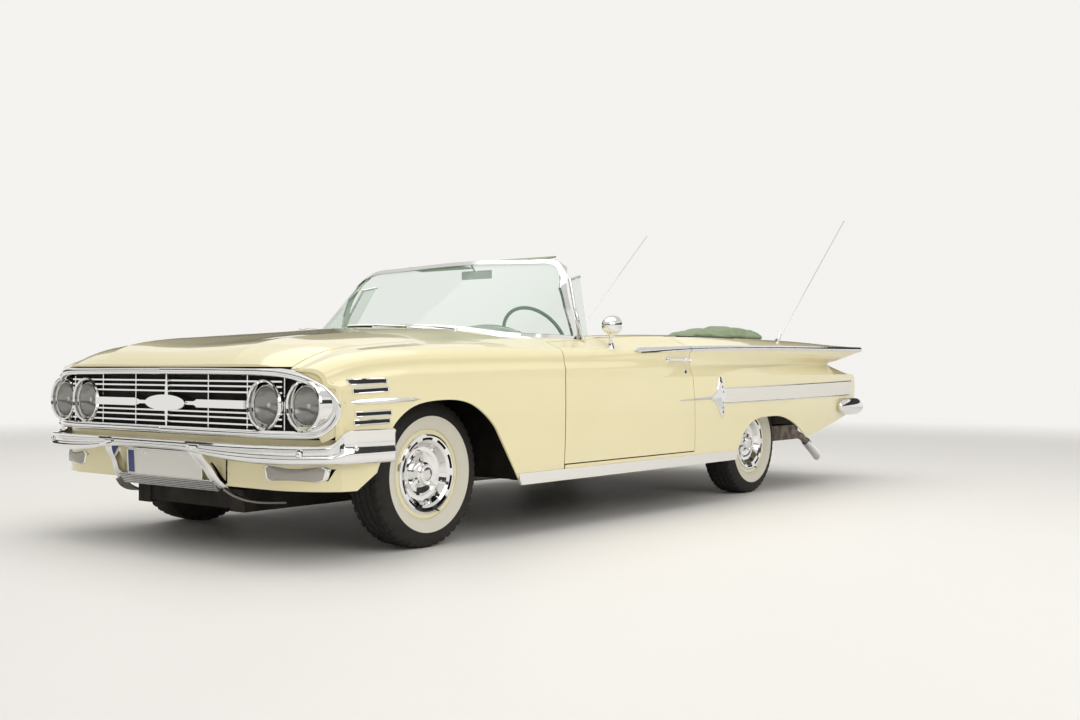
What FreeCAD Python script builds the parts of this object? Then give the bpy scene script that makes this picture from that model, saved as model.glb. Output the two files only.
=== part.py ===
import FreeCAD, Part
import math
import os

V = FreeCAD.Vector

# Main sizes of the car, in millimetres. X points forward, Y to the left, Z up from the ground.
LENGTH = 5354.0
WIDTH = 2052.0
WHEELBASE = 3023.0
FRONT_OVERHANG = 846.0
FRONT_TRACK = 1532.0
REAR_TRACK = 1506.0
TYRE_RADIUS = 322.0
TYRE_WIDTH = 198.0
RIM_RADIUS = 178.0
RIM_WIDTH = 152.0
KINGPIN_INSET = 76.0
SKIN = 10.0
SHEET = 8.0
TRIM = 6.0
FIT = 0.3
DOOR_LENGTH = 1220.0
DOOR_THICKNESS = 195.0
DOOR_GAP = 6.0
HINGE_BEHIND_CUT = 60.0
HINGE_INSET = 45.0
HOOD_HALF_WIDTH = 780.0
HOOD_GAP = 8.0
DECK_LID_HALF_WIDTH = 640.0
DECK_LID_GAP = 8.0
GROUND_CLEARANCE = 245.0
FLOOR_HEIGHT = 296.0
FRAME_BOTTOM = 175.0
FRAME_DEPTH = 95.0
GLASS = 6.0

# Places that the rest hangs on
HALF = WIDTH / 2
FRONT_X = LENGTH / 2
REAR_X = -LENGTH / 2
FRONT_AXLE_X = FRONT_X - FRONT_OVERHANG
REAR_AXLE_X = FRONT_AXLE_X - WHEELBASE
NOSE_X = FRONT_X - 87
FIN_TIP_X = REAR_X + 57
LOBE_END_X = REAR_X + 22
DOOR_FRONT_X = FRONT_AXLE_X - 801
DOOR_REAR_X = DOOR_FRONT_X - DOOR_LENGTH
HOOD_REAR_X = FRONT_AXLE_X - 566
SCREEN_BASE_X = FRONT_AXLE_X - 601
PILLAR_X = FRONT_AXLE_X - 1134
DECK_LID_FRONT_X = REAR_AXLE_X - 313
WELL_FRONT_X = REAR_AXLE_X + 712
WELL_REAR_X = REAR_AXLE_X - 208
DOOR_INNER_Y = HALF - 16 - DOOR_THICKNESS
CABIN_Y = DOOR_INNER_Y - DOOR_GAP
FRONT_HUB_Y = FRONT_TRACK / 2
REAR_HUB_Y = REAR_TRACK / 2
KINGPIN_Y = FRONT_HUB_Y - KINGPIN_INSET
FAR = 4000.0


def fair(points, x):
    """Height or width at x of a smooth line through (x, value) points that never overshoots them."""
    if x <= points[0][0]:
        return points[0][1]
    if x >= points[-1][0]:
        return points[-1][1]
    slopes = [(b[1] - a[1]) / (b[0] - a[0]) for a, b in zip(points, points[1:])]
    bends = [slopes[0]]
    for before, after in zip(slopes, slopes[1:]):
        bends.append(2 * before * after / (before + after) if before * after > 0 else 0.0)
    bends.append(slopes[-1])
    i = max(k for k in range(len(slopes)) if points[k][0] <= x)
    span = points[i + 1][0] - points[i][0]
    t = (x - points[i][0]) / span
    low, high = points[i][1], points[i + 1][1]
    ease = t * t * (3 - 2 * t)
    pull = span * (bends[i] * t * (1 - t) ** 2 - bends[i + 1] * t * t * (1 - t))
    return low + (high - low) * ease + pull


def box(x0, x1, y0, y1, z0, z1):
    return Part.makeBox(x1 - x0, y1 - y0, z1 - z0, V(x0, y0, z0))


def rod(start, end, radius):
    return Part.makeCylinder(radius, (end - start).Length, start, end - start)


def plate_y(outline, y0, y1):
    """Solid with an outline of (x, z) points, between two widths."""
    points = [V(x, y0, z) for x, z in outline]
    return Part.Face(Part.makePolygon(points + points[:1])).extrude(V(0, y1 - y0, 0))


def plate_z(outline, z0, z1):
    """Solid with an outline of (x, y) points, between two heights."""
    points = [V(x, y, z0) for x, y in outline]
    return Part.Face(Part.makePolygon(points + points[:1])).extrude(V(0, 0, z1 - z0))


def plate_x(outline, x0, x1):
    """Solid with an outline of (y, z) points, between two stations."""
    points = [V(x0, y, z) for y, z in outline]
    return Part.Face(Part.makePolygon(points + points[:1])).extrude(V(x1 - x0, 0, 0))


def curve(points):
    spline = Part.BSplineCurve()
    spline.interpolate(Points=points)
    return spline.toShape()


def segment(a, b):
    return Part.makeLine(a, b)


def ring(profile, centre, axis_y=1):
    """Solid of revolution about the Y axis through centre; profile holds (radius, y offset)."""
    points = [V(centre.x + r, centre.y + axis_y * y, centre.z) for r, y in profile]
    face = Part.Face(Part.makePolygon(points + points[:1]))
    return face.revolve(centre, V(0, 1, 0), 360)


def turned_x(profile, centre):
    """Solid of revolution about the X axis through centre; profile holds (radius, x offset)."""
    points = [V(centre.x + x, centre.y, centre.z + r) for r, x in profile]
    face = Part.Face(Part.makePolygon(points + points[:1]))
    return face.revolve(centre, V(1, 0, 0), 360)


def mirrored(shape):
    return shape.mirror(V(0, 0, 0), V(0, 1, 0))


def both(shape):
    return Part.makeCompound([shape, mirrored(shape)])


def fused(shapes):
    whole = shapes[0]
    if len(shapes) > 1:
        whole = whole.fuse(shapes[1:])
    return whole.removeSplitter()


def together(shapes):
    """One compound of the solids of several shapes that don't touch."""
    solids = []
    for shape in shapes:
        solids.extend(shape.Solids)
    return Part.makeCompound(solids)


def export(shape, name):
    shape.exportStep("parts/" + name + ".step")


# Lines of the body, each a few (x, value) points
SIDE_WIDTH = [
    (LOBE_END_X, HALF - 108),
    (FIN_TIP_X + 320, HALF - 66),
    (REAR_AXLE_X - 708, HALF - 36),
    (REAR_AXLE_X, HALF - 14),
    (DOOR_REAR_X - 310, HALF - 10),
    (DOOR_FRONT_X - 600, HALF - 12),
    (DOOR_FRONT_X, HALF - 16),
    (FRONT_AXLE_X, HALF - 26),
    (FRONT_AXLE_X + 369, HALF - 41),
    (NOSE_X - 134, HALF - 64),
    (NOSE_X, HALF - 86),
]
SHOULDER_WIDTH = [
    (LOBE_END_X, HALF - 42),
    (FIN_TIP_X, HALF - 38),
    (FIN_TIP_X + 420, HALF - 16),
    (REAR_AXLE_X - 308, HALF - 4),
    (REAR_AXLE_X + 392, HALF - 7),
    (DOOR_REAR_X + 190, HALF - 16),
    (DOOR_FRONT_X - 600, HALF - 26),
    (DOOR_FRONT_X, HALF - 41),
    (FRONT_AXLE_X, HALF - 54),
    (FRONT_AXLE_X + 369, HALF - 71),
    (NOSE_X - 134, HALF - 101),
    (NOSE_X, HALF - 131),
]
SHOULDER_HEIGHT = [
    (LOBE_END_X, 935),
    (FIN_TIP_X, 934),
    (REAR_AXLE_X, 922),
    (DOOR_REAR_X, 903),
    (DOOR_FRONT_X - 600, 884),
    (DOOR_FRONT_X, 874),
    (FRONT_AXLE_X - 195, 864),
    (FRONT_AXLE_X + 69, 857),
    (FRONT_AXLE_X + 369, 843),
    (NOSE_X - 220, 819),
    (NOSE_X - 90, 780),
    (NOSE_X, 742),
]
CREASE_HEIGHT = [
    (LOBE_END_X, 752),
    (REAR_AXLE_X, 748),
    (DOOR_REAR_X, 742),
    (DOOR_FRONT_X, 736),
    (FRONT_AXLE_X, 722),
    (FRONT_AXLE_X + 369, 704),
    (NOSE_X - 134, 672),
    (NOSE_X, 640),
]
SCALLOP_DEPTH = [
    (LOBE_END_X, 106),
    (FIN_TIP_X + 324, 95),
    (FIN_TIP_X + 620, 85),
    (REAR_AXLE_X, 55),
    (DOOR_REAR_X - 310, 30),
    (DOOR_REAR_X + 190, 15),
    (DOOR_REAR_X + 590, 2),
    (FRONT_AXLE_X, 2),
]
BELT_HEIGHT = [
    (LOBE_END_X, 944),
    (FIN_TIP_X + 220, 956),
    (REAR_AXLE_X - 408, 969),
    (WELL_FRONT_X, 968),
    (DOOR_FRONT_X - 680, 952),
    (DOOR_FRONT_X - 384, 945),
    (DOOR_FRONT_X, 924),
    (FRONT_AXLE_X - 131, 900),
    (FRONT_AXLE_X + 169, 882),
    (FRONT_AXLE_X + 469, 856),
    (NOSE_X - 90, 800),
    (NOSE_X, 758),
]
CREST_HEIGHT = [
    (LOBE_END_X, 944),
    (FIN_TIP_X + 220, 962),
    (FIN_TIP_X + 620, 975),
    (DECK_LID_FRONT_X, 985),
    (WELL_FRONT_X, 984),
    (PILLAR_X, 962),
    (DOOR_FRONT_X + 200, 946),
    (FRONT_AXLE_X - 124, 924),
    (FRONT_AXLE_X + 170, 908),
    (FRONT_AXLE_X + 469, 886),
    (NOSE_X - 90, 838),
    (NOSE_X, 790),
]
RIDGE_HEIGHT = [
    (LOBE_END_X, 920),
    (FIN_TIP_X + 220, 948),
    (FIN_TIP_X + 620, 968),
    (DECK_LID_FRONT_X, 990),
    (WELL_FRONT_X, 996),
    (PILLAR_X, 990),
    (HOOD_REAR_X, 980),
    (FRONT_AXLE_X, 952),
    (FRONT_AXLE_X + 269, 932),
    (FRONT_AXLE_X + 469, 914),
    (NOSE_X - 90, 868),
    (NOSE_X, 800),
]
CENTRE_HEIGHT = [
    (LOBE_END_X, 900),
    (FIN_TIP_X + 220, 925),
    (FIN_TIP_X + 620, 958),
    (DECK_LID_FRONT_X, 992),
    (WELL_FRONT_X, 1000),
    (HOOD_REAR_X - 65, 1002),
    (FRONT_AXLE_X - 296, 985),
    (FRONT_AXLE_X, 962),
    (FRONT_AXLE_X + 199, 938),
    (FRONT_AXLE_X + 499, 896),
    (NOSE_X - 90, 862),
    (NOSE_X, 796),
]
BELT_SHARE = 0.64
CREST_Y = HALF - 326
RIDGE_Y = HALF - 566
SILL_WIDTH_LOSS = 22.0
FIN_EDGE = 26.0
SHOULDER_EDGE = 45.0
FIN_SOLID = 55.0
RIDGE_FRONT_X = FRONT_AXLE_X - 100
STATIONS = [
    LOBE_END_X,
    FIN_TIP_X + 120,
    FIN_TIP_X + 320,
    REAR_AXLE_X - 600,
    REAR_AXLE_X - 250,
    REAR_AXLE_X,
    REAR_AXLE_X + 350,
    DOOR_REAR_X - 310,
    DOOR_REAR_X,
    (DOOR_REAR_X + DOOR_FRONT_X) / 2,
    DOOR_FRONT_X,
    FRONT_AXLE_X - 400,
    FRONT_AXLE_X,
    FRONT_AXLE_X + 350,
    NOSE_X - 230,
    NOSE_X - 110,
    NOSE_X,
]


def fin_share(x):
    """0 on the front of the car, 1 where the fin is full."""
    return fair([(DOOR_REAR_X - 100, 1.0), (DOOR_FRONT_X - 200, 0.0)], x)


def spline_edge(points, parameters, first, last):
    spline = Part.BSplineCurve()
    spline.interpolate(Points=points, Parameters=parameters, InitialTangent=first, FinalTangent=last)
    return spline.toShape()


def body_section(x, at_x, inset):
    """Closed half section of the body from the lines at x, drawn at station at_x."""
    fin = fin_share(x)
    depth = fair(SCALLOP_DEPTH, x)
    side = fair(SIDE_WIDTH, x) - inset
    edge = SHOULDER_EDGE + (FIN_EDGE - SHOULDER_EDGE) * fin
    tuck = -5 + 17 * fin
    shoulder_y = fair(SHOULDER_WIDTH, x) - inset - (FIN_SOLID * fin if inset > 0 else 0)
    shoulder_z = fair(SHOULDER_HEIGHT, x) - inset
    crease_z = fair(CREASE_HEIGHT, x)
    bottom = GROUND_CLEARANCE - (60 if inset > 0 else 0)
    ridge_z = fair(RIDGE_HEIGHT, x) - inset
    centre_z = fair(CENTRE_HEIGHT, x) - inset
    crest_z = fair(CREST_HEIGHT, x) - inset

    foot = V(at_x, side - SILL_WIDTH_LOSS, bottom)
    crease = V(at_x, side - 4, crease_z)
    under = V(at_x, shoulder_y - tuck, shoulder_z - edge)
    corner = V(at_x, shoulder_y + 3, shoulder_z - 2)
    over = V(at_x, shoulder_y - edge, shoulder_z + 0.35 * edge)
    ridge = V(at_x, RIDGE_Y, ridge_z)
    middle = V(at_x, 0, centre_z)

    low = V(at_x, side - 6, 0.62 * GROUND_CLEARANCE + 0.38 * crease_z)
    high = V(at_x, side, 0.3 * GROUND_CLEARANCE + 0.7 * crease_z)
    lobe_turn = V(0, -0.03 - 0.016 * min(depth, 60), 1)
    lower = spline_edge([foot, low, high, crease], [0.0, 1.9, 3.5, 5.0], V(0, 0.12, 1), V(0, -0.08, 1))
    hollow = V(at_x, side - depth, 0.5 * (crease_z + shoulder_z - edge))
    upper = spline_edge([crease, hollow, under], [0.0, 1.0, 2.0], lobe_turn, corner - under)
    rounded = Part.BezierCurve()
    rounded.setPoles([under, corner, over])
    belt = V(at_x, CREST_Y + BELT_SHARE * (over.y - CREST_Y), fair(BELT_HEIGHT, x) - inset)
    crest = V(at_x, CREST_Y, crest_z)
    outer_slope = (ridge_z - crest_z) / (CREST_Y - RIDGE_Y)
    ridge_share = fair([(RIDGE_FRONT_X, 0.0), (NOSE_X - 300, 1.0)], x)
    inner_slope = (centre_z - ridge_z) / RIDGE_Y
    smooth_slope = 0.5 * (outer_slope + inner_slope)
    out_turn = V(0, -1, smooth_slope + ridge_share * (outer_slope - smooth_slope))
    in_turn = V(0, -1, smooth_slope + ridge_share * (inner_slope - smooth_slope))
    flank = spline_edge([over, belt, crest, ridge], [0.0, 0.6, 1.5, 2.7], over - corner, out_turn)
    half_way = V(at_x, RIDGE_Y / 2, ridge_z + 0.7 * (centre_z - ridge_z))
    crown = spline_edge([ridge, half_way, middle], [0.0, 1.0, 2.0], in_turn, V(0, -1, 0))
    keel = V(at_x, 0, bottom)
    edges = [segment(keel, foot), lower, upper, rounded.toShape(), flank, crown, segment(middle, keel)]
    return Part.Wire(edges)


def body_loft(inset, tail_inset, nose_run):
    """Left half of the body as a solid, offset inward by inset."""
    places = list(STATIONS)
    places[0] = STATIONS[0] + tail_inset
    places[-1] = STATIONS[-1] + nose_run
    return Part.makeLoft([body_section(x, at, inset) for x, at in zip(STATIONS, places)], True, False)


def arch(axle_x, offsets):
    return [(axle_x + dx, z) for dx, z in offsets]


FRONT_ARCH = [(-484, 245), (-282, 517), (-204, 582), (-110, 630), (0, 649), (90, 649), (178, 641), (245, 624),
              (310, 588), (352, 548), (378, 500)]
REAR_ARCH = [(514, 272), (458, 329), (384, 425), (254, 481), (100, 492), (-60, 490), (-200, 466),
             (-396, 394), (-499, 337)]


def side_cut(outline_front, outline_rear):
    """Everything outside the lower outline of the body side, from nose to tail."""
    front = arch(FRONT_AXLE_X, outline_front)
    rear = arch(REAR_AXLE_X, outline_rear)
    start = [segment(V(NOSE_X + 200, 0, 500), V(front[-1][0], 0, front[-1][1]))]
    front_curve = curve([V(x, 0, z) for x, z in reversed(front[1:])])
    front_edge = segment(V(front[1][0], 0, front[1][1]), V(front[0][0], 0, front[0][1]))
    sill = segment(V(front[0][0], 0, front[0][1]), V(rear[0][0] - 20, 0, GROUND_CLEARANCE))
    corner = segment(V(rear[0][0] - 20, 0, GROUND_CLEARANCE), V(rear[1][0], 0, rear[1][1]))
    rear_curve = curve([V(x, 0, z) for x, z in rear[1:]])
    tail = segment(V(rear[-1][0], 0, rear[-1][1]), V(FIN_TIP_X + 163, 0, 464))
    end = segment(V(FIN_TIP_X + 163, 0, 464), V(REAR_X - 200, 0, 490))
    down = segment(V(REAR_X - 200, 0, 490), V(REAR_X - 200, 0, -100))
    under = segment(V(REAR_X - 200, 0, -100), V(NOSE_X + 200, 0, -100))
    up = segment(V(NOSE_X + 200, 0, -100), V(NOSE_X + 200, 0, 500))
    wire = Part.Wire(start + [front_curve, front_edge, sill, corner, rear_curve, tail, end, down, under, up])
    face = Part.Face(wire)
    face.translate(V(0, 560, 0))
    return face.extrude(V(0, 700, 0))


def nose_plan(offset, z0, z1):
    """Left half of the plan inside the nose outline, grown by offset."""
    a = V(NOSE_X + offset, 0, z0)
    b = V(NOSE_X + offset, 640, z0)
    c = V(NOSE_X - 38 + 0.95 * offset, 830 + 0.3 * offset, z0)
    d = V(NOSE_X - 134 + 0.8 * offset, 962 + 0.6 * offset, z0)
    e = V(NOSE_X - 420, HALF + 20 + offset, z0)
    f = V(NOSE_X - 420, 0, z0)
    bow = Part.Arc(b, c, d).toShape()
    face = Part.Face(Part.Wire([segment(a, b), bow, segment(d, e), segment(e, f), segment(f, a)]))
    return face.extrude(V(0, 0, z1 - z0))


def nose_trim():
    """What the rounded nose takes off a square-fronted body."""
    block = box(NOSE_X - 420, NOSE_X + 100, -10, HALF + 60, 100, 1100)
    return block.cut(nose_plan(0, 90, 1110))


def cove_side(grow):
    """Side outline of the notch between the fins and the lower lobe, grown all round."""
    tip = V(FIN_TIP_X - 200, 0, 922 + grow)
    edge = V(FIN_TIP_X + 10, 0, 912 + grow)
    inner = [edge, V(FIN_TIP_X + 180, 0, 884 + grow), V(FIN_TIP_X + 324 + grow, 0, 821),
             V(FIN_TIP_X + 200, 0, 768 - grow), V(FIN_TIP_X + 60, 0, 752 - grow)]
    low = V(FIN_TIP_X - 200, 0, 742 - grow)
    wire = Part.Wire([segment(tip, edge), curve(inner), segment(inner[-1], low), segment(low, tip)])
    face = Part.Face(wire)
    face.translate(V(0, -10, 0))
    return face.extrude(V(0, HALF + 60, 0))


def tail_trim():
    """Side outline behind the fin tips and lobes, rounded at the lobes."""
    points = [(FIN_TIP_X, 1000), (FIN_TIP_X, 830), (FIN_TIP_X + 20, 760), (LOBE_END_X + 12, 735),
              (LOBE_END_X, 690), (LOBE_END_X, 640), (LOBE_END_X + 14, 590), (LOBE_END_X + 60, 530),
              (LOBE_END_X + 110, 480), (LOBE_END_X + 110, 200), (REAR_X - 100, 200), (REAR_X - 100, 1000)]
    return plate_y(points, -10, HALF + 60)


OUTER = body_loft(0, 0, 0)
INNER = body_loft(SKIN, SKIN, 2)
PROUD = body_loft(-TRIM, 0, 0)


def body_shell():
    """Left half of the sheet-metal body before it is split into panels."""
    shell = OUTER.cut(INNER)
    cove_wall = OUTER.common(cove_side(SKIN))
    shell = shell.fuse(cove_wall)
    shell = shell.cut(cove_side(0))
    shell = shell.cut(tail_trim())
    shell = shell.cut(side_cut(FRONT_ARCH, REAR_ARCH))
    return shell.cut(nose_trim())


SHELL = body_shell()


def hinge_pin():
    """Foot of the left door's hinge axis."""
    x = DOOR_FRONT_X + HINGE_BEHIND_CUT
    return V(x, HALF - 16 - HINGE_INSET, 0)


DOOR_SWEEP = math.hypot(HINGE_BEHIND_CUT, HINGE_INSET)
DOOR_LEAN = 0.094
DOOR_BEVEL = 0.15
DOOR_BOTTOM_Z = 325.0
DOOR_CUT_BASE_Z = 360.0


def door_block(rear_gap, front_gap, bottom, inner_y):
    """Space of the left door; the gaps take it back from its shut lines."""
    top = 1100.0
    pin = hinge_pin()

    def rear_x(y, z):
        return DOOR_REAR_X - 14 + DOOR_LEAN * (z - DOOR_CUT_BASE_Z) + DOOR_BEVEL * (HALF - y) + rear_gap

    def floor_plan(z):
        corners = [V(pin.x + 200, inner_y, z), V(pin.x + 200, HALF + 60, z),
                   V(rear_x(HALF + 60, z), HALF + 60, z), V(rear_x(inner_y, z), inner_y, z)]
        return Part.makePolygon(corners + corners[:1])

    block = Part.makeLoft([floor_plan(bottom), floor_plan(top)], True, True)
    radius = DOOR_SWEEP - front_gap
    sweep = Part.makeCylinder(radius, FAR, V(pin.x, pin.y, -100))
    inboard = box(pin.x - radius, pin.x + 300, -10, pin.y, -100, FAR)
    beyond = box(pin.x, pin.x + 300, pin.y - 1, HALF + 100, -100, FAR)
    return block.cut(fused([sweep, inboard, beyond]))


PAD_Y = CABIN_Y + 65
PAD_Z = 886.0
PAD_REAR_X = PILLAR_X - 12


def pillar_pad_space(clearance):
    """Room of the cowl's pad under the left pillar foot, grown toward the door."""
    return box(PAD_REAR_X - clearance, hinge_pin().x + 200, 0, PAD_Y + clearance, PAD_Z - clearance, FAR)


DOOR_SPACE = door_block(-DOOR_GAP, 5.0, DOOR_BOTTOM_Z - DOOR_GAP, CABIN_Y).cut(pillar_pad_space(0))
DOOR_SOLID_SPACE = door_block(0, 0, DOOR_BOTTOM_Z, DOOR_INNER_Y).cut(pillar_pad_space(DOOR_GAP))
DOOR_CUT_DOWN = door_block(-DOOR_GAP, 5.0, 0, CABIN_Y).cut(pillar_pad_space(0))

# Left half of the windshield's plan at each level, from the centre to the pillar's outer edge
BASE_X = SCREEN_BASE_X
SCREEN_PLANS = [
    (920.0, [(BASE_X + 143, 0), (BASE_X + 115, 338), (BASE_X + 27, 585), (BASE_X - 57, 696),
             (BASE_X - 148, 753), (BASE_X - 257, 798), (BASE_X - 380, 842), (BASE_X - 523, 872)]),
    (955.0, [(BASE_X + 85, 0), (BASE_X + 59, 335), (BASE_X - 21, 582), (BASE_X - 98, 690),
             (BASE_X - 181, 750), (BASE_X - 280, 795), (BASE_X - 390, 835), (BASE_X - 518, 866)]),
    (1090.0, [(BASE_X - 140, 0), (BASE_X - 157, 322), (BASE_X - 208, 558), (BASE_X - 259, 672),
              (BASE_X - 305, 738), (BASE_X - 368, 783), (BASE_X - 430, 808), (BASE_X - 497, 822)]),
    (1200.0, [(BASE_X - 323, 0), (BASE_X - 332, 312), (BASE_X - 360, 540), (BASE_X - 387, 655),
              (BASE_X - 408, 716), (BASE_X - 433, 752), (BASE_X - 462, 771), (BASE_X - 508, 785)]),
    (1300.0, [(BASE_X - 489, 0), (BASE_X - 492, 300), (BASE_X - 499, 520), (BASE_X - 508, 640),
              (BASE_X - 519, 700), (BASE_X - 535, 728), (BASE_X - 558, 738), (BASE_X - 572, 745)]),
    (1400.0, [(BASE_X - 655, 0), (BASE_X - 651, 290), (BASE_X - 640, 500), (BASE_X - 634, 610),
              (BASE_X - 636, 655), (BASE_X - 642, 680), (BASE_X - 654, 692), (BASE_X - 670, 700)]),
]
SCREEN_RAKE = [1.94, 1.89, 1.7, 1.5, 1.3, 1.15, 1.05, 1.0]
BASE_LINE = [(BASE_X, 0), (BASE_X - 5, 330), (BASE_X - 35, 580), (BASE_X - 88, 690), (BASE_X - 157, 730),
             (BASE_X - 254, 774), (BASE_X - 337, 816), (BASE_X - 425, 850), (BASE_X - 518, 866)]
HEADER_LINE = [(0, 1385), (302, 1375), (560, 1364), (666, 1352), (715, 1325), (742, 1295), (800, 1212),
               (900, 1100)]
VIEW_LINE = [(BASE_X - 473, 850), (BASE_X - 459, 1090), (BASE_X - 468, 1200), (BASE_X - 525, 1285),
             (BASE_X - 670, 1300), (BASE_X - 930, 1330), (BASE_X - 930, 1474), (BASE_X + 1770, 1474),
             (BASE_X + 1770, 840)]
SCREEN_FRAME_OUT = -3.0
SCREEN_FRAME_IN = 12.0
SCREEN_GLASS_OUT = 3.0
SCREEN_FRAME_BASE = 14.0
SCREEN_BAND = 24.0
FULL_OUTER = OUTER.fuse(mirrored(OUTER)).removeSplitter()


def inset_line(points, depths):
    """Plan line moved inward, square to itself, by a depth at each point."""
    moved = [(points[0][0] - depths[0], 0.0)]
    for k in range(1, len(points)):
        before = points[k - 1]
        after = points[min(k + 1, len(points) - 1)]
        run = math.hypot(after[0] - before[0], after[1] - before[1])
        across = ((after[1] - before[1]) / run, -(after[0] - before[0]) / run)
        moved.append((points[k][0] - depths[k] * across[0], points[k][1] - depths[k] * across[1]))
    return moved


def plan_curve(points, z):
    line = [V(x, -y, z) for x, y in reversed(points[1:])] + [V(x, y, z) for x, y in points]
    spline = Part.BSplineCurve()
    spline.interpolate(Points=line, Parameters=[float(i) for i in range(len(line))])
    return spline.toShape(), line[0], line[-1]


def screen_solid(out, back):
    """Wrapped windshield between two depths below its outer surface."""
    wires = []
    for z, points in SCREEN_PLANS:
        front, front_right, front_left = plan_curve(inset_line(points, [out * r for r in SCREEN_RAKE]), z)
        rear, rear_right, rear_left = plan_curve(inset_line(points, [back * r for r in SCREEN_RAKE]), z)
        wires.append(Part.Wire([front, segment(front_left, rear_left), rear, segment(rear_right,
                                                                                     front_right)]))
    return Part.makeLoft(wires, True, False)


def below_header(drop):
    """Everything under the arched line of the windshield's top rail, lowered by drop."""
    arcs = [V(-200, -y, z - drop) for y, z in reversed(HEADER_LINE[1:])]
    arcs += [V(-200, y, z - drop) for y, z in HEADER_LINE]
    low_right = V(-200, -HEADER_LINE[-1][0], 500)
    low_left = V(-200, HEADER_LINE[-1][0], 500)
    wire = Part.Wire([curve(arcs), segment(arcs[-1], low_left), segment(low_left, low_right),
                      segment(low_right, arcs[0])])
    return Part.Face(wire).extrude(V(2000, 0, 0))


def body_raised(height):
    raised = FULL_OUTER.copy()
    raised.translate(V(0, 0, height))
    return raised


def windshield():
    """The chrome surround and the glass that sits in it."""
    band = screen_solid(SCREEN_FRAME_OUT, SCREEN_FRAME_IN).common(below_header(0)).cut(FULL_OUTER)
    ahead = plate_y(VIEW_LINE, -1000, 1000)
    view = below_header(SCREEN_BAND).common(ahead).cut(body_raised(SCREEN_FRAME_BASE))
    frame = band.cut(view)
    ahead.translate(V(-0.6 * SCREEN_BAND, 0, 0))
    pane = screen_solid(SCREEN_GLASS_OUT, SCREEN_GLASS_OUT + GLASS).common(below_header(0.6 * SCREEN_BAND))
    pane = pane.common(ahead).cut(body_raised(0.5 * SCREEN_FRAME_BASE))
    return frame.cut(pane), pane


COWL_LAP = 42.0


def screen_footprint(inset):
    """Plan area of the cabin behind the windshield's base line, as an upright solid."""
    line = inset_line(BASE_LINE, [inset] * len(BASE_LINE))
    front, right, left = plan_curve(line, 700)
    rear_x = PILLAR_X - 760
    side_y = CABIN_Y - 19 + COWL_LAP - inset
    back = [left, V(PILLAR_X - 60, side_y, 700), V(rear_x, side_y, 700), V(rear_x, -side_y, 700),
            V(PILLAR_X - 60, -side_y, 700), right]
    edges = [front] + [segment(a, b) for a, b in zip(back, back[1:])]
    return Part.Face(Part.Wire(edges)).extrude(V(0, 0, 400))


COWL_SIDE_Y = HOOD_HALF_WIDTH + 20


def cowl():
    """Panel between the hood and the windshield, with the side pads under the pillars."""
    pin = hinge_pin()
    middle = SHELL.common(box(DOOR_FRONT_X - 100, HOOD_REAR_X - HOOD_GAP, -10, COWL_SIDE_Y, 860, 1100))
    side = SHELL.common(box(PAD_REAR_X, pin.x, CABIN_Y - 110, PAD_Y, 860, 1100))
    pad = OUTER.common(box(PAD_REAR_X, pin.x, CABIN_Y - 40, PAD_Y, PAD_Z, 1100))
    half = fused([middle, side, pad]).cut(DOOR_SPACE)
    whole = half.fuse(mirrored(half)).removeSplitter()
    whole = whole.cut(screen_footprint(COWL_LAP))
    vent = box(BASE_X + 4, BASE_X + 17, 340, 750, 900, 1100)
    return whole.cut(vent).cut(mirrored(vent))


HOOD_LIP_Z = 788.0


def hood():
    """Bonnet skin with a lip folded down at the front."""
    side_y = HOOD_HALF_WIDTH - 3
    half = SHELL.common(box(HOOD_REAR_X, NOSE_X + 50, -10, side_y, HOOD_LIP_Z, 1100))
    lip = nose_plan(0, HOOD_LIP_Z, HOOD_LIP_Z + 24).cut(nose_plan(-SHEET, HOOD_LIP_Z - 10, HOOD_LIP_Z + 34))
    lip = lip.common(box(NOSE_X - 200, NOSE_X + 10, -10, side_y, 700, 900)).common(OUTER)
    half = half.fuse(lip).removeSplitter()
    return half.fuse(mirrored(half)).removeSplitter()


def fender():
    """Left front fender, from the door to the nose."""
    panel = SHELL.common(box(DOOR_FRONT_X - 60, NOSE_X + 50, 300, HALF + 50, 200, 1100))
    panel = panel.cut(box(HOOD_REAR_X - HOOD_GAP, NOSE_X + 60, 0, HOOD_HALF_WIDTH + 2, 700, 1100))
    panel = panel.cut(box(0, HOOD_REAR_X, 0, COWL_SIDE_Y + FIT, 700, 1100))
    panel = panel.cut(DOOR_CUT_DOWN)
    panel = panel.cut(box(0, hinge_pin().x + FIT, 0, PAD_Y + FIT, 700, 1100))
    panel = panel.cut(grille_outline(-2, GRILLE_TOP + 2, GRILLE_LOW - 20))
    lamp_bore = rod(OUTER_LAMP + V(-100, 0, 0), OUTER_LAMP + V(80, 0, 0), BEZEL_RADIUS + FIT)
    return panel.cut(grille_room()).cut(lamp_bore)


def quarter():
    """Left rear quarter with its fin and lower lobe, and the rocker skin under the door."""
    panel = SHELL.common(box(REAR_X - 50, DOOR_REAR_X + 250, 300, HALF + 50, 200, 1100))
    panel = panel.cut(DOOR_CUT_DOWN)
    panel = panel.cut(box(WELL_REAR_X - 42, DOOR_REAR_X + 400, 0, CABIN_Y, 700, 1100))
    panel = panel.cut(box(DECK_LID_FRONT_X - 60, WELL_REAR_X + 20, 0, DECK_LID_HALF_WIDTH, 700, 1100))
    panel = panel.cut(box(REAR_X - 50, DECK_LID_FRONT_X + DECK_LID_GAP, 0, DECK_LID_HALF_WIDTH, 100, 1100))
    rocker = SHELL.common(box(DOOR_REAR_X - 100, DOOR_FRONT_X - 16, 700, HALF + 50, 200,
                              DOOR_BOTTOM_Z - DOOR_GAP))
    return panel.fuse(rocker).removeSplitter()


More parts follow.
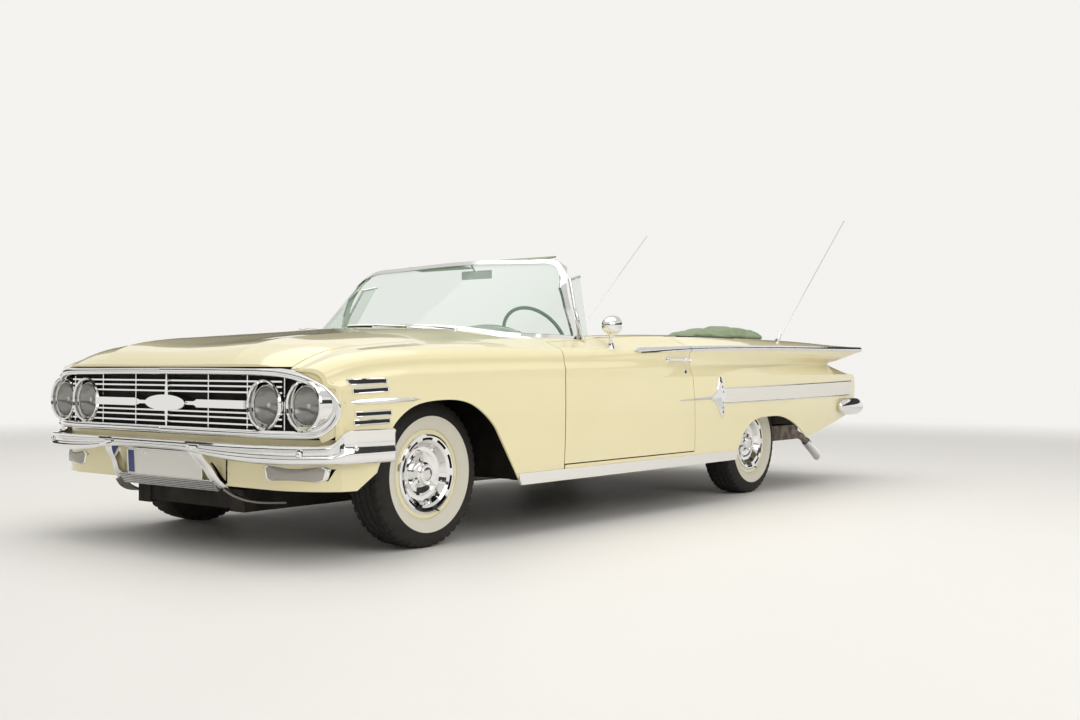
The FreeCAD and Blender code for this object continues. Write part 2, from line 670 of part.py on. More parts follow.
def deck_front():
    """Strip of deck between the top well and the lid."""
    reach = box(DECK_LID_FRONT_X + DECK_LID_GAP, WELL_REAR_X - 42, -10, DECK_LID_HALF_WIDTH, 860, 1100)
    half = SHELL.common(reach)
    return half.fuse(mirrored(half)).removeSplitter()


def deck_lid():
    reach = box(REAR_X - 50, DECK_LID_FRONT_X, -10, DECK_LID_HALF_WIDTH - 4, 824, 1100)
    half = SHELL.common(reach)
    return half.fuse(mirrored(half)).removeSplitter()


def tail_panel():
    reach = box(REAR_X - 50, FIN_TIP_X + 420, -10, DECK_LID_HALF_WIDTH, 400, 818)
    half = SHELL.common(reach)
    return half.fuse(mirrored(half)).removeSplitter()


BEAD_BELOW = 17.0
BEAD_ABOVE = 12.0


def bead_outline(stations):
    """Side outline of the bright bead along the shoulder line, by stations."""
    line = [(x, fair(SHOULDER_HEIGHT, x)) for x in stations]
    return [(x, z - BEAD_BELOW) for x, z in line] + [(x, z + BEAD_ABOVE) for x, z in reversed(line)]


def side_trim_left():
    """Bright mouldings on the fixed panels of the left side."""
    proud = PROUD.cut(OUTER)
    outline = bead_outline((FIN_TIP_X, REAR_AXLE_X - 700, REAR_AXLE_X, DOOR_REAR_X - 300, DOOR_REAR_X + 260))
    fin_bead = proud.common(plate_y(outline, HALF - 90, HALF + 60)).cut(door_block(-DOOR_GAP, 5, 0, 0))
    sill = proud.common(box(REAR_AXLE_X + 440, FRONT_AXLE_X - 460, 700, HALF + 60, 247, 300))
    sill = sill.cut(side_cut(FRONT_ARCH, REAR_ARCH))
    return [fin_bead, sill]


def stripe_left():
    """White insert of the side spear."""
    proud = PROUD.cut(OUTER)
    front = REAR_AXLE_X + 687
    outline = [(front, 587), (FIN_TIP_X + 55, 607), (FIN_TIP_X + 55, 701), (front, 669)]
    return proud.common(plate_y(outline, 800, HALF + 60))


def door_mouldings():
    """Bead along the door's shoulder, tapered to a point at its front."""
    proud = PROUD.cut(OUTER).common(DOOR_SOLID_SPACE)
    start = DOOR_FRONT_X - 627
    line = [(x, fair(SHOULDER_HEIGHT, x)) for x in (DOOR_REAR_X - 60, DOOR_REAR_X + 300, start - 60)]
    outline = [(x, z - BEAD_BELOW) for x, z in line] + [(start, fair(SHOULDER_HEIGHT, start) - 4)]
    outline += [(x, z + BEAD_ABOVE) for x, z in reversed(line)]
    return proud.common(plate_y(outline, HALF - 90, HALF + 60))


WINDOW_SLOT_Y = DOOR_INNER_Y + 40
LOCK_PIN = 6.0
HINGE_HEIGHTS = (400.0, 700.0)
KNUCKLE_HEIGHT = 30.0


def door():
    """Left door as thick as the real one, with the slot for its glass."""
    solid = OUTER.common(DOOR_SOLID_SPACE)
    slot = box(DOOR_REAR_X + 90, DOOR_FRONT_X - 440, WINDOW_SLOT_Y, WINDOW_SLOT_Y + 14, 560, 1100)
    pin = hinge_pin()
    leaves = []
    for z in HINGE_HEIGHTS:
        eye = Part.makeCylinder(12, KNUCKLE_HEIGHT, V(pin.x, pin.y, z))
        strap = plate_z([(pin.x + 2, pin.y - 10), (pin.x - 16, pin.y - 58), (pin.x - 110, pin.y - 68),
                         (pin.x - 110, pin.y - 56), (pin.x - 24, pin.y - 46), (pin.x - 9, pin.y - 4)],
                        z, z + KNUCKLE_HEIGHT)
        bore = Part.makeCylinder(LOCK_PIN + FIT, 60, V(pin.x, pin.y, z - 10))
        leaves.append(eye.fuse(strap).cut(bore))
    armrest = box(DOOR_REAR_X + 260, DOOR_REAR_X + 640, DOOR_INNER_Y - 55, DOOR_INNER_Y + 5, 590, 640)
    return fused([solid.cut(slot), armrest] + leaves)


def door_posts():
    """Front body posts with the hinge pins, left side."""
    pin = hinge_pin()
    post = box(pin.x - DOOR_SWEEP + 5, pin.x + 70, CABIN_Y - 40, CABIN_Y + 66, GROUND_CLEARANCE + 60,
               PAD_Z - 2)
    cap = box(pin.x - DOOR_SWEEP + 5, pin.x - 4, CABIN_Y - 40, PAD_Y, PAD_Z - 2, PAD_Z)
    pieces = [post, cap]
    for z in HINGE_HEIGHTS:
        for low in (z - 14, z + KNUCKLE_HEIGHT + FIT):
            arm = box(pin.x - 10, pin.x + 14, CABIN_Y + 40, pin.y + 8, low, low + 14 - FIT)
            pieces.append(arm)
        pieces.append(Part.makeCylinder(LOCK_PIN, 58 - FIT, V(pin.x, pin.y, z - 14)))
    return fused(pieces)


def rear_posts():
    """Lock posts behind the doors, left side."""
    outline = [(DOOR_REAR_X - 90, CABIN_Y - 20), (DOOR_REAR_X + 30, CABIN_Y - 20),
               (DOOR_REAR_X + 4, HALF - 50),
               (DOOR_REAR_X - 90, HALF - 50)]
    post = plate_z(outline, GROUND_CLEARANCE + 60, 860)
    return post.cut(door_block(-DOOR_GAP, 5.0, 0, CABIN_Y)).common(INNER)


def sills():
    """Left inner sill under the door."""
    rocker = box(DOOR_REAR_X - 100, hinge_pin().x + 70, CABIN_Y - 40, HALF, GROUND_CLEARANCE,
                 DOOR_BOTTOM_Z - DOOR_GAP)
    return rocker.common(INNER)


TUNNEL_HALF = 150.0
HUMP_HALF = 210.0
TUNNEL_TOP = 430.0
HUMP_TOP = 560.0
FIREWALL_X = HOOD_REAR_X - 105
SEAT_RISER_X = REAR_AXLE_X + 642
KICK_TOP = 505.0
TRUNK_FLOOR = 430.0
WHEELHOUSE_Y = REAR_HUB_Y - TYRE_WIDTH / 2 - 40
WHEELHOUSE_RADIUS = 400.0
WELL_WALL_TOP = 938.0


def wheelhouse_drums():
    """Outside and inside of the left rear wheelhouse, as two solid drums."""
    hub = V(REAR_AXLE_X, WHEELHOUSE_Y, TYRE_RADIUS)
    depth = CABIN_Y - WHEELHOUSE_Y + SHEET
    drum = Part.makeCylinder(WHEELHOUSE_RADIUS, depth, hub - V(0, SHEET, 0), V(0, 1, 0))
    room = Part.makeCylinder(WHEELHOUSE_RADIUS - SHEET, CABIN_Y, hub, V(0, 1, 0))
    return drum, room


def floor_tub():
    """Floor, tunnel, toe board, firewall, rear kick-up, trunk floor and the wall behind the rear seat."""
    t = SHEET
    side = CABIN_Y
    f = FLOOR_HEIGHT
    kick_x = REAR_AXLE_X - 330
    trunk_x = REAR_AXLE_X - 400
    tail_x = FIN_TIP_X + 160
    run = [(FIREWALL_X + t, 890), (FIREWALL_X, 890), (FIREWALL_X, 520), (FIREWALL_X - 180, f),
           (SEAT_RISER_X, f),
           (SEAT_RISER_X - 60, KICK_TOP), (kick_x, KICK_TOP), (trunk_x, TRUNK_FLOOR), (tail_x, TRUNK_FLOOR),
           (tail_x, TRUNK_FLOOR - t), (trunk_x + t, TRUNK_FLOOR - t), (kick_x + t, KICK_TOP - t),
           (SEAT_RISER_X - 60 - t, KICK_TOP - t), (SEAT_RISER_X - t, f - t), (FIREWALL_X - 176, f - t),
           (FIREWALL_X + t, 516)]
    floor = plate_y(run, -side, side)
    wheel_gap = box(REAR_AXLE_X - 400, REAR_AXLE_X + 400, WHEELHOUSE_Y, side + 10, 100, KICK_TOP + 60)
    floor = floor.cut(wheel_gap).cut(mirrored(wheel_gap))
    hump_x = DOOR_FRONT_X - 230
    tunnel_out = box(SEAT_RISER_X - 10, FIREWALL_X, -TUNNEL_HALF, TUNNEL_HALF, f - t, TUNNEL_TOP)
    hump_out = box(hump_x, FIREWALL_X, -HUMP_HALF, HUMP_HALF, f - t, HUMP_TOP)
    tunnel_in = box(SEAT_RISER_X - 60, FIREWALL_X + 20, t - TUNNEL_HALF, TUNNEL_HALF - t, 0, TUNNEL_TOP - t)
    hump_in = box(hump_x + t, FIREWALL_X + 20, t - HUMP_HALF, HUMP_HALF - t, 0, HUMP_TOP - t)
    floor = floor.fuse([tunnel_out, hump_out]).cut(fused([tunnel_in, hump_in]))
    room = wheelhouse_drums()[1]
    bulkhead = box(WELL_REAR_X - 42 - t, WELL_REAR_X - 42, -side, side, KICK_TOP, WELL_WALL_TOP)
    bulkhead = bulkhead.cut(room).cut(mirrored(room))
    return fused([floor, bulkhead])


def inner_sides(tub):
    """Rear wheelhouses, inner walls, posts and sills, both sides, welded to the floor tub."""
    t = SHEET
    side = CABIN_Y
    f = FLOOR_HEIGHT
    tail_x = FIN_TIP_X + 160
    drum, room = wheelhouse_drums()
    below = box(REAR_AXLE_X - 500, REAR_AXLE_X + 500, 0, HALF, -200, 424)
    arch_wall = drum.cut(room).cut(below)
    wall = plate_y([(SEAT_RISER_X - 60, KICK_TOP), (SEAT_RISER_X, f), (DOOR_REAR_X - 60, f),
                    (DOOR_REAR_X - 60, 900), (SEAT_RISER_X - 60, 900)], side - t, side)
    wall_rear = box(WELL_REAR_X - 42, SEAT_RISER_X - 60, side - t, side, KICK_TOP, 900)
    wall_rear = wall_rear.fuse(box(WELL_REAR_X - 42, SEAT_RISER_X + 70, side - t, side, 890, WELL_WALL_TOP))
    wall_rear = wall_rear.fuse(box(REAR_AXLE_X - 400, WELL_REAR_X, side - t, side, KICK_TOP,
                                   900)).cut(room)
    wall_trunk = box(tail_x, REAR_AXLE_X - 390, side - t, side, TRUNK_FLOOR, 700)
    left = fused([arch_wall, wall, wall_rear, wall_trunk, door_posts(), rear_posts(), sills()])
    return both(left.cut(tub))


APRON_Y = 482.0
APRON_TOP = 700.0
SHIELD_X = FRONT_AXLE_X - 530
RADIATOR_X = NOSE_X - 260


def grille_backing():
    """Dark sheet behind the grille bars, left half, with its struts to the radiator support."""
    panel = box(NOSE_X - 68, NOSE_X - 60, 0, 700, GRILLE_LOW - 4, GRILLE_TOP - 2)
    wing = plate_z([(NOSE_X - 68, 699), (NOSE_X - 60, 699), (NOSE_X - 100, 880), (NOSE_X - 164, 936),
                    (NOSE_X - 172, 930), (NOSE_X - 108, 874)], GRILLE_LOW - 4, GRILLE_TOP - 2)
    sheet = fused([panel, wing]).common(grille_outline(8, GRILLE_TOP - 3, GRILLE_LOW + 3))
    for lamp in (OUTER_LAMP, INNER_LAMP):
        sheet = sheet.cut(rod(lamp + V(-160, 0, 0), lamp + V(80, 0, 0), BEZEL_RADIUS + 1))
    strut = box(RADIATOR_X - 4, NOSE_X - 64, 440, 450, 640, 652)
    low_strut = box(RADIATOR_X - 4, NOSE_X - 64, 440, 450, 520, 532)
    return fused([sheet, strut, low_strut])


def inner_fenders():
    """Wheel aprons of the engine bay, radiator and its support, and the dark sheet behind the grille."""
    t = SHEET
    start = FIREWALL_X + t
    shelf = box(start, RADIATOR_X, APRON_Y, HALF - 70, APRON_TOP - t, APRON_TOP).common(INNER)
    wall = box(start, RADIATOR_X, APRON_Y - t, APRON_Y, 380, APRON_TOP)
    wall = wall.cut(box(FRONT_AXLE_X - 112, FRONT_AXLE_X + 112, APRON_Y - 20, APRON_Y + 20, 370, 440))
    support = box(RADIATOR_X - t, RADIATOR_X, APRON_Y - t, HALF - 90, 400, APRON_TOP).common(INNER)
    closing = box(SHIELD_X, SHIELD_X + t, APRON_Y - t, HALF - 60, GROUND_CLEARANCE + 20, APRON_TOP)
    closing = closing.common(INNER).cut(side_cut(FRONT_ARCH, REAR_ARCH))
    left = fused([shelf, wall, support, closing, grille_backing()])
    surround = box(RADIATOR_X - 60, RADIATOR_X + 4, 1 - APRON_Y, APRON_Y - 1, 330, 800)
    surround = surround.cut(box(RADIATOR_X - 70, RADIATOR_X + 10, -300, 300, 380, 760))
    core = box(RADIATOR_X - 55, RADIATOR_X - 2, -300, 300, 380, 760)
    return fused([left, mirrored(left), surround, core])


RAIL_WIDTH = 90.0
FRONT_RAIL_Y = 330.0
REAR_RAIL_Y = 500.0
FRAME_TOP = FRAME_BOTTOM + FRAME_DEPTH


def chassis_frame():
    """Cross-shaped frame: front rails, a narrow waist and rear rails that rise over the axle."""
    w = RAIL_WIDTH / 2
    z0 = FRAME_BOTTOM
    z1 = FRAME_TOP
    waist_x = DOOR_FRONT_X - 630
    outer = [(NOSE_X - 140, FRONT_RAIL_Y + w), (FRONT_AXLE_X - 480, FRONT_RAIL_Y + w), (waist_x + 260, 120),
             (waist_x - 260, 120), (REAR_AXLE_X + 700, REAR_RAIL_Y + w), (REAR_AXLE_X + 520, REAR_RAIL_Y + w)]
    inner = [(REAR_AXLE_X + 520, REAR_RAIL_Y - w), (REAR_AXLE_X + 660, REAR_RAIL_Y - w), (waist_x - 240, 0),
             (waist_x + 240, 0), (FRONT_AXLE_X - 500, FRONT_RAIL_Y - w), (NOSE_X - 140, FRONT_RAIL_Y - w)]
    rail = plate_z(outer + inner, z0, z1)
    trunk_top = TRUNK_FLOOR - 16
    side = [(REAR_AXLE_X + 600, z0), (REAR_AXLE_X + 600, z1), (REAR_AXLE_X + 330, KICK_TOP - 20),
            (REAR_AXLE_X - 315, KICK_TOP - 20), (REAR_AXLE_X - 385, trunk_top), (FIN_TIP_X + 170, trunk_top),
            (FIN_TIP_X + 170, TRUNK_FLOOR - 90), (REAR_AXLE_X - 460, TRUNK_FLOOR - 90),
            (REAR_AXLE_X - 360, KICK_TOP - 100), (REAR_AXLE_X + 300, KICK_TOP - 100), (REAR_AXLE_X + 500, z0)]
    kick = plate_y(side, REAR_RAIL_Y - w, REAR_RAIL_Y + w)
    cross_front = box(FRONT_AXLE_X - 110, FRONT_AXLE_X + 110, 0, FRONT_RAIL_Y, z0 + 10, z1 - 10)
    cross_nose = box(NOSE_X - 220, NOSE_X - 150, 0, FRONT_RAIL_Y, z0 + 10, z1 - 10)
    cross_rear = box(FIN_TIP_X + 180, FIN_TIP_X + 250, 0, REAR_RAIL_Y, TRUNK_FLOOR - 86, TRUNK_FLOOR - 20)
    body_mounts = []
    for x, y, low, high in ((DOOR_FRONT_X - 30, 270.0, z1, FLOOR_HEIGHT - SHEET),
                            (REAR_AXLE_X + 690, REAR_RAIL_Y, z1, FLOOR_HEIGHT - SHEET),
                            (REAR_AXLE_X, REAR_RAIL_Y, KICK_TOP - 20, KICK_TOP - SHEET),
                            (FIN_TIP_X + 260, REAR_RAIL_Y, trunk_top, TRUNK_FLOOR - SHEET)):
        body_mounts.append(Part.makeCylinder(30, high - low, V(x, y, low)))
    left = fused([rail, kick, cross_front, cross_nose, cross_rear] + body_mounts)
    return fused([left, mirrored(left)])


ENGINE_REAR_X = FIREWALL_X + 130


def engine():
    """Engine as one plain block with its two banks and the front mount."""
    block = box(ENGINE_REAR_X, FRONT_AXLE_X + 150, -165, 165, 290, 640)
    banks = plate_x([(-60, 420), (60, 420), (300, 640), (190, 740), (60, 640), (-60, 640), (-190, 740),
                     (-300, 640)], FIREWALL_X + 150, FRONT_AXLE_X + 110)
    intake = box(FIREWALL_X + 230, FRONT_AXLE_X - 20, -95, 95, 640, 800)
    mount = box(FRONT_AXLE_X - 250, FRONT_AXLE_X - 180, -FRONT_RAIL_Y, FRONT_RAIL_Y, FRAME_TOP + FIT, 330)
    return fused([block, banks, intake, mount])


AXLE_TUBE = 42.0
SHAFT_Z = 322.0
GEARBOX_RADIUS = 100.0
GEARBOX_TAIL_RADIUS = 66.0
SPRING_RADIUS = 48.0


def driveline():
    """Gearbox, propeller shaft and rear axle with its hub flanges."""
    gearbox_end = FIREWALL_X - 420
    step_x = FIREWALL_X - 210
    gearbox = rod(V(ENGINE_REAR_X - FIT, 0, 372), V(step_x, 0, 372), GEARBOX_RADIUS)
    extension = rod(V(step_x + 2, 0, 348), V(gearbox_end, 0, 348), GEARBOX_TAIL_RADIUS)
    shaft = rod(V(gearbox_end + 2, 0, 345), V(REAR_AXLE_X + 100, 0, SHAFT_Z), 38)
    centre = V(REAR_AXLE_X, 0, TYRE_RADIUS)
    final_drive = Part.makeSphere(150, centre)
    tube = rod(centre, centre + V(0, REAR_HUB_Y - 70, 0), AXLE_TUBE)
    drum = rod(centre + V(0, REAR_HUB_Y - 72, 0), centre + V(0, REAR_HUB_Y - 12, 0), 148)
    hub = rod(centre + V(0, REAR_HUB_Y - 14, 0), centre + V(0, REAR_HUB_Y - FIT, 0), 60)
    spring = rod(centre + V(10, REAR_RAIL_Y, 0), V(REAR_AXLE_X + 10, REAR_RAIL_Y, KICK_TOP - 100 - FIT),
                 SPRING_RADIUS)
    left = fused([tube, drum, hub, spring])
    return fused([gearbox, extension, shaft, final_drive, left, mirrored(left)])


ARM_END_Y = KINGPIN_Y
LOWER_ARM_Z = 238.0
UPPER_ARM_Z = 412.0
KINGPIN = 13.0


def front_suspension():
    """Upper and lower arms, springs and the towers that carry them."""
    x = FRONT_AXLE_X
    y = FRONT_RAIL_Y
    tower = box(x - 75, x + 75, y - 20, y + 55, FRAME_TOP + FIT, UPPER_ARM_Z + 60)
    lower = plate_z([(x - 130, y + 46), (x + 130, y + 46), (x + 32, ARM_END_Y), (x - 32, ARM_END_Y)],
                    LOWER_ARM_Z - 14, LOWER_ARM_Z + 14)
    lower_end = Part.makeCylinder(32, 28, V(x, ARM_END_Y, LOWER_ARM_Z - 14))
    upper = plate_z([(x - 90, y + 50), (x + 90, y + 50), (x + 26, ARM_END_Y), (x - 26, ARM_END_Y)],
                    UPPER_ARM_Z - 10, UPPER_ARM_Z + 10)
    upper_end = Part.makeCylinder(26, 20, V(x, ARM_END_Y, UPPER_ARM_Z - 10))
    inner_mount = box(x - 130, x + 130, y + 46, y + 60, LOWER_ARM_Z - 14, LOWER_ARM_Z + 60)
    eye = Part.makeCylinder(KINGPIN + FIT, 400, V(x, ARM_END_Y, 100))
    spring = rod(V(x, y + 112, LOWER_ARM_Z), V(x, y + 112, UPPER_ARM_Z - 12), SPRING_RADIUS)
    left = fused([tower, lower, lower_end, upper, upper_end, inner_mount, spring]).cut(eye)
    return together([left, mirrored(left)])


def knuckle():
    """Left knuckle: upright on its two pivots, brake drum, hub flange and steering arm."""
    x = FRONT_AXLE_X
    low = Part.makeCylinder(KINGPIN, 44, V(x, KINGPIN_Y, LOWER_ARM_Z - 14))
    high = Part.makeCylinder(KINGPIN, 44, V(x, KINGPIN_Y, UPPER_ARM_Z - 32))
    upright = box(x - 24, x + 24, KINGPIN_Y - 14, KINGPIN_Y + 20, LOWER_ARM_Z + 15, UPPER_ARM_Z - 11)
    drum = rod(V(x, KINGPIN_Y + 38, TYRE_RADIUS), V(x, FRONT_HUB_Y - 12, TYRE_RADIUS), 145)
    hub = rod(V(x, KINGPIN_Y, TYRE_RADIUS), V(x, FRONT_HUB_Y - FIT, TYRE_RADIUS), 58)
    arm = box(x - 150, x, KINGPIN_Y - 14, KINGPIN_Y + 8, 280, 304)
    return fused([low, high, upright, drum, hub, arm])


FLANGE = 17.0


def tyre(centre, side):
    """Tyre whose beads sit inside the rim flanges."""
    r = TYRE_RADIUS
    w = TYRE_WIDTH / 2
    s = RIM_RADIUS
    rim = RIM_WIDTH / 2
    half = [(s + 0.5, rim - 13), (s + FLANGE + 0.6, rim - 9), (s + FLANGE + 1.2, rim), (s + 26, w - 17),
            (s + 52, w - 4), (s + 80, w), (r - 36, w - 5), (r - 12, w - 17), (r - 3, w - 30)]
    profile = [(radius, -y) for radius, y in half] + [(r, 0)] + list(reversed(half))
    return ring(profile, centre, side)


COVER_RADIUS = 174.0
SLOT_COUNT = 10
SLOT_SPAN = 24.0
SPINNER_BARS = 3


def sector(centre, side, inner, outer, angle, span, low, high):
    """Block of a ring about the Y axis, between two radii and two side offsets."""
    steps = [angle - span / 2 + span * k / 4 for k in range(5)]
    points = []
    for radius, order in ((inner, steps), (outer, list(reversed(steps)))):
        for a in order:
            points.append((centre.x + radius * math.cos(math.radians(a)),
                           centre.z + radius * math.sin(math.radians(a))))
    ends = sorted((centre.y + side * low, centre.y + side * high))
    return plate_y(points, ends[0], ends[1])


def wheel(centre, side):
    """Rim, disc and dished cover with slots and a spinner; the outer side is +side."""
    s = RIM_RADIUS
    w = RIM_WIDTH / 2
    rim = [(s - 8, -w), (s + FLANGE, -w + 2), (s + FLANGE, -w + 8), (s, -w + 12), (s, w - 12),
           (s + FLANGE, w - 8), (s + FLANGE, w - 2), (s - 8, w), (s - 12, w - 14), (s - 12, -w + 14)]
    disc = [(0, 0), (120, 0), (s - 10, 20), (s - 10, 28), (120, 12), (0, 12)]
    cover = [(COVER_RADIUS, w - 2), (COVER_RADIUS, w + 5), (COVER_RADIUS - 8, w + 8),
             (COVER_RADIUS - 26, w + 3),
             (136, w - 4), (116, w - 32), (100, w - 34), (94, w - 26), (86, w - 30), (60, w - 36),
             (50, w - 8),
             (42, w - 2), (0, w), (0, w - 4), (38, w - 7), (45, w - 12), (55, w - 40), (88, w - 36),
             (94, w - 32), (118, w - 40), (141, w - 10), (COVER_RADIUS - 12, w - 6)]
    body = fused([ring(rim, centre, side), ring(disc, centre, side), ring(cover, centre, side)])
    slots = []
    for k in range(SLOT_COUNT):
        angle = 360 / SLOT_COUNT * (k + 0.5)
        slots.append(sector(centre, side, COVER_RADIUS - 25, COVER_RADIUS - 14, angle, SLOT_SPAN, w - 12,
                            w + 20))
    body = body.cut(slots)
    bars = []
    for k in range(SPINNER_BARS):
        bars.append(sector(centre, side, 30, 98, 90 + 360 / SPINNER_BARS * k, 15, w - 32, w - 12))
    return fused([body] + bars)


GRILLE_TOP = 781.0
GRILLE_LOW = 508.0
TOP_MOULDING = 23.0
LOW_MOULDING = 28.0
SIDE_MOULDING = 16.0
LAMP_Z = 635.0
OUTER_LAMP = V(NOSE_X - 66, 849, LAMP_Z)
INNER_LAMP = V(NOSE_X - 48, 631, LAMP_Z)
LAMP_RADIUS = 77.0
BEZEL_RADIUS = 104.0
THIN_BARS = (729.0, 708.0, 684.0, 600.0, 579.0, 553.0)
BAR_END_Y = 740.0


def outline_face(shrink, top, low):
    """Front view of the grille opening, left half, between two heights."""
    s = shrink
    shoulder = V(NOSE_X, 740, top)
    side = V(NOSE_X, 962 - s, 640)
    foot = V(NOSE_X, 884 - 0.7 * s, low)
    bow = Part.Arc(shoulder, V(NOSE_X, 912 - 0.7 * s, 716 + 0.4 * (top - GRILLE_TOP)), side).toShape()
    under = Part.Arc(side, V(NOSE_X, 940 - 0.9 * s, 560 + 0.3 * (low - GRILLE_LOW)), foot).toShape()
    peak = V(NOSE_X, 0, top)
    base = V(NOSE_X, 0, low)
    return Part.Face(Part.Wire([segment(peak, shoulder), bow, under, segment(foot, base), segment(base,
                                                                                                  peak)]))


def outline_block(face):
    """Block through the nose with the outline of a face drawn at its front."""
    face.translate(V(-240, 0, 0))
    return face.extrude(V(400, 0, 0))


def grille_outline(shrink, top, low):
    """Room behind the front view of the grille opening, left half, between two heights."""
    return outline_block(outline_face(shrink, top, low))


def grille_room():
    """Cut in the body for the whole grille, with its working gap."""
    return outline_block(outline_face(0, GRILLE_TOP, GRILLE_LOW).makeOffset2D(FIT, 2))


def grille():
    """Surround, bars, centre oval with its posts, and the lamp bezels."""
    opening = grille_outline(SIDE_MOULDING, GRILLE_TOP - TOP_MOULDING, GRILLE_LOW + LOW_MOULDING)
    surround = grille_outline(0, GRILLE_TOP, GRILLE_LOW).cut(opening)
    surround = surround.common(nose_plan(10, 300, 900)).cut(nose_plan(-24, 290, 910))
    back = NOSE_X - 46
    bars = [box(back, back + 15, 0, BAR_END_Y, z - 3.5, z + 3.5) for z in THIN_BARS]
    bars.append(box(back, back + 32, 214, 560, LAMP_Z - 18, LAMP_Z + 16))
    bars.append(plate_x([(110, LAMP_Z - 8), (190, LAMP_Z - 8), (222, LAMP_Z - 18), (222, LAMP_Z + 16),
                         (190, LAMP_Z + 7), (110, LAMP_Z + 7)], back, back + 28))
    bars.append(plate_x([(0, GRILLE_TOP - 20), (3, GRILLE_TOP - 20), (12, LAMP_Z + 30), (0, LAMP_Z + 30)],
                        back, back + 26))
    bars.append(plate_x([(0, GRILLE_LOW + 20), (4, GRILLE_LOW + 20), (12, LAMP_Z - 30), (0, LAMP_Z - 30)],
                        back, back + 26))
    for y in (258.0, 512.0, BAR_END_Y):
        bars.append(box(back - 8, back + 2, y - 3, y + 3, GRILLE_LOW + 4, GRILLE_TOP - 4))
    bars = fused(bars).common(grille_outline(6, GRILLE_TOP - 4, GRILLE_LOW + 4)).common(nose_plan(-8, 300,
                                                                                                  900))
    tie = box(NOSE_X - 54, NOSE_X - 14, 0, 516, GRILLE_TOP - 16, GRILLE_TOP - 6)
    low_tie = box(NOSE_X - 54, NOSE_X - 14, 0, 516, GRILLE_LOW + 6, GRILLE_LOW + 16)
    half = fused([surround, bars, tie, low_tie])
    bezels = []
    for lamp in (OUTER_LAMP, INNER_LAMP):
        half = half.cut(rod(lamp + V(-100, 0, 0), lamp + V(80, 0, 0), BEZEL_RADIUS + FIT))
        profile = [(LAMP_RADIUS + 2, -46), (BEZEL_RADIUS, -46), (BEZEL_RADIUS, 16), (BEZEL_RADIUS - 3, 24),
                   (BEZEL_RADIUS - 8, 26), (BEZEL_RADIUS - 13, 20), (LAMP_RADIUS + 7, -12),
                   (LAMP_RADIUS + 2, -18)]
        bezels.append(turned_x(profile, lamp))
    whole = fused([half, mirrored(half)])
    rim = Part.Ellipse(V(back, 140, LAMP_Z - 1), V(back, 0, LAMP_Z + 33), V(back, 0, LAMP_Z - 1)).toShape()
    oval = Part.Face(Part.Wire([rim])).extrude(V(36, 0, 0))
    carrier = fused([whole, oval])
    return together([carrier] + bezels + [mirrored(bezel) for bezel in bezels])


PARKING_OUTLINE = [(616, 385), (704, 339), (900, 339), (922, 385)]
VALANCE_STEP = -40.0
VALANCE_LOW = 296.0
VALANCE_TOP = GRILLE_LOW - 8.5


def valance_block(step, shell):
    """Full left half inside the lower front panel; step is its set-back from the nose."""
    return shell.common(nose_plan(step, 200, 600))


def front_lamps():
    """Headlamp units and the clear parking lamps in the lower panel."""
    units = []
    for lamp in (OUTER_LAMP, INNER_LAMP):
        r = LAMP_RADIUS
        profile = [(0, -52), (r - 20, -52), (r + 1.6, -30), (r + 1.6, -16), (r * 0.7, -5), (r * 0.35, 1),
                   (0, 3)]
        units.append(turned_x(profile, lamp))
    parking = valance_block(VALANCE_STEP + 5, OUTER).cut(valance_block(VALANCE_STEP - 14, INNER))
    units.append(parking.common(plate_x(PARKING_OUTLINE, NOSE_X - 300, NOSE_X + 50)))
    half = together(units)
    return together([half, mirrored(half)])


def valance():
    """Painted panel under the front bumper, with the openings of the parking lamps."""
    skin = valance_block(VALANCE_STEP, OUTER).cut(valance_block(VALANCE_STEP - SKIN, INNER))
    side = plate_y([(NOSE_X - 232, VALANCE_LOW), (NOSE_X - 328, 363), (NOSE_X - 377, VALANCE_TOP),
                    (NOSE_X + 50, VALANCE_TOP), (NOSE_X + 50, VALANCE_LOW)], -10, HALF + 50)
    skin = skin.common(side)
    y_in, y_low, y_low_out, y_out = (point[0] for point in PARKING_OUTLINE)
    z_top, z_low = PARKING_OUTLINE[0][1], PARKING_OUTLINE[1][1]
    hole = plate_x([(y_in - 2, z_top + FIT), (y_low - 1, z_low - FIT), (y_low_out + 1, z_low - FIT),
                    (y_out + 1, z_top + FIT)], NOSE_X - 300, NOSE_X + 50)
    arm_y = FRONT_RAIL_Y + RAIL_WIDTH / 2
    arm_slot = box(NOSE_X - 90, NOSE_X + 50, arm_y - 5, arm_y + 17, 305, 420)
    half = skin.cut(hole).cut(arm_slot)
    return fused([half, mirrored(half)])


PLATE_HOLE_SPACING = 177.8
PLATE_HOLE_Z = 400.0
PLATE_HOLE_RADIUS = 3.5
PLATE_X = FRONT_X - 114
# Stations of the front bumper: place and outward turn of its crease, then crease, top and lower heights
FRONT_BAR = [
    (FRONT_X, 0, 0, 465, 483, 449),
    (FRONT_X - 1, 200, 1, 465, 483, 447),
    (FRONT_X - 4, 330, 2, 463, 483, 441),
    (FRONT_X - 8, 440, 3, 459, 482, 431),
    (FRONT_X - 15, 560, 5, 452, 480, 418),
    (FRONT_X - 26, 690, 8, 446, 479, 409),
    (FRONT_X - 44, 800, 20, 443, 478, 406),
    (FRONT_X - 84, 874, 36, 444, 480, 404),
    (FRONT_X - 136, 926, 48, 447, 484, 404),
    (FRONT_X - 184, 962, 58, 451, 490, 404),
    (FRONT_X - 226, 985, 66, 466, 538, 404),
    (FRONT_X - 270, 999, 78, 470, 542, 404),
    (FRONT_X - 360, 1007, 87, 471, 541, 404),
    (FRONT_X - 440, 1008, 90, 472, 540, 404),
    (FRONT_X - 480, 1008, 90, 472, 538, 406),
]
BAR_DEPTH = 34.0
BAR_TOP_STEP = 9.0
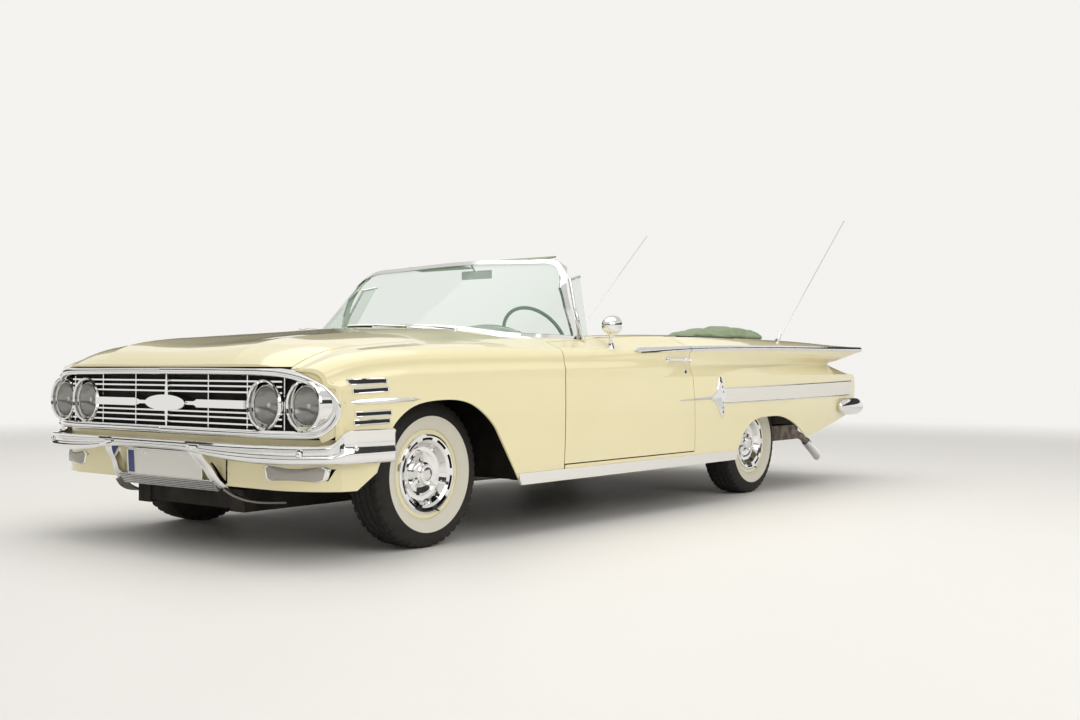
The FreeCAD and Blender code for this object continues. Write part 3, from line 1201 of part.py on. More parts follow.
BAR_LOW_STEP = 6.0


def bar_section(station):
    """Five-cornered section of the bumper bar at one station of its path."""
    x, y, turn, crease, top, low = station
    out = V(math.cos(math.radians(turn)), math.sin(math.radians(turn)), 0)
    ridge = V(x, y, 0)
    rear = ridge - out * BAR_DEPTH
    high = ridge - out * BAR_TOP_STEP
    under = ridge - out * BAR_LOW_STEP
    corners = [V(rear.x, rear.y, top), V(high.x, high.y, top), V(x, y, crease), V(under.x, under.y, low),
               V(rear.x, rear.y, low)]
    return Part.makePolygon(corners + corners[:1])


def quad(x0, x1, y0, y1, z):
    corners = [V(x0, y0, z), V(x1, y0, z), V(x1, y1, z), V(x0, y1, z)]
    return Part.makePolygon(corners + corners[:1])


def front_bumper():
    """Wrapped bar with two sloping guards, the pan between them and the blank number plate."""
    bar = Part.makeLoft([bar_section(station) for station in FRONT_BAR], True, True)
    body = PROUD.common(nose_plan(5, 90, 1110))
    guard = Part.makeLoft([quad(FRONT_X - 52, FRONT_X - 12, 298, 446, 462), quad(FRONT_X - 92,
                                                                                 FRONT_X - 50, 306, 452, 403),
                           quad(NOSE_X - 36, NOSE_X - 8, 326, 447, 332), quad(NOSE_X - 120, NOSE_X - 96,
                                                                              345, 426, 286)],
                          True, True)
    pan = plate_y([(NOSE_X - 96, 287), (NOSE_X - 32, 333), (NOSE_X - 38, 337), (NOSE_X - 102, 291)], 0, 350)
    arm_y = FRONT_RAIL_Y + RAIL_WIDTH / 2 + FIT
    bracket = plate_y([(FRONT_X - 40, 460), (FRONT_X - 40, 430), (NOSE_X - 140, 200), (NOSE_X - 230, 200),
                       (NOSE_X - 230, FRAME_TOP), (NOSE_X - 160, FRAME_TOP)], arm_y, arm_y + 12)
    plate = box(PLATE_X, PLATE_X + 6, 0, 260, 316, 428)
    bolt = V(PLATE_X - 20, PLATE_HOLE_SPACING / 2, PLATE_HOLE_Z)
    plate = plate.cut(rod(bolt, bolt + V(40, 0, 0), PLATE_HOLE_RADIUS))
    hanger = plate_y([(PLATE_X + 1, 400), (PLATE_X + 5, 400), (PLATE_X + 5, 436), (FRONT_X - 30, 456),
                      (FRONT_X - 30, 468), (PLATE_X + 1, 448)], 150, 180)
    skin = valance_block(VALANCE_STEP, OUTER).common(box(0, NOSE_X, -10, HALF, VALANCE_LOW, VALANCE_TOP))
    guard = guard.cut(skin)
    pan = pan.cut(box(0, NOSE_X + VALANCE_STEP + FIT, -10, 600, VALANCE_LOW - FIT, 400))
    half = fused([bar.cut(body), guard, bracket, plate, hanger, pan])
    return fused([half, mirrored(half)])


REAR_BLADE_LOW = 475.0
REAR_BLADE_HEIGHT = 102.0


def rear_bumper():
    """Blade under the tail with its lower pan and brackets."""
    outline = [(REAR_X, 0), (REAR_X + 6, 400), (REAR_X + 24, 760), (REAR_X + 90, 930), (REAR_X + 200, 985),
               (REAR_X + 381, 1004)]
    outer = curve([V(x, y, REAR_BLADE_LOW) for x, y in outline])
    inner = curve([V(x + 20, y - 14, REAR_BLADE_LOW) for x, y in outline])
    start = segment(inner.Vertexes[0].Point, outer.Vertexes[0].Point)
    end = segment(outer.Vertexes[-1].Point, inner.Vertexes[-1].Point)
    blade = Part.Face(Part.Wire([start, outer, end, inner])).extrude(V(0, 0, REAR_BLADE_HEIGHT))
    blade = blade.common(box(REAR_X, 0, -10, HALF, 400, 700)).cut(PROUD.cut(tail_trim()))
    low = box(REAR_X + 18, REAR_X + 30, -10, 640, 384, REAR_BLADE_LOW + 20)
    y1 = REAR_RAIL_Y - RAIL_WIDTH / 2 - FIT
    y0 = y1 - 15
    bracket = box(REAR_X + 20, FIN_TIP_X + 180, y0, y1, TRUNK_FLOOR - 80, TRUNK_FLOOR - 30)
    riser = box(REAR_X + 12, REAR_X + 50, y0, y1, TRUNK_FLOOR - 80, REAR_BLADE_LOW + 25)
    half = fused([blade, low, bracket, riser])
    return fused([half, mirrored(half)])


TAIL_LAMP_Z = 655.0
TAIL_LAMP_RADIUS = 34.0
TAIL_LAMP_SPACING = 88.0


def tail_lamps():
    """Three round lamps on each lobe, each a lens in its rim."""
    pieces = []
    for k in range(3):
        centre = V(LOBE_END_X, 692 + k * TAIL_LAMP_SPACING, TAIL_LAMP_Z)
        lens = rod(centre + V(-20, 0, 0), centre + V(-FIT, 0, 0), TAIL_LAMP_RADIUS)
        rim = rod(centre + V(-14, 0, 0), centre + V(-FIT, 0, 0), TAIL_LAMP_RADIUS + 7)
        bore = rod(centre + V(-30, 0, 0), centre + V(0, 0, 0), TAIL_LAMP_RADIUS + FIT)
        pieces.extend([lens, rim.cut(bore)])
    return both(Part.makeCompound(pieces))


SEAT_HALF = 690.0
SEAT_CUSHION_LOW = 436.0


def seat_front():
    """Bench with a split back, on a base at each side of the tunnel."""
    x = DOOR_FRONT_X - 1080
    cushion = plate_y([(x, SEAT_CUSHION_LOW), (x + 500, SEAT_CUSHION_LOW), (x + 540, 470), (x + 544, 548),
                       (x + 520, 584), (x + 440, 598), (x + 120, 574), (x, 566)], -SEAT_HALF, SEAT_HALF)
    back = plate_y([(x - 12, 556), (x + 100, 556), (x + 124, 640), (x + 96, 800), (x + 46, 940),
                    (x + 10, 984),
                    (x - 34, 996), (x - 66, 984), (x - 70, 950), (x - 30, 700)], 2, SEAT_HALF - 12)
    base = box(x + 40, x + 480, TUNNEL_HALF + 20, 560, FLOOR_HEIGHT + FIT, SEAT_CUSHION_LOW + 4)
    return fused([cushion, back, mirrored(back), base, mirrored(base)])


def seat_rear():
    """Rear bench on the kick-up, with its sloping back."""
    low = KICK_TOP + FIT
    x = REAR_AXLE_X
    nose = SEAT_RISER_X + 70
    cushion = plate_y([(x + 270, low), (SEAT_RISER_X - 60, low), (nose - 20, low), (nose, low + 30),
                       (nose, low + 84),
                       (nose - 26, low + 106), (x + 400, low + 96), (x + 270, low + 96)], -585, 585)
    back = plate_y([(x + 290, low), (x + 404, low + 80), (x + 372, 700), (x + 306, 900), (x + 286, 962),
                    (x + 250, 976), (x + 206, 966), (x + 196, 930), (x + 270, low)], -585, 585)
    return fused([cushion, back])


BOOT_SIDE_Y = CABIN_Y + 22
BOOT_INNER_Y = 610.0


def top_boot():
    """Cover over the folded top: a stack behind the rear seat with an arm along each side."""
    rear = DECK_LID_FRONT_X + 12
    low = WELL_WALL_TOP + FIT
    side = [(rear, low), (rear, 1008), (rear + 26, 1034), (WELL_REAR_X + 30, 1054), (WELL_REAR_X + 200, 1068),
            (WELL_REAR_X + 420, 1064), (WELL_FRONT_X - 200, 1046), (WELL_FRONT_X - 70, 1028),
            (WELL_FRONT_X - 16, 1006), (WELL_FRONT_X, 978), (WELL_FRONT_X, low)]
    y = BOOT_SIDE_Y
    across = [(-y, low), (-y, 1002), (-y + 14, 1024), (-y + 60, 1046), (-y + 160, 1062), (-300, 1070),
              (300, 1070),
              (y - 160, 1062), (y - 60, 1046), (y - 14, 1024), (y, 1002), (y, low)]
    whole = plate_y(side, -y, y).common(plate_x(across, rear - 10, WELL_FRONT_X + 10))
    seat_room = box(WELL_REAR_X + 360, WELL_FRONT_X + 10, -BOOT_INNER_Y, BOOT_INNER_Y, low - 10, 1100)
    whole = whole.cut(seat_room)
    side_skin = FULL_OUTER.common(fused([box(rear - 10, WELL_FRONT_X + 10, CABIN_Y - FIT, HALF, 800, 1100),
                                         box(rear - 10, WELL_FRONT_X + 10, -HALF, FIT - CABIN_Y, 800, 1100),
                                         box(rear - 10, WELL_REAR_X - 42 + FIT, -HALF, HALF, 800, 1100)]))
    return whole.cut(side_skin)


COLUMN_TILT = 30.0
COLUMN_DIR = V(math.cos(math.radians(COLUMN_TILT)), 0, -math.sin(math.radians(COLUMN_TILT)))
COLUMN_TOP = V(DOOR_FRONT_X - 577, 370, 939)
WHEEL_RADIUS = 205.0
HUB_DEPTH = 70.0
DASH_X = PILLAR_X + 150


def dashboard():
    """Dash with its rolled edge and face, the shelf to the firewall and the steering column."""
    front = FIREWALL_X - FIT
    x = DASH_X
    section = [(front, 878), (front, 940), (x + 60, 948), (x + 18, 944), (x, 928), (x - 2, 912),
               (x + 16, 900),
               (x + 4, 800), (x + 14, 720), (x + 40, 690), (x + 52, 690), (x + 60, 720), (x + 60, 878)]
    panel = plate_y(section, -758, 758).common(screen_footprint(COWL_LAP + 2)).common(body_raised(-SKIN - 2))
    column = rod(COLUMN_TOP + COLUMN_DIR * HUB_DEPTH, COLUMN_TOP + COLUMN_DIR * 760, 26)
    return fused([panel, column]).common(box(-500, front, -780, 780, 300, 1100))


def steering_wheel():
    """Thin rim with two spokes and the hub."""
    rim = Part.makeTorus(WHEEL_RADIUS, 10, COLUMN_TOP, COLUMN_DIR)
    hub = rod(COLUMN_TOP - COLUMN_DIR * 6, COLUMN_TOP + COLUMN_DIR * (HUB_DEPTH - FIT), 34)
    level = COLUMN_TOP + COLUMN_DIR * 4
    spoke = rod(level + V(0, -WHEEL_RADIUS, 0), level + V(0, WHEEL_RADIUS, 0), 8)
    return fused([rim, hub, spoke])


def sun_visors():
    """Two visors on a rail behind the top rail of the windshield, and the mirror on its stalk."""
    x = BASE_X - 668
    rail = rod(V(x, -500, 1372), V(x, 500, 1372), 5)
    raised = plate_y([(x - 4, 1374), (x - 130, 1402), (x - 132, 1394), (x - 6, 1366)], 110, 500)
    lowered = plate_y([(x - 4, 1378), (x - 134, 1368), (x - 134, 1360), (x - 6, 1368)], -500, -110)
    stalk = rod(V(x, 0, 1370), V(x - 44, 0, 1320), 5)
    mirror = box(x - 56, x - 40, -105, 105, 1290, 1338)
    feet = [box(x - 4, x + 60, y - 8, y + 8, 1368, 1376) for y in (-440, -120, 120, 440)]
    band = screen_solid(SCREEN_FRAME_OUT - 6, SCREEN_FRAME_IN + FIT)
    band_out = band.common(box(x - 10, x + 200, -600, 600, 1300, 1420))
    beyond = box(x + 34, x + 100, -600, 600, 1300, 1420)
    feet = fused(feet).cut(band_out).cut(beyond)
    return fused([rail, raised, lowered, stalk, mirror, feet])


VENT_TUBE = 8.0


def vent_points():
    """Corners of the left vent window: low front, middle, top front, top rear and low rear."""
    x = PILLAR_X
    return [V(x + 25, 886, 945), V(x + 15, 830, 1090), V(x - 33, 762, 1246), V(x - 135, 750, 1269),
            V(x - 26, 884, 950)]


def vent_tubes(radius):
    corners = vent_points()
    foot = corners[0] + (corners[0] - corners[1]) * 0.16
    path = [foot] + corners[1:4]
    bars = [rod(a, b, radius) for a, b in zip(path, path[1:])]
    bars += [Part.makeSphere(radius, p) for p in path[1:]]
    return fused(bars)


def vent_frame():
    return vent_tubes(VENT_TUBE).cut(OUTER)


def vent_glass():
    corners = vent_points()
    a = corners[0]
    normal = (corners[2] - a).cross(corners[4] - a)
    normal.normalize()
    flat = [p - normal * ((p - a).dot(normal)) for p in corners]
    pane = Part.Face(Part.makePolygon(flat + flat[:1])).extrude(normal * 4)
    return pane.cut(OUTER).cut(vent_tubes(VENT_TUBE + 0.01))


def door_handle():
    x = DOOR_REAR_X + 62
    grip = box(x, x + 220, HALF - 18, HALF - 4, 829, 841)
    foot_a = rod(V(x + 14, HALF - 80, 835), V(x + 14, HALF - 8, 835), 8)
    foot_b = rod(V(x + 206, HALF - 80, 835), V(x + 206, HALF - 8, 835), 8)
    return fused([grip, foot_a, foot_b]).cut(OUTER)


def door_mirror():
    """Round mirror with a bullet back on the left door."""
    foot = V(DOOR_FRONT_X - 464, 950, 880)
    base = Part.makeCylinder(26, 60, foot)
    stem = rod(V(foot.x, foot.y, 900), V(foot.x, foot.y, 1000), 10)
    head = Part.makeCone(58, 20, 90, V(foot.x - 20, foot.y, 1010), V(1, 0, 0))
    return fused([base, stem, head]).cut(OUTER)


def pipe(points, radius):
    """Round pipe through a line of points."""
    runs = [rod(a, b, radius) for a, b in zip(points, points[1:])]
    runs += [Part.makeSphere(radius, p) for p in points[1:-1]]
    return fused(runs)


def exhaust():
    """Front pipe over the rear axle, muffler with its hanger, tail pipe and bright tip, left side."""
    over_axle = 398.0
    front = pipe([V(FRONT_AXLE_X - 410, 430, 300), V(DOOR_FRONT_X + 120, 430, 235), V(SEAT_RISER_X + 150,
                                                                                      600, 235),
                  V(SEAT_RISER_X - 20, 600, 235), V(REAR_AXLE_X + 330, 579, over_axle),
                  V(REAR_AXLE_X - 300, 579, over_axle), V(REAR_AXLE_X - 480, 640, 352)], 23)
    muffler = box(REAR_AXLE_X - 900, REAR_AXLE_X - 470, 565, 735, 300, 400)
    hanger = box(REAR_AXLE_X - 700, REAR_AXLE_X - 660, 640, 660, 399, TRUNK_FLOOR - SHEET)
    tail = pipe([V(REAR_AXLE_X - 890, 700, 348), V(FIN_TIP_X + 374, 700, 301), V(FIN_TIP_X + 170, 700,
                                                                                 176)], 24)
    return fused([front, muffler, hanger, tail])


def fuel_tank():
    return box(FIN_TIP_X + 340, REAR_AXLE_X - 480, -420, 420, 235, TRUNK_FLOOR - SHEET - FIT)


def antennas():
    """Left rear antenna, leaned back."""
    base = V(REAR_AXLE_X - 360, 850, 960)
    tip = V(FIN_TIP_X, 850, 1873)
    foot = Part.makeCylinder(22, 26, base)
    mast = rod(base + V(0, 0, 14), tip, 3)
    return fused([foot, mast]).cut(OUTER)


def hood_hinge_axis():
    return V(HOOD_REAR_X + 150, 0, 900)


def hood_arms():
    """Hinge arms welded under the hood, one each side."""
    p = hood_hinge_axis()
    arm = plate_y([(p.x - 14, p.z - 14), (p.x + 14, p.z - 14), (p.x + 220, p.z + 60),
                   (p.x - 14, p.z + 60)], 640, 648)
    arm = arm.common(OUTER).cut(rod(V(p.x, 600, p.z), V(p.x, 700, p.z), LOCK_PIN + FIT))
    return arm.cut(SHELL)


def hood_brackets():
    p = hood_hinge_axis()
    plate = plate_y([(p.x - 14, p.z + 9), (p.x + 14, p.z + 9), (p.x + 60, 700), (p.x - 60, 700)], 649, 657)
    pin = rod(V(p.x, 636, p.z), V(p.x, 657, p.z), LOCK_PIN)
    return plate.fuse(pin)


def lid_hinge_axis():
    return V(DECK_LID_FRONT_X - 100, 0, 955)


def lid_arms():
    p = lid_hinge_axis()
    arm = plate_y([(p.x - 16, p.z - 16), (p.x + 16, p.z - 16), (p.x + 16, p.z + 60),
                   (p.x - 180, p.z + 60)], 560, 568)
    return arm.common(OUTER).cut(rod(V(p.x, 500, p.z), V(p.x, 700, p.z), LOCK_PIN + FIT)).cut(SHELL)


def lid_brackets():
    p = lid_hinge_axis()
    foot_x = WELL_REAR_X - 50
    plate = plate_y([(p.x - 14, p.z + 10), (p.x + 12, p.z + 4), (p.x + 30, p.z - 120), (foot_x, p.z - 120),
                     (foot_x, p.z - 180), (p.x - 14, p.z - 150)], 569, 577)
    pin = rod(V(p.x, 556, p.z), V(p.x, 577, p.z), LOCK_PIN)
    return plate.fuse(pin)


def main():
    os.makedirs("parts", exist_ok=True)
    left_door = door()
    export(left_door, "door_left")
    export(mirrored(left_door), "door_right")
    bright = [door_mouldings(), vent_frame(), door_handle()]
    export(together(bright + [door_mirror()]), "door_trim_left")
    export(mirrored(together(bright)), "door_trim_right")
    export(vent_glass(), "vent_glass_left")
    export(mirrored(vent_glass()), "vent_glass_right")
    arms = hood_arms()
    export(fused([hood(), arms, mirrored(arms)]), "hood")
    arms = lid_arms()
    export(fused([deck_lid(), arms, mirrored(arms)]), "deck_lid")
    left_fender = fender()
    export(left_fender, "fender_left")
    export(mirrored(left_fender), "fender_right")
    left_quarter = quarter()
    export(left_quarter, "quarter_left")
    export(mirrored(left_quarter), "quarter_right")
    export(cowl(), "cowl")
    export(together([tail_panel(), deck_front()]), "tail_panels")
    brackets = lid_brackets()
    tub = floor_tub()
    export(fused([tub, brackets, mirrored(brackets)]), "floor_tub")
    export(inner_sides(tub), "inner_sides")
    brackets = hood_brackets()
    export(fused([inner_fenders(), brackets, mirrored(brackets)]), "inner_fenders")
    export(chassis_frame(), "frame")
    export(engine(), "engine")
    export(driveline(), "driveline")
    export(front_suspension(), "front_suspension")
    left_knuckle = knuckle()
    export(left_knuckle, "knuckle_left")
    export(mirrored(left_knuckle), "knuckle_right")
    for name, x, y in (("front", FRONT_AXLE_X, FRONT_HUB_Y), ("rear", REAR_AXLE_X, REAR_HUB_Y)):
        for side, sign in (("left", 1), ("right", -1)):
            centre = V(x, sign * y, TYRE_RADIUS)
            export(tyre(centre, sign), "tyre_" + name + "_" + side)
            export(wheel(centre, sign), "wheel_" + name + "_" + side)
    frame, glass = windshield()
    export(frame, "windshield_frame")
    export(glass, "windshield_glass")
    trim = together(side_trim_left() + [antennas()])
    export(together([trim, mirrored(trim)]), "body_trim")
    export(both(stripe_left()), "side_stripes")
    export(grille(), "grille")
    export(front_lamps(), "front_lamps")
    export(front_bumper(), "bumper_front")
    export(valance(), "valance")
    export(rear_bumper(), "bumper_rear")
    export(tail_lamps(), "tail_lamps")
    export(seat_front(), "seat_front")
    export(seat_rear(), "seat_rear")
    export(top_boot(), "top_boot")
    export(dashboard(), "dashboard")
    export(steering_wheel(), "steering_wheel")
    export(sun_visors(), "sun_visors")
    export(exhaust(), "exhaust")
    export(fuel_tank(), "fuel_tank")


main()
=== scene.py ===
"""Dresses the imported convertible.

It adds paint, chrome, glass, cloth and rubber, and the small parts that the solids leave out.
"""

import math

import bmesh
import bpy
from mathutils import Matrix, Vector
from mathutils.bvhtree import BVHTree
from mathutils.noise import noise as soft_noise


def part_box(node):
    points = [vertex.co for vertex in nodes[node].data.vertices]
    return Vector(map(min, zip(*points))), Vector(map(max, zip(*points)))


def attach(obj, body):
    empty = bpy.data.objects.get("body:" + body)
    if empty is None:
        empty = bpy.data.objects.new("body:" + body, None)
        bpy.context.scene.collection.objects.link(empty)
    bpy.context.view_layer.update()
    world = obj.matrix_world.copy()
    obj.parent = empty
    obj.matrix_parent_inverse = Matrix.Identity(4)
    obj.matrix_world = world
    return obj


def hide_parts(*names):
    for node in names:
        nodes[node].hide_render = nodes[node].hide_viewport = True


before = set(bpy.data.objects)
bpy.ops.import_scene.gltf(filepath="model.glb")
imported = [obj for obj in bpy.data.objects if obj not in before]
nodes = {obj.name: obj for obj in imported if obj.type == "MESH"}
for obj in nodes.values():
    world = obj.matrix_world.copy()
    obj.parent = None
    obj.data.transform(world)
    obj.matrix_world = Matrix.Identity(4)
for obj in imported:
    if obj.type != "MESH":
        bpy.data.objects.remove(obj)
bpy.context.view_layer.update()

# Places in metres: X forward, Y to the car's left, Z up from the ground
FRONT_AXLE = Vector((1.831, 0.0, 0.322))
REAR_AXLE = Vector((-1.192, 0.0, 0.322))
FRONT_HUB_Y = 0.766
REAR_HUB_Y = 0.753
LAMPS = (Vector((2.524, 0.849, 0.635)), Vector((2.542, 0.631, 0.635)))

# Colours as linear values
BUTTER = (0.880, 0.800, 0.490, 1)
CHROME = (0.83, 0.83, 0.82, 1)
SAGE = (0.30, 0.38, 0.235, 1)
MINT = (0.52, 0.60, 0.45, 1)
RUBBER = (0.022, 0.020, 0.018, 1)


# Shader building blocks

def new_group(name, inputs, outputs):
    """An empty shader group with its sockets; inputs are (name, kind, default)."""
    group = bpy.data.node_groups.new(name, "ShaderNodeTree")
    for label, kind, default in inputs:
        socket = group.interface.new_socket(label, in_out="INPUT", socket_type="NodeSocket" + kind)
        socket.default_value = default
    for label, kind in outputs:
        group.interface.new_socket(label, in_out="OUTPUT", socket_type="NodeSocket" + kind)
    return group, group.nodes.new("NodeGroupInput"), group.nodes.new("NodeGroupOutput")


def wire(tree, source, target):
    """Links an output socket to an input socket."""
    tree.links.new(source, target)


def math_node(tree, operation, first, second=0.0, clamp=False):
    """Output of a math node; either side may be a socket or a number."""
    node = tree.nodes.new("ShaderNodeMath")
    node.operation = operation
    node.use_clamp = clamp
    for value, socket in zip((first, second), node.inputs):
        if isinstance(value, bpy.types.NodeSocket):
            wire(tree, value, socket)
        else:
            socket.default_value = value
    return node.outputs[0]


def mix_colour(tree, share, first, second):
    """Output of a colour mix; each input may be a socket or a value."""
    node = tree.nodes.new("ShaderNodeMix")
    node.data_type = "RGBA"
    for value, socket in zip((share, first, second), (node.inputs[0], node.inputs[6], node.inputs[7])):
        if isinstance(value, bpy.types.NodeSocket):
            wire(tree, value, socket)
        else:
            socket.default_value = value
    return node.outputs[2]


def ramp(tree, source, stops):
    """Colour ramp driven by source; stops are (position, colour or grey)."""
    node = tree.nodes.new("ShaderNodeValToRGB")
    wire(tree, source, node.inputs[0])
    while len(node.color_ramp.elements) < len(stops):
        node.color_ramp.elements.new(0.5)
    for element, (place, value) in zip(node.color_ramp.elements, stops):
        element.position = place
        element.color = value if isinstance(value, tuple) else (value, value, value, 1)
    return node.outputs[0]


def noise(tree, vector, scale, detail=3.0, roughness=0.55):
    """Output of a noise texture, from 0 to 1."""
    node = tree.nodes.new("ShaderNodeTexNoise")
    node.inputs["Scale"].default_value = scale
    node.inputs["Detail"].default_value = detail
    node.inputs["Roughness"].default_value = roughness
    if vector is not None:
        wire(tree, vector, node.inputs["Vector"])
    return node.outputs["Fac"]


def object_point(tree, scale=(1, 1, 1)):
    """Object coordinates in metres, stretched by scale."""
    coords = tree.nodes.new("ShaderNodeTexCoord")
    mapping = tree.nodes.new("ShaderNodeMapping")
    mapping.inputs["Scale"].default_value = scale
    wire(tree, coords.outputs["Object"], mapping.inputs["Vector"])
    return mapping.outputs["Vector"]


def make_mottle():
    """Slow drift of tone over a surface, with fine specks of dust."""
    group, given, made = new_group(
        "tone_drift",
        [("Colour", "Color", (0.5, 0.5, 0.5, 1)), ("Drift", "Float", 0.1), ("Scale", "Float", 3.0),
         ("Roughness", "Float", 0.4), ("Dust", "Float", 0.1)],
        [("Colour", "Color"), ("Roughness", "Float")])
    point = object_point(group)
    slow = group.nodes.new("ShaderNodeTexNoise")
    slow.inputs["Detail"].default_value = 4.0
    wire(group, point, slow.inputs["Vector"])
    wire(group, given.outputs["Scale"], slow.inputs["Scale"])
    fine = noise(group, point, 420.0, 2.0)
    shift = math_node(group, "SUBTRACT", slow.outputs["Fac"], 0.5)
    shift = math_node(group, "MULTIPLY", shift, given.outputs["Drift"])
    tone = math_node(group, "ADD", shift, 1.0)
    hue = group.nodes.new("ShaderNodeHueSaturation")
    wire(group, tone, hue.inputs["Value"])
    wire(group, given.outputs["Colour"], hue.inputs["Color"])
    specks = ramp(group, fine, [(0.60, 0.0), (0.78, 1.0)])
    veil = math_node(group, "MULTIPLY", specks, given.outputs["Dust"])
    wire(group, mix_colour(group, veil, hue.outputs["Color"], (0.30, 0.28, 0.24, 1)), made.inputs["Colour"])
    rough = math_node(group, "MULTIPLY", slow.outputs["Fac"], given.outputs["Drift"])
    rough = math_node(group, "ADD", rough, given.outputs["Roughness"])
    wire(group, math_node(group, "ADD", rough, math_node(group, "MULTIPLY", veil, 0.4), True),
         made.inputs["Roughness"])
    return group


def make_grain():
    """Embossed vinyl grain: soft irregular cells with finer creases; gives their height, and a crease mask
    that the vinyl uses for painted shade.
    """
    group, given, made = new_group(
        "vinyl_grain", [("Scale", "Float", 600.0), ("Depth", "Float", 1.0)],
                                   [("Height", "Float"), ("Crease Shade", "Float")])
    point = object_point(group)
    cells = group.nodes.new("ShaderNodeTexVoronoi")
    cells.feature = "DISTANCE_TO_EDGE"
    wire(group, point, cells.inputs["Vector"])
    wire(group, given.outputs["Scale"], cells.inputs["Scale"])
    crease = ramp(group, cells.outputs["Distance"], [(0.0, 0.0), (0.16, 1.0)])
    fine = noise(group, point, 1800.0, 2.0)
    height = math_node(group, "ADD", crease, math_node(group, "MULTIPLY", fine, 0.35))
    wire(group, math_node(group, "MULTIPLY", height, given.outputs["Depth"]), made.inputs["Height"])
    wire(group, crease, made.inputs["Crease Shade"])
    return group


def make_grime():
    """Dirt that gathers low on the car, in patches; a mask only."""
    group, given, made = new_group(
        "road_grime", [("Low", "Float", 0.2), ("High", "Float", 0.6), ("Scale", "Float", 9.0)],
                                   [("Mask", "Float")])
    place = group.nodes.new("ShaderNodeNewGeometry")
    split = group.nodes.new("ShaderNodeSeparateXYZ")
    wire(group, place.outputs["Position"], split.inputs[0])
    fall = group.nodes.new("ShaderNodeMapRange")
    wire(group, split.outputs["Z"], fall.inputs["Value"])
    wire(group, given.outputs["Low"], fall.inputs["From Min"])
    wire(group, given.outputs["High"], fall.inputs["From Max"])
    fall.inputs["To Min"].default_value = 1.0
    fall.inputs["To Max"].default_value = 0.0
    patch = group.nodes.new("ShaderNodeTexNoise")
    patch.inputs["Detail"].default_value = 5.0
    wire(group, object_point(group), patch.inputs["Vector"])
    wire(group, given.outputs["Scale"], patch.inputs["Scale"])
    blotch = ramp(group, patch.outputs["Fac"], [(0.35, 0.0), (0.70, 1.0)])
    wire(group, math_node(group, "MULTIPLY", fall.outputs["Result"], blotch, True), made.inputs["Mask"])
    return group


TONE_DRIFT = make_mottle()
VINYL_GRAIN = make_grain()
ROAD_GRIME = make_grime()


def placed(tree, group, **values):
    """A group node in a material with its values set."""
    node = tree.nodes.new("ShaderNodeGroup")
    node.node_tree = group
    for label, value in values.items():
        node.inputs[label].default_value = value
    return node


def new_material(name, **settings):
    """Material with its Principled shader; settings go on the shader's own sockets."""
    material = bpy.data.materials.new(name)
    material.use_nodes = True
    tree = material.node_tree
    shader = tree.nodes["Principled BSDF"]
    for label, value in settings.items():
        shader.inputs[label.replace("_", " ")].default_value = value
    return material, tree, shader


def bump(tree, shader, height, strength, distance):
    """Bends the shader's normal by a height."""
    node = tree.nodes.new("ShaderNodeBump")
    node.inputs["Strength"].default_value = strength
    node.inputs["Distance"].default_value = distance
    wire(tree, height, node.inputs["Height"])
    wire(tree, node.outputs["Normal"], shader.inputs["Normal"])
    return node


def toned(tree, shader, colour, drift, scale, roughness, dust):
    """Base colour and roughness through the shared drift of tone."""
    node = placed(tree, TONE_DRIFT, Colour=colour, Drift=drift, Scale=scale, Roughness=roughness, Dust=dust)
    wire(tree, node.outputs["Colour"], shader.inputs["Base Color"])
    wire(tree, node.outputs["Roughness"], shader.inputs["Roughness"])
    return node


# Materials

def enamel(name, colour, roughness=0.32, coat=1.0, peel=0.0006):
    """Old glossy enamel: clear top coat over a soft base, with a trace of orange peel."""
    material, tree, shader = new_material(name, Coat_Weight=coat, Coat_Roughness=0.04, IOR=1.45)
    toned(tree, shader, colour, 0.05, 1.6, roughness, 0.02)
    bump(tree, shader, noise(tree, object_point(tree), 260.0, 2.0), 0.12, peel)
    return material


def plated(name, colour=CHROME, roughness=0.05, pits=0.04):
    """Chrome plate with faint pits and wiping marks."""
    material, tree, shader = new_material(name, Metallic=1.0)
    point = object_point(tree)
    cloudy = noise(tree, point, 7.0, 5.0)
    fine = noise(tree, point, 900.0, 2.0)
    specks = ramp(tree, fine, [(0.68, 0.0), (0.80, 1.0)])
    haze = ramp(tree, cloudy, [(0.40, roughness), (0.75, roughness + 0.05)])
    rough = math_node(tree, "ADD", haze, math_node(tree, "MULTIPLY", specks, pits * 3), True)
    wire(tree, rough, shader.inputs["Roughness"])
    dark = tuple(c * 0.72 for c in colour[:3]) + (1,)
    wire(tree, mix_colour(tree, math_node(tree, "MULTIPLY", specks, pits * 8, True), colour, dark),
         shader.inputs["Base Color"])
    bump(tree, shader, cloudy, 0.03, 0.002)
    return material


def clear_glass(name, tint, roughness=0.02, alpha=0.20):
    """Thin window glass that keeps its tint from both sides, with light wiper haze."""
    material, tree, shader = new_material(name, IOR=1.5, Metallic=0.0, Specular_IOR_Level=0.6)
    haze = noise(tree, object_point(tree), 5.0, 4.0)
    wire(tree, ramp(tree, haze, [(0.35, roughness), (0.8, roughness + 0.06)]), shader.inputs["Roughness"])
    shader.inputs["Base Color"].default_value = tint
    shader.inputs["Alpha"].default_value = alpha
    return material


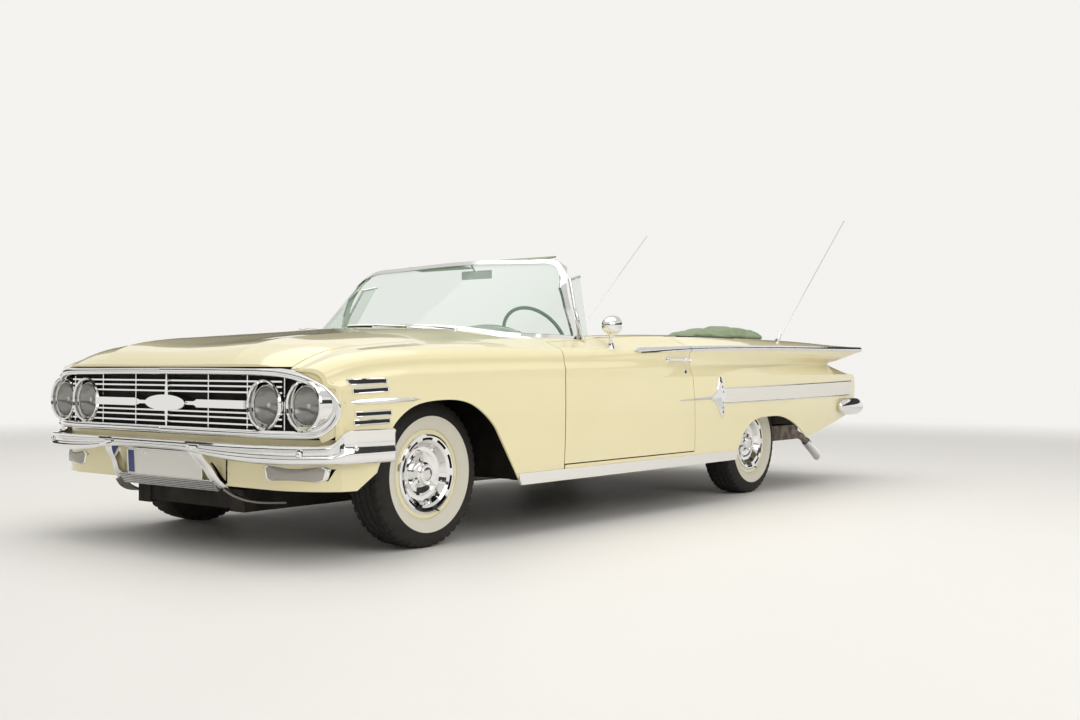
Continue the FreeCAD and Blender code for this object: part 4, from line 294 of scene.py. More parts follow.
def vinyl(name, colour, roughness=0.42, scale=620.0, depth=0.5):
    """Grained upholstery vinyl with a soft sheen, and painted shade darkening the creases of its grain."""
    material, tree, shader = new_material(name, Sheen_Weight=0.12, Specular_IOR_Level=0.45)
    grain = placed(tree, VINYL_GRAIN, Scale=scale, Depth=1.0)
    tone = placed(tree, TONE_DRIFT, Colour=colour, Drift=0.12, Scale=5.0, Roughness=roughness, Dust=0.05)
    dark = tuple(c * 0.72 for c in colour[:3]) + (1,)
    # Painted shade: the colour darkens to seven tenths in the grain's creases.
    wire(tree, mix_colour(tree, grain.outputs["Crease Shade"], dark, tone.outputs["Colour"]),
         shader.inputs["Base Color"])
    wire(tree, tone.outputs["Roughness"], shader.inputs["Roughness"])
    bump(tree, shader, grain.outputs["Height"], depth, 0.0008)
    return material


def rubber(name, colour=RUBBER, roughness=0.62, scuff=0.6):
    """Dark rubber with fine ribs of wear and a little road dust."""
    material, tree, shader = new_material(name, Specular_IOR_Level=0.35)
    tone = toned(tree, shader, colour, 0.35, 14.0, roughness, 0.10)
    dirt = placed(tree, ROAD_GRIME, Low=0.0, High=0.5, Scale=22.0)
    share = math_node(tree, "MULTIPLY", dirt.outputs["Mask"], scuff * 0.10)
    wire(tree, mix_colour(tree, share, tone.outputs["Colour"], (0.20, 0.18, 0.15, 1)),
         shader.inputs["Base Color"])
    bump(tree, shader, noise(tree, object_point(tree), 700.0, 3.0), 0.25, 0.0006)
    return material


def whitewall_band():
    """Cream white rubber, slightly chalky."""
    material, tree, shader = new_material("whitewall", Specular_IOR_Level=0.4)
    toned(tree, shader, (0.74, 0.71, 0.61, 1), 0.10, 9.0, 0.50, 0.05)
    bump(tree, shader, noise(tree, object_point(tree), 500.0, 2.0), 0.15, 0.0004)
    return material


def bare_metal(name, colour, roughness, rust=0.0, cast=0.0):
    """Dull metal under the car, with patches of rust and specks of dust."""
    material, tree, shader = new_material(name)
    point = object_point(tree)
    tone = placed(tree, TONE_DRIFT, Colour=colour, Drift=0.30, Scale=12.0, Roughness=roughness, Dust=0.15)
    patches = ramp(tree, noise(tree, point, 16.0, 6.0), [(0.45, 0.0), (0.66, 1.0)])
    share = math_node(tree, "MULTIPLY", patches, rust)
    wire(tree, mix_colour(tree, share, tone.outputs["Colour"], (0.13, 0.065, 0.035, 1)),
         shader.inputs["Base Color"])
    wire(tree, math_node(tree, "ADD", tone.outputs["Roughness"], math_node(tree, "MULTIPLY", share, 0.4),
                         True),
         shader.inputs["Roughness"])
    wire(tree, math_node(tree, "SUBTRACT", 0.85, share, True), shader.inputs["Metallic"])
    bump(tree, shader, noise(tree, point, 240.0 if cast else 90.0, 4.0), 0.25 + cast, 0.0012)
    return material


def chassis_black(name, colour=(0.020, 0.018, 0.016, 1)):
    """Satin black paint under a coat of dry road dirt."""
    material, tree, shader = new_material(name, Specular_IOR_Level=0.35)
    tone = placed(tree, TONE_DRIFT, Colour=colour, Drift=0.4, Scale=8.0, Roughness=0.55, Dust=0.2)
    dirt = placed(tree, ROAD_GRIME, Low=0.15, High=0.95, Scale=12.0)
    share = math_node(tree, "MULTIPLY", dirt.outputs["Mask"], 0.35)
    wire(tree, mix_colour(tree, share, tone.outputs["Colour"], (0.085, 0.062, 0.042, 1)),
         shader.inputs["Base Color"])
    wire(tree, tone.outputs["Roughness"], shader.inputs["Roughness"])
    bump(tree, shader, noise(tree, object_point(tree), 160.0, 4.0), 0.4, 0.001)
    return material


def carpet(name, colour):
    """Looped floor carpet: a fine nap with painted shade between the loops, and broad worn tones."""
    material, tree, shader = new_material(name, Sheen_Weight=0.3, Roughness=0.95)
    point = object_point(tree)
    loops = tree.nodes.new("ShaderNodeTexVoronoi")
    loops.inputs["Scale"].default_value = 260.0
    wire(tree, point, loops.inputs["Vector"])
    worn = noise(tree, point, 4.0, 4.0)
    dark = tuple(c * 0.55 for c in colour[:3]) + (1,)
    # Painted shade: the colour darkens towards the edges of each loop cell, between the loops.
    shaded_nap = mix_colour(tree, loops.outputs["Distance"], colour, dark)
    wire(tree, mix_colour(tree, ramp(tree, worn, [(0.3, 0.0), (0.8, 0.5)]), shaded_nap, dark),
         shader.inputs["Base Color"])
    bump(tree, shader, loops.outputs["Distance"], 0.7, 0.003)
    return material


def fluted_lens(name, tint, pitch=0.0075):
    """Moulded lens with upright flutes and a cross grid behind them."""
    material, tree, shader = new_material(name, IOR=1.5, Specular_IOR_Level=0.7)
    split = tree.nodes.new("ShaderNodeSeparateXYZ")
    wire(tree, object_point(tree), split.inputs[0])
    across = math_node(tree, "SINE", math_node(tree, "MULTIPLY", split.outputs["Y"], math.tau / pitch))
    down = math_node(tree, "SINE", math_node(tree, "MULTIPLY", split.outputs["Z"], math.tau / (pitch * 2.4)))
    flutes = math_node(tree, "ADD", across, math_node(tree, "MULTIPLY", down, 0.5))
    bump(tree, shader, flutes, 0.5, 0.0010)
    wire(tree, ramp(tree, flutes, [(0.0, 0.10), (1.0, 0.16)]), shader.inputs["Roughness"])
    shader.inputs["Base Color"].default_value = tint
    shader.inputs["Alpha"].default_value = tint[3]
    return material


def brushed_strip(name, colour):
    """Brushed metal insert with lengthwise scratches."""
    material, tree, shader = new_material(name, Metallic=0.15)
    streaks = noise(tree, object_point(tree, (3, 3, 900)), 1.0, 4.0)
    dark = tuple(c * 0.95 for c in colour[:3]) + (1,)
    wire(tree, mix_colour(tree, streaks, colour, dark), shader.inputs["Base Color"])
    wire(tree, ramp(tree, streaks, [(0.3, 0.26), (0.8, 0.36)]), shader.inputs["Roughness"])
    bump(tree, shader, streaks, 0.02, 0.0002)
    return material


MATERIALS = {
    "butter_enamel": enamel("butter_enamel", BUTTER),
    "chrome": plated("chrome"),
    "stainless": plated("stainless", (0.74, 0.73, 0.71, 1), 0.14, 0.02),
    "white_insert": brushed_strip("white_insert", (0.84, 0.82, 0.76, 1)),
    "screen_glass": clear_glass("screen_glass", (0.42, 0.62, 0.50, 1), 0.02, 0.17),
    "lamp_lens": fluted_lens("lamp_lens", (0.42, 0.43, 0.41, 0.30)),
    "parking_lens": fluted_lens("parking_lens", (0.50, 0.48, 0.44, 0.80), 0.009),
    "red_lens": fluted_lens("red_lens", (0.42, 0.012, 0.010, 1), 0.008),
    "sage_vinyl": vinyl("sage_vinyl", SAGE),
    "mint_vinyl": vinyl("mint_vinyl", MINT),
    "boot_vinyl": vinyl("boot_vinyl", (0.27, 0.35, 0.20, 1), 0.46, 480.0),
    "sage_enamel": enamel("sage_enamel", (0.24, 0.31, 0.19, 1), 0.30),
    "tyre_rubber": rubber("tyre_rubber"),
    "whitewall": whitewall_band(),
    "chassis_black": chassis_black("chassis_black", (0.010, 0.009, 0.008, 1)),
    "cast_iron": bare_metal("cast_iron", (0.10, 0.095, 0.09, 1), 0.60, 0.35, 0.5),
    "exhaust_steel": bare_metal("exhaust_steel", (0.30, 0.27, 0.24, 1), 0.45, 0.8),
    "tank_zinc": bare_metal("tank_zinc", (0.42, 0.42, 0.41, 1), 0.42, 0.15),
    "sage_carpet": carpet("sage_carpet", (0.16, 0.20, 0.12, 1)),
    "wheel_plastic": enamel("wheel_plastic", (0.035, 0.042, 0.032, 1), 0.28, 0.6),
    "shadow_black": enamel("shadow_black", (0.008, 0.008, 0.008, 1), 0.55, 0.0),
    "weight_lead": bare_metal("weight_lead", (0.42, 0.42, 0.43, 1), 0.50),
    "reflector": plated("reflector", (0.34, 0.33, 0.31, 1), 0.16, 0.03),
    "plate_white": enamel("plate_white", (0.80, 0.79, 0.75, 1), 0.35, 0.2),
    "plate_blue": enamel("plate_blue", (0.020, 0.045, 0.20, 1), 0.35, 0.2),
    "mesh_grey": bare_metal("mesh_grey", (0.30, 0.29, 0.27, 1), 0.42),
    "mirror_glass": plated("mirror_glass", (0.88, 0.89, 0.90, 1), 0.01, 0.0),
    "gauge_face": enamel("gauge_face", (0.012, 0.013, 0.012, 1), 0.40, 0.5),
    "needle_red": enamel("needle_red", (0.55, 0.05, 0.02, 1), 0.40, 0.3),
    "arch_dirt": chassis_black("arch_dirt", (0.030, 0.024, 0.018, 1)),
}

NODE_FINISH = {
    "butter_enamel": ["cowl", "fender_left", "fender_right", "quarter_left", "quarter_right", "tail_panels",
                      "valance",
                      "hood", "deck_lid", "door_left", "door_right"],
    "chrome": ["body_trim", "grille", "bumper_front", "bumper_rear", "windshield_frame", "door_trim_left",
               "door_trim_right", "wheel_front_left", "wheel_front_right", "wheel_rear_left",
               "wheel_rear_right"],
    "white_insert": ["side_stripes"],
    "screen_glass": ["windshield_glass", "vent_glass_left", "vent_glass_right"],
    "lamp_lens": ["front_lamps"],
    "red_lens": ["tail_lamps"],
    "sage_vinyl": ["seat_front", "seat_rear", "sun_visors"],
    "boot_vinyl": ["top_boot"],
    "sage_enamel": ["dashboard"],
    "tyre_rubber": ["tyre_front_left", "tyre_front_right", "tyre_rear_left", "tyre_rear_right"],
    "chassis_black": ["frame", "inner_fenders", "front_suspension"],
    "cast_iron": ["engine", "driveline", "knuckle_left", "knuckle_right"],
    "exhaust_steel": ["exhaust"],
    "tank_zinc": ["fuel_tank"],
    "sage_carpet": ["floor_tub"],
    "arch_dirt": ["inner_sides"],
    "wheel_plastic": ["steering_wheel"],
}


def zone(node, materials, choose):
    """Several materials on a solid; choose gives the slot from a face's middle and direction."""
    mesh = nodes[node].data
    mesh.materials.clear()
    for material in materials:
        mesh.materials.append(MATERIALS[material])
    for face in mesh.polygons:
        face.material_index = choose(face.center, face.normal)


def finish_nodes():
    """Gives every solid its material."""
    for finish, names in NODE_FINISH.items():
        for name in names:
            slots = nodes[name].data.materials
            slots.clear()
            slots.append(MATERIALS[finish])
    zone("sun_visors", ["sage_vinyl", "stainless"], lambda p,
         n: int(p.z < 1.345 and abs(p.y) < 0.115 and p.x < 0.56))
    zone("floor_tub", ["sage_carpet", "arch_dirt"], lambda p,
         n: int(n.z < -0.3 or p.z < 0.215 or p.x < -1.05))
    zone("tail_panels", ["butter_enamel", "chrome", "stainless"],
         lambda p, n: 2 if p.z < 0.73 else 1 if p.z > 0.97 else 0)


# Shape tools

SIDES = (("left", 1), ("right", -1))


def new_object(name, mesh, materials=()):
    """Object with a mesh and materials, linked to the scene."""
    obj = bpy.data.objects.new(name, mesh)
    bpy.context.scene.collection.objects.link(obj)
    for material in materials:
        mesh.materials.append(MATERIALS[material] if isinstance(material, str) else material)
    return obj


class Piece:
    """Points and faces of one piece, gathered strip by strip, each face with a material slot."""

    def __init__(self):
        self.points, self.faces, self.slots = [], [], []

    def add(self, points, faces, slot=0):
        start = len(self.points)
        self.points.extend(Vector(p) for p in points)
        self.faces.extend([start + i for i in face] for face in faces)
        self.slots.extend(slot if isinstance(slot, list) else [slot] * len(faces))

    def skin(self, loops, slot=0, closed=True, wrap=False, caps=True):
        """Faces between equal loops; slot may be one slot for each strip along the loop."""
        n = len(loops[0])
        faces, picks = [], []
        for i in range(len(loops) if wrap else len(loops) - 1):
            j = (i + 1) % len(loops)
            for k in range(n if closed else n - 1):
                m = (k + 1) % n
                faces.append((i * n + k, i * n + m, j * n + m, j * n + k))
                picks.append(slot[k] if isinstance(slot, list) else slot)
        if caps and closed and not wrap:
            end = (len(loops) - 1) * n
            faces += [tuple(range(n)), tuple(range(end, end + n))]
            picks += [picks[0], picks[-1]]
        self.add([p for loop in loops for p in loop], faces, picks)

    def lathe(self, profile, place, steps=48, slot=0, closed=False):
        """Turns (radius, height) points about the third axis of a placement."""
        loops = []
        for i in range(steps):
            a = math.tau * i / steps
            loops.append([place @ Vector((r * math.cos(a), r * math.sin(a), h)) for r, h in profile])
        self.skin(loops, slot, closed=closed, wrap=True)

    def sweep(self, path, outs, section, slot=0, sizes=None, wrap=False):
        """Carries a section of (across, out) points along a path with its outward directions."""
        loops = []
        for i, point in enumerate(path):
            back, ahead = path[i - 1 if i or wrap else 0], path[(i + 1) % len(path) if wrap
                                                                else min(i + 1, len(path) - 1)]
            along = (ahead - back).normalized()
            out = (outs[i] - along * outs[i].dot(along)).normalized()
            across = along.cross(out)
            size = sizes[i] if sizes else (1.0, 1.0)
            loops.append([point + across * b * size[0] + out * o * size[1] for b, o in section])
        self.skin(loops, slot, wrap=wrap)

    def tube(self, path, radius, sides=10, slot=0, wrap=False):
        """Round rod along a path; radius is one number or one for each point."""
        first = (path[1] - path[0]).normalized()
        out = first.orthogonal().normalized()
        outs = []
        for i in range(len(path)):
            ahead = heading(path, i).normalized()
            out = (out - ahead * out.dot(ahead)).normalized()
            outs.append(out)
        ring = [(math.cos(math.tau * k / sides), math.sin(math.tau * k / sides)) for k in range(sides)]
        sizes = [(r, r) for r in (radius if isinstance(radius, list) else [radius] * len(path))]
        self.sweep(path, outs, ring, slot, sizes, wrap)

    def plate(self, outline, lift, inset, place, slot=0, crown=0.0):
        """Raised plate from an outline in a placement's plane, with a bevelled edge and a crowned middle."""
        middle = middle_of(outline)
        rows = ((1.0, -0.004), (1.0, lift * 0.6), (1.0 - inset, lift), (0.45, lift + crown),
                (0.02, lift + crown * 1.2))
        loops = []
        for share, height in rows:
            loops.append([place @ Vector(((middle + (Vector(p) - middle) * share).to_tuple() + (height,)))
                          for p in outline])
        self.skin(loops, slot, caps=True)


def make(name, piece, materials, body="car", sharp=38.0):
    """Turns a gathered piece into an object that rides a body."""
    mesh = bpy.data.meshes.new(name)
    mesh.from_pydata([p.to_tuple() for p in piece.points], [], piece.faces)
    mesh.polygons.foreach_set("material_index", piece.slots)
    bm = bmesh.new()
    bm.from_mesh(mesh)
    bmesh.ops.remove_doubles(bm, verts=bm.verts, dist=2e-6)
    bmesh.ops.dissolve_degenerate(bm, edges=bm.edges, dist=1e-7)
    bmesh.ops.recalc_face_normals(bm, faces=bm.faces)
    bm.to_mesh(mesh)
    bm.free()
    mesh.shade_smooth()
    mesh.set_sharp_from_angle(angle=math.radians(sharp))
    obj = new_object(name, mesh, materials)
    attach(obj, body)
    return obj


def placement(centre, axis, up=(0, 0, 1)):
    """Frame at a centre whose third axis points along axis and first axis as near up as it can."""
    third = Vector(axis).normalized()
    first = Vector(up) - third * third.dot(Vector(up))
    first.normalize()
    second = third.cross(first)
    place = Matrix((first, second, third)).transposed().to_4x4()
    place.translation = Vector(centre)
    return place


def skin_of(*names):
    """Search tree over the meshes of some solids."""
    points, faces = [], []
    bpy.context.view_layer.update()
    for name in names:
        mesh, place = nodes[name].data, nodes[name].matrix_world
        start = len(points)
        points.extend(place @ v.co for v in mesh.vertices)
        faces.extend([start + i for i in p.vertices] for p in mesh.polygons)
    return BVHTree.FromPolygons(points, faces)


def hit(tree, start, aim, lift=0.0):
    """Point and outward direction where a line meets a skin."""
    place, normal, _, _ = tree.ray_cast(Vector(start), Vector(aim))
    if place is None:
        raise ValueError("no surface along the line from %s" % (tuple(start),))
    if normal.dot(Vector(aim)) > 0:
        normal = -normal
    return place + normal * lift, normal


def middle_of(points):
    """Mean of some flat points."""
    return sum((Vector(p) for p in points), Vector((0, 0))) / len(points)


def heading(path, i):
    """Step from the point before a path's point to the one after it."""
    return path[min(i + 1, len(path) - 1)] - path[max(i - 1, 0)]


def oval(place, across, up, height, count):
    """Ring of points in a placement's plane, lifted by a height."""
    return [place @ Vector((across * math.cos(a), up * math.sin(a), height))
            for a in [math.tau * k / count for k in range(count)]]


def rounded_outline(left, right, low, high, radius, steps):
    """Outline of a box with round corners, from its right and high corner round."""
    corners = ((right - radius, high - radius), (left + radius, high - radius),
               (left + radius, low + radius), (right - radius, low + radius))
    outline = []
    for quarter, (x, y) in enumerate(corners):
        for k in range(steps):
            a = math.radians(90 * quarter + 90 * k / (steps - 1))
            outline.append((x + radius * math.cos(a), y + radius * math.sin(a)))
    return outline


def smooth_rows(rows, steps):
    """Rows of points with smooth ones between them."""
    lines = [smooth_path([row[k] for row in rows], steps) for k in range(len(rows[0]))]
    return [list(loop) for loop in zip(*lines)]


def smooth_path(points, steps=8):
    """Points of a smooth curve through the given ones."""
    path = []
    count = len(points)
    for i in range(count - 1):
        a, b, c, d = (Vector(points[max(0, min(count - 1, j))]) for j in (i - 1, i, i + 1, i + 2))
        for k in range(steps):
            t = k / steps
            path.append(0.5 * (2 * b + (c - a) * t + (2 * a - 5 * b + 4 * c - d) * t * t
                               + (3 * b - 3 * c + d - a) * t * t * t))
    path.append(Vector(points[-1]))
    return path


PAINTED = skin_of("cowl", "fender_left", "fender_right", "quarter_left", "quarter_right", "hood", "deck_lid",
                  "tail_panels", "valance")
DOOR_SKIN = skin_of("door_left", "door_right")


def side_line(points, side, lift=0.0, doors=False):
    """Path on the body side through (x, z) points, with its outward directions."""
    tree = DOOR_SKIN if doors else PAINTED
    found = [hit(tree, (x, side * 1.3, z), (0, -side, 0), lift) for x, z in points]
    return [f[0] for f in found], [f[1] for f in found]


def between(first, last, count):
    """Evenly spaced (x, z) points between two."""
    return [tuple(a + (b - a) * i / (count - 1) for a, b in zip(first, last)) for i in range(count)]


# Tyres and wheels

# Tyre section in millimetres: side wall as (radius, across), white band, tread and its zigzag grooves
TYRE_SIDE = ((178.5, 63), (187, 64), (195.6, 67), (196.2, 76), (204, 82), (216, 89), (230, 95), (244, 98),
             (254, 99),
             (256, 100.2), (259, 100.0), (262, 98.6), (274, 97), (286, 94), (298, 89), (306, 85))
WHITE_OUTER = 254.0
WHITE_INNER = 196.2
TREAD_EDGE = 78.0
TREAD_DEPTH = 7.5
GROOVES = (-52.0, -19.0, 19.0, 52.0)
GROOVE_HALF = 3.4
TYRE_STEPS = 288
ZIGZAG = (0, 1, 2, 3, 2, 1)
ZIGZAG_STEP = 1.7


def crown_radius(y):
    """Tread radius across the tyre, in millimetres."""
    return 321.8 - 3.0 * (abs(y) / TREAD_EDGE) ** 2.2


def tread_row(step):
    """Profile of the tread at one step round the tyre, as (radius, across)."""
    shift = ZIGZAG[step % len(ZIGZAG)] * ZIGZAG_STEP - 2.5
    notch = 6.0 if step % 6 in (0, 1) else 0.0
    row = [(306.0, 85.0), (313.5 - notch, 82.5 - notch * 0.3), (crown_radius(TREAD_EDGE) - notch, TREAD_EDGE),
           (crown_radius(66) - notch * 0.9, 66.0)]
    for groove in reversed(GROOVES):
        for offset, depth in ((GROOVE_HALF, 0), (GROOVE_HALF - 1.0, 1), (1.0 - GROOVE_HALF, 1),
                              (-GROOVE_HALF, 0)):
            y = groove + offset + shift
            row.append((crown_radius(y) - depth * TREAD_DEPTH, y))
    row += [(crown_radius(66) - notch * 0.9, -66.0), (crown_radius(TREAD_EDGE) - notch, -TREAD_EDGE),
            (313.5 - notch, -82.5 + notch * 0.3), (306.0, -85.0)]
    return row


def tyre(name, centre, side, body):
    """Bias-ply tyre with a wide white band outside and zigzag ribs."""
    place = placement(centre, (0, side, 0))
    piece = Piece()
    outside = list(TYRE_SIDE[:-1])
    inside = [(r, -y) for r, y in reversed(outside)]
    loops = []
    for i in range(TYRE_STEPS):
        a = math.tau * i / TYRE_STEPS
        row = outside + tread_row(i) + inside
        loops.append([place @ Vector((r * math.cos(a) / 1000, r * math.sin(a) / 1000, y / 1000)) for r,
                      y in row])
    row = outside + tread_row(0) + inside
    slots = []
    for (r0, y0), (r1, y1) in zip(row, row[1:] + row[:1]):
        white = y0 > 60 and y1 > 60 and min(r0, r1) >= WHITE_INNER and max(r0, r1) <= WHITE_OUTER
        slots.append(1 if white else 0)
    piece.skin(loops, slots, closed=True, wrap=True)
    obj = make("tread_" + name, piece, ["tyre_rubber", "whitewall"], body, 30.0)
    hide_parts("tyre_" + name)


# Ribs of the wheel's dish in metres, and the turns of its weight and valve in degrees
DISH_RIBS, RIB_INNER, RIB_OUTER, RIB_HALF = 10, 0.118, 0.1365, 0.0042
WEIGHT_AT, VALVE_AT = 78, 200


def wheel_details(name, centre, side, body):
    """Painted rim band, slot shadows, ribs of the dish, middle disc, valve and balance weight."""
    place = placement(centre, (0, side, 0))
    piece = Piece()
    piece.lathe([(0.1768, 0.0735), (0.1768, 0.0758), (0.1840, 0.0775), (0.1950, 0.0762), (0.1962, 0.0735)],
                place, 96, 0)
    piece.lathe([(0.144, 0.0625), (0.1655, 0.0640)], place, 60, 1)
    for k in range(DISH_RIBS):
        turned = place @ Matrix.Rotation(math.tau * k / DISH_RIBS, 4, "Z")
        rows = []
        for share in (0.0, 0.25, 0.5, 0.75, 1.0):
            r = RIB_INNER + (RIB_OUTER - RIB_INNER) * share
            h = 0.0455 + 0.0265 * share + 0.004 * math.sin(math.pi * share)
            rows.append([turned @ Vector((r, y, z)) for y, z in (
                (-RIB_HALF, h - 0.006), (-RIB_HALF * 0.5, h), (RIB_HALF * 0.5, h), (RIB_HALF, h - 0.006))])
        piece.skin(rows, 2)
    # The middle disc's narrow groove is shadow black: painted shade.
    piece.lathe([(0.0, 0.0792), (0.026, 0.0790), (0.0285, 0.0776), (0.0300, 0.0790), (0.0385, 0.0782),
                 (0.0400, 0.0768),
                 (0.0415, 0.0740)], place, 64, [3, 2, 1, 2, 2, 2])
    piece.lathe([(0.0460, 0.0672), (0.0460, 0.0700), (0.0488, 0.0668), (0.0488, 0.0640)], place, 64, 2)
    weight = place @ Matrix.Rotation(math.radians(WEIGHT_AT), 4, "Z")
    rows = []
    for a in (-4.5, -4.0, 0.0, 4.0, 4.5):
        bow = weight @ Matrix.Rotation(math.radians(a), 4, "Z")
        grow = 0.5 if abs(a) > 4.2 else 1.0
        rows.append([bow @ Vector((0.1750, 0, 0.0785)), bow @ Vector((0.1770, 0, 0.0785 + 0.0045 * grow)),
                     bow @ Vector((0.1850, 0, 0.0785 + 0.0040 * grow)), bow @ Vector((0.1870, 0, 0.0760))])
    piece.skin(rows, 4)
    valve = place @ Matrix.Rotation(math.radians(VALVE_AT), 4, "Z")
    stem = placement(valve @ Vector((0.1700, 0, 0.0800)), valve.to_3x3() @ Vector((0.35, 0, 1)))
    piece.lathe([(0.0, 0.0175), (0.0030, 0.0170), (0.0034, 0.0080), (0.0042, 0.0075), (0.0042, -0.004)],
                stem, 14, 1)
    make("wheel_face_" + name, piece, ["butter_enamel", "shadow_black", "chrome", "stainless",
                                       "weight_lead"], body, 30.0)


def wheels():
    """A tyre and the small parts of its wheel at each corner."""
    for end, axle, hub in (("front", FRONT_AXLE, FRONT_HUB_Y), ("rear", REAR_AXLE, REAR_HUB_Y)):
        for side_name, side in SIDES:
            centre = (axle.x, side * hub, axle.z)
            name = end + "_" + side_name
            body = "wheel_" + name
            tyre(name, centre, side, body)
            wheel_details(name, centre, side, body)


# Bright side trim

BEAD = [(-0.006, -0.003), (-0.006, 0.001), (-0.0035, 0.0048), (0.0, 0.0062), (0.0035, 0.0048), (0.006, 0.001),
        (0.006, -0.003)]
STRIPE_FRONT = (-0.515, 0.588, 0.670)
STRIPE_BACK = (-2.555, 0.607, 0.701)
LOUVRE_HALF = 0.0095
LOUVRES = (((2.412, 0.727), (2.225, 0.733)), ((2.395, 0.692), (2.214, 0.699)),
           ((2.383, 0.600), (2.200, 0.604)), ((2.391, 0.567), (2.207, 0.572)))
SPEAR = ((2.440, 0.647), (2.030, 0.656))


def stripe_mouldings():
    """Bright beads above and below the side stripe."""
    piece = Piece()
    for _, side in SIDES:
        for low in (1, 2):
            ends = between((STRIPE_FRONT[0], STRIPE_FRONT[low]), (STRIPE_BACK[0], STRIPE_BACK[low]), 44)
            path, outs = side_line(ends, side, 0.0004)
            piece.sweep(path, outs, BEAD)
    make("stripe_beads", piece, ["chrome"])


def fender_spears():
    """Tapered spear along each front fender, ridged along its middle."""
    piece = Piece()
    for _, side in SIDES:
        path, outs = side_line(between(SPEAR[0], SPEAR[1], 36), side, 0.0004)
        sizes = []
        for i in range(36):
            t = i / 35
            if t < 0.87:
                wide = 0.55 + 0.45 * math.sin(math.pi * min(1.0, t * 1.15))
            else:
                wide = 0.78 * (1 - (t - 0.87) / 0.13) + 0.05
            sizes.append((max(0.05, wide), max(0.2, min(1.0, (1 - t) * 9))))
        section = [(-0.012, -0.003), (-0.011, 0.003), (-0.003, 0.009), (0.0, 0.0105), (0.003, 0.009),
                   (0.011, 0.003),
                   (0.012, -0.003)]
        piece.sweep(path, outs, section, 0, sizes)
    make("fender_spears", piece, ["chrome"], sharp=25.0)


def louvres():
    """Four slots a side, dark with painted shade, each in a thin bright frame."""
    piece = Piece()
    for _, side in SIDES:
        for front, back in LOUVRES:
            points = [tuple(a + (b - a) * t for a, b in zip(front, back))
                      for t in (0.0, 0.03, 0.2, 0.4, 0.6, 0.8, 0.97, 1.0)]
            top = [(x, z + LOUVRE_HALF) for x, z in points]
            low = [(x - 0.004, z - LOUVRE_HALF) for x, z in reversed(points)]
            path, outs = side_line(top + low, side, 0.0006)
            piece.sweep(path, outs, [(-0.0028, -0.002), (-0.0028, 0.0030), (0.0, 0.0046), (0.0028, 0.0030),
                                     (0.0028, -0.002)], 0, wrap=True)
            # The dark skin in each slot is painted shade.
            upper, _ = side_line(top, side, 0.0032)
            lower, _ = side_line(low[::-1], side, 0.0032)
            middle, _ = side_line([(x, z - LOUVRE_HALF * 0.2) for x, z in points], side, 0.0032)
            piece.skin([upper, middle, lower], 1, closed=False, caps=False)
    make("fender_slots", piece, ["chrome", "shadow_black"], sharp=45.0)


ORNAMENT = ((-0.463, 0.738), (-0.474, 0.741), (-0.486, 0.735), (-0.503, 0.703), (-0.519, 0.665),
            (-0.524, 0.620),
            (-0.520, 0.572), (-0.514, 0.508), (-0.505, 0.503), (-0.486, 0.515), (-0.458, 0.548),
            (-0.434, 0.578),
            (-0.408, 0.598), (-0.372, 0.610), (-0.372, 0.630), (-0.404, 0.641), (-0.428, 0.660),
            (-0.444, 0.692))
ORNAMENT_MIDDLE = (-0.470, 0.620)
ORNAMENT_SPEAR = ((-0.395, 0.620), (-0.018, 0.6105))
# The door's rear edge: the spear stops before it and goes on after it
DOOR_SEAM_X = (-0.187, -0.174)
ORNAMENT_DOTS = ((-0.481, 0.709), (-0.489, 0.681), (-0.497, 0.652), (-0.498, 0.590), (-0.492, 0.562),
                 (-0.499, 0.535))


def side_ornaments():
    """Tall wing with a long spear ahead of it; the spear's front part is on the door."""
    for name, side in SIDES:
        piece = Piece()
        mid_x, mid_z = ORNAMENT_MIDDLE
        loops = [side_line(ORNAMENT, side, 0.0)[0]]
        for share, lift in ((1.0, 0.0045), (0.93, 0.0075), (0.62, 0.0085), (0.3, 0.0115), (0.02, 0.0125)):
            path, _ = side_line([(mid_x + (x - mid_x) * share, mid_z + (z - mid_z) * share)
                                 for x, z in ORNAMENT], side, lift)
            loops.append(path)
        piece.skin(loops, 0)
        for x, z in ORNAMENT_DOTS:
            path, ways = side_line([(x, z)], side, 0.0092)
            piece.lathe([(0.0, 0.0014), (0.0045, 0.0010), (0.0062, -0.001)], placement(path[0], ways[0]), 16,
                        1)
        (back_x, back_z), (front_x, front_z) = ORNAMENT_SPEAR
        section = [(-0.0085, -0.003), (-0.0075, 0.003), (0.0, 0.0095), (0.0075, 0.003), (0.0085, -0.003)]
        for part, first, last, doors in ((piece, back_x, DOOR_SEAM_X[0], False),
                                         (Piece(), DOOR_SEAM_X[1], front_x, True)):
            points, sizes = [], []
            for i in range(16):
                x = first + (last - first) * i / 15
                t = (x - back_x) / (front_x - back_x)
                points.append((x, back_z + (front_z - back_z) * t))
                sizes.append((1.05 - 0.75 * t if t < 0.98 else 0.1, 1.0 - 0.45 * t if t < 0.98 else 0.2))
            path, outs = side_line(points, side, 0.0004, doors)
            part.sweep(path, outs, section, 0, sizes)
            if doors:
                make("ornament_spear_" + name, part, ["chrome"], "door_" + name, 25.0)
        make("ornament_" + name, piece, ["chrome", "shadow_black"], sharp=30.0)


LOCK_AT, LOCK_RADII = (-0.093, 0.767), (0.0125, 0.0185)


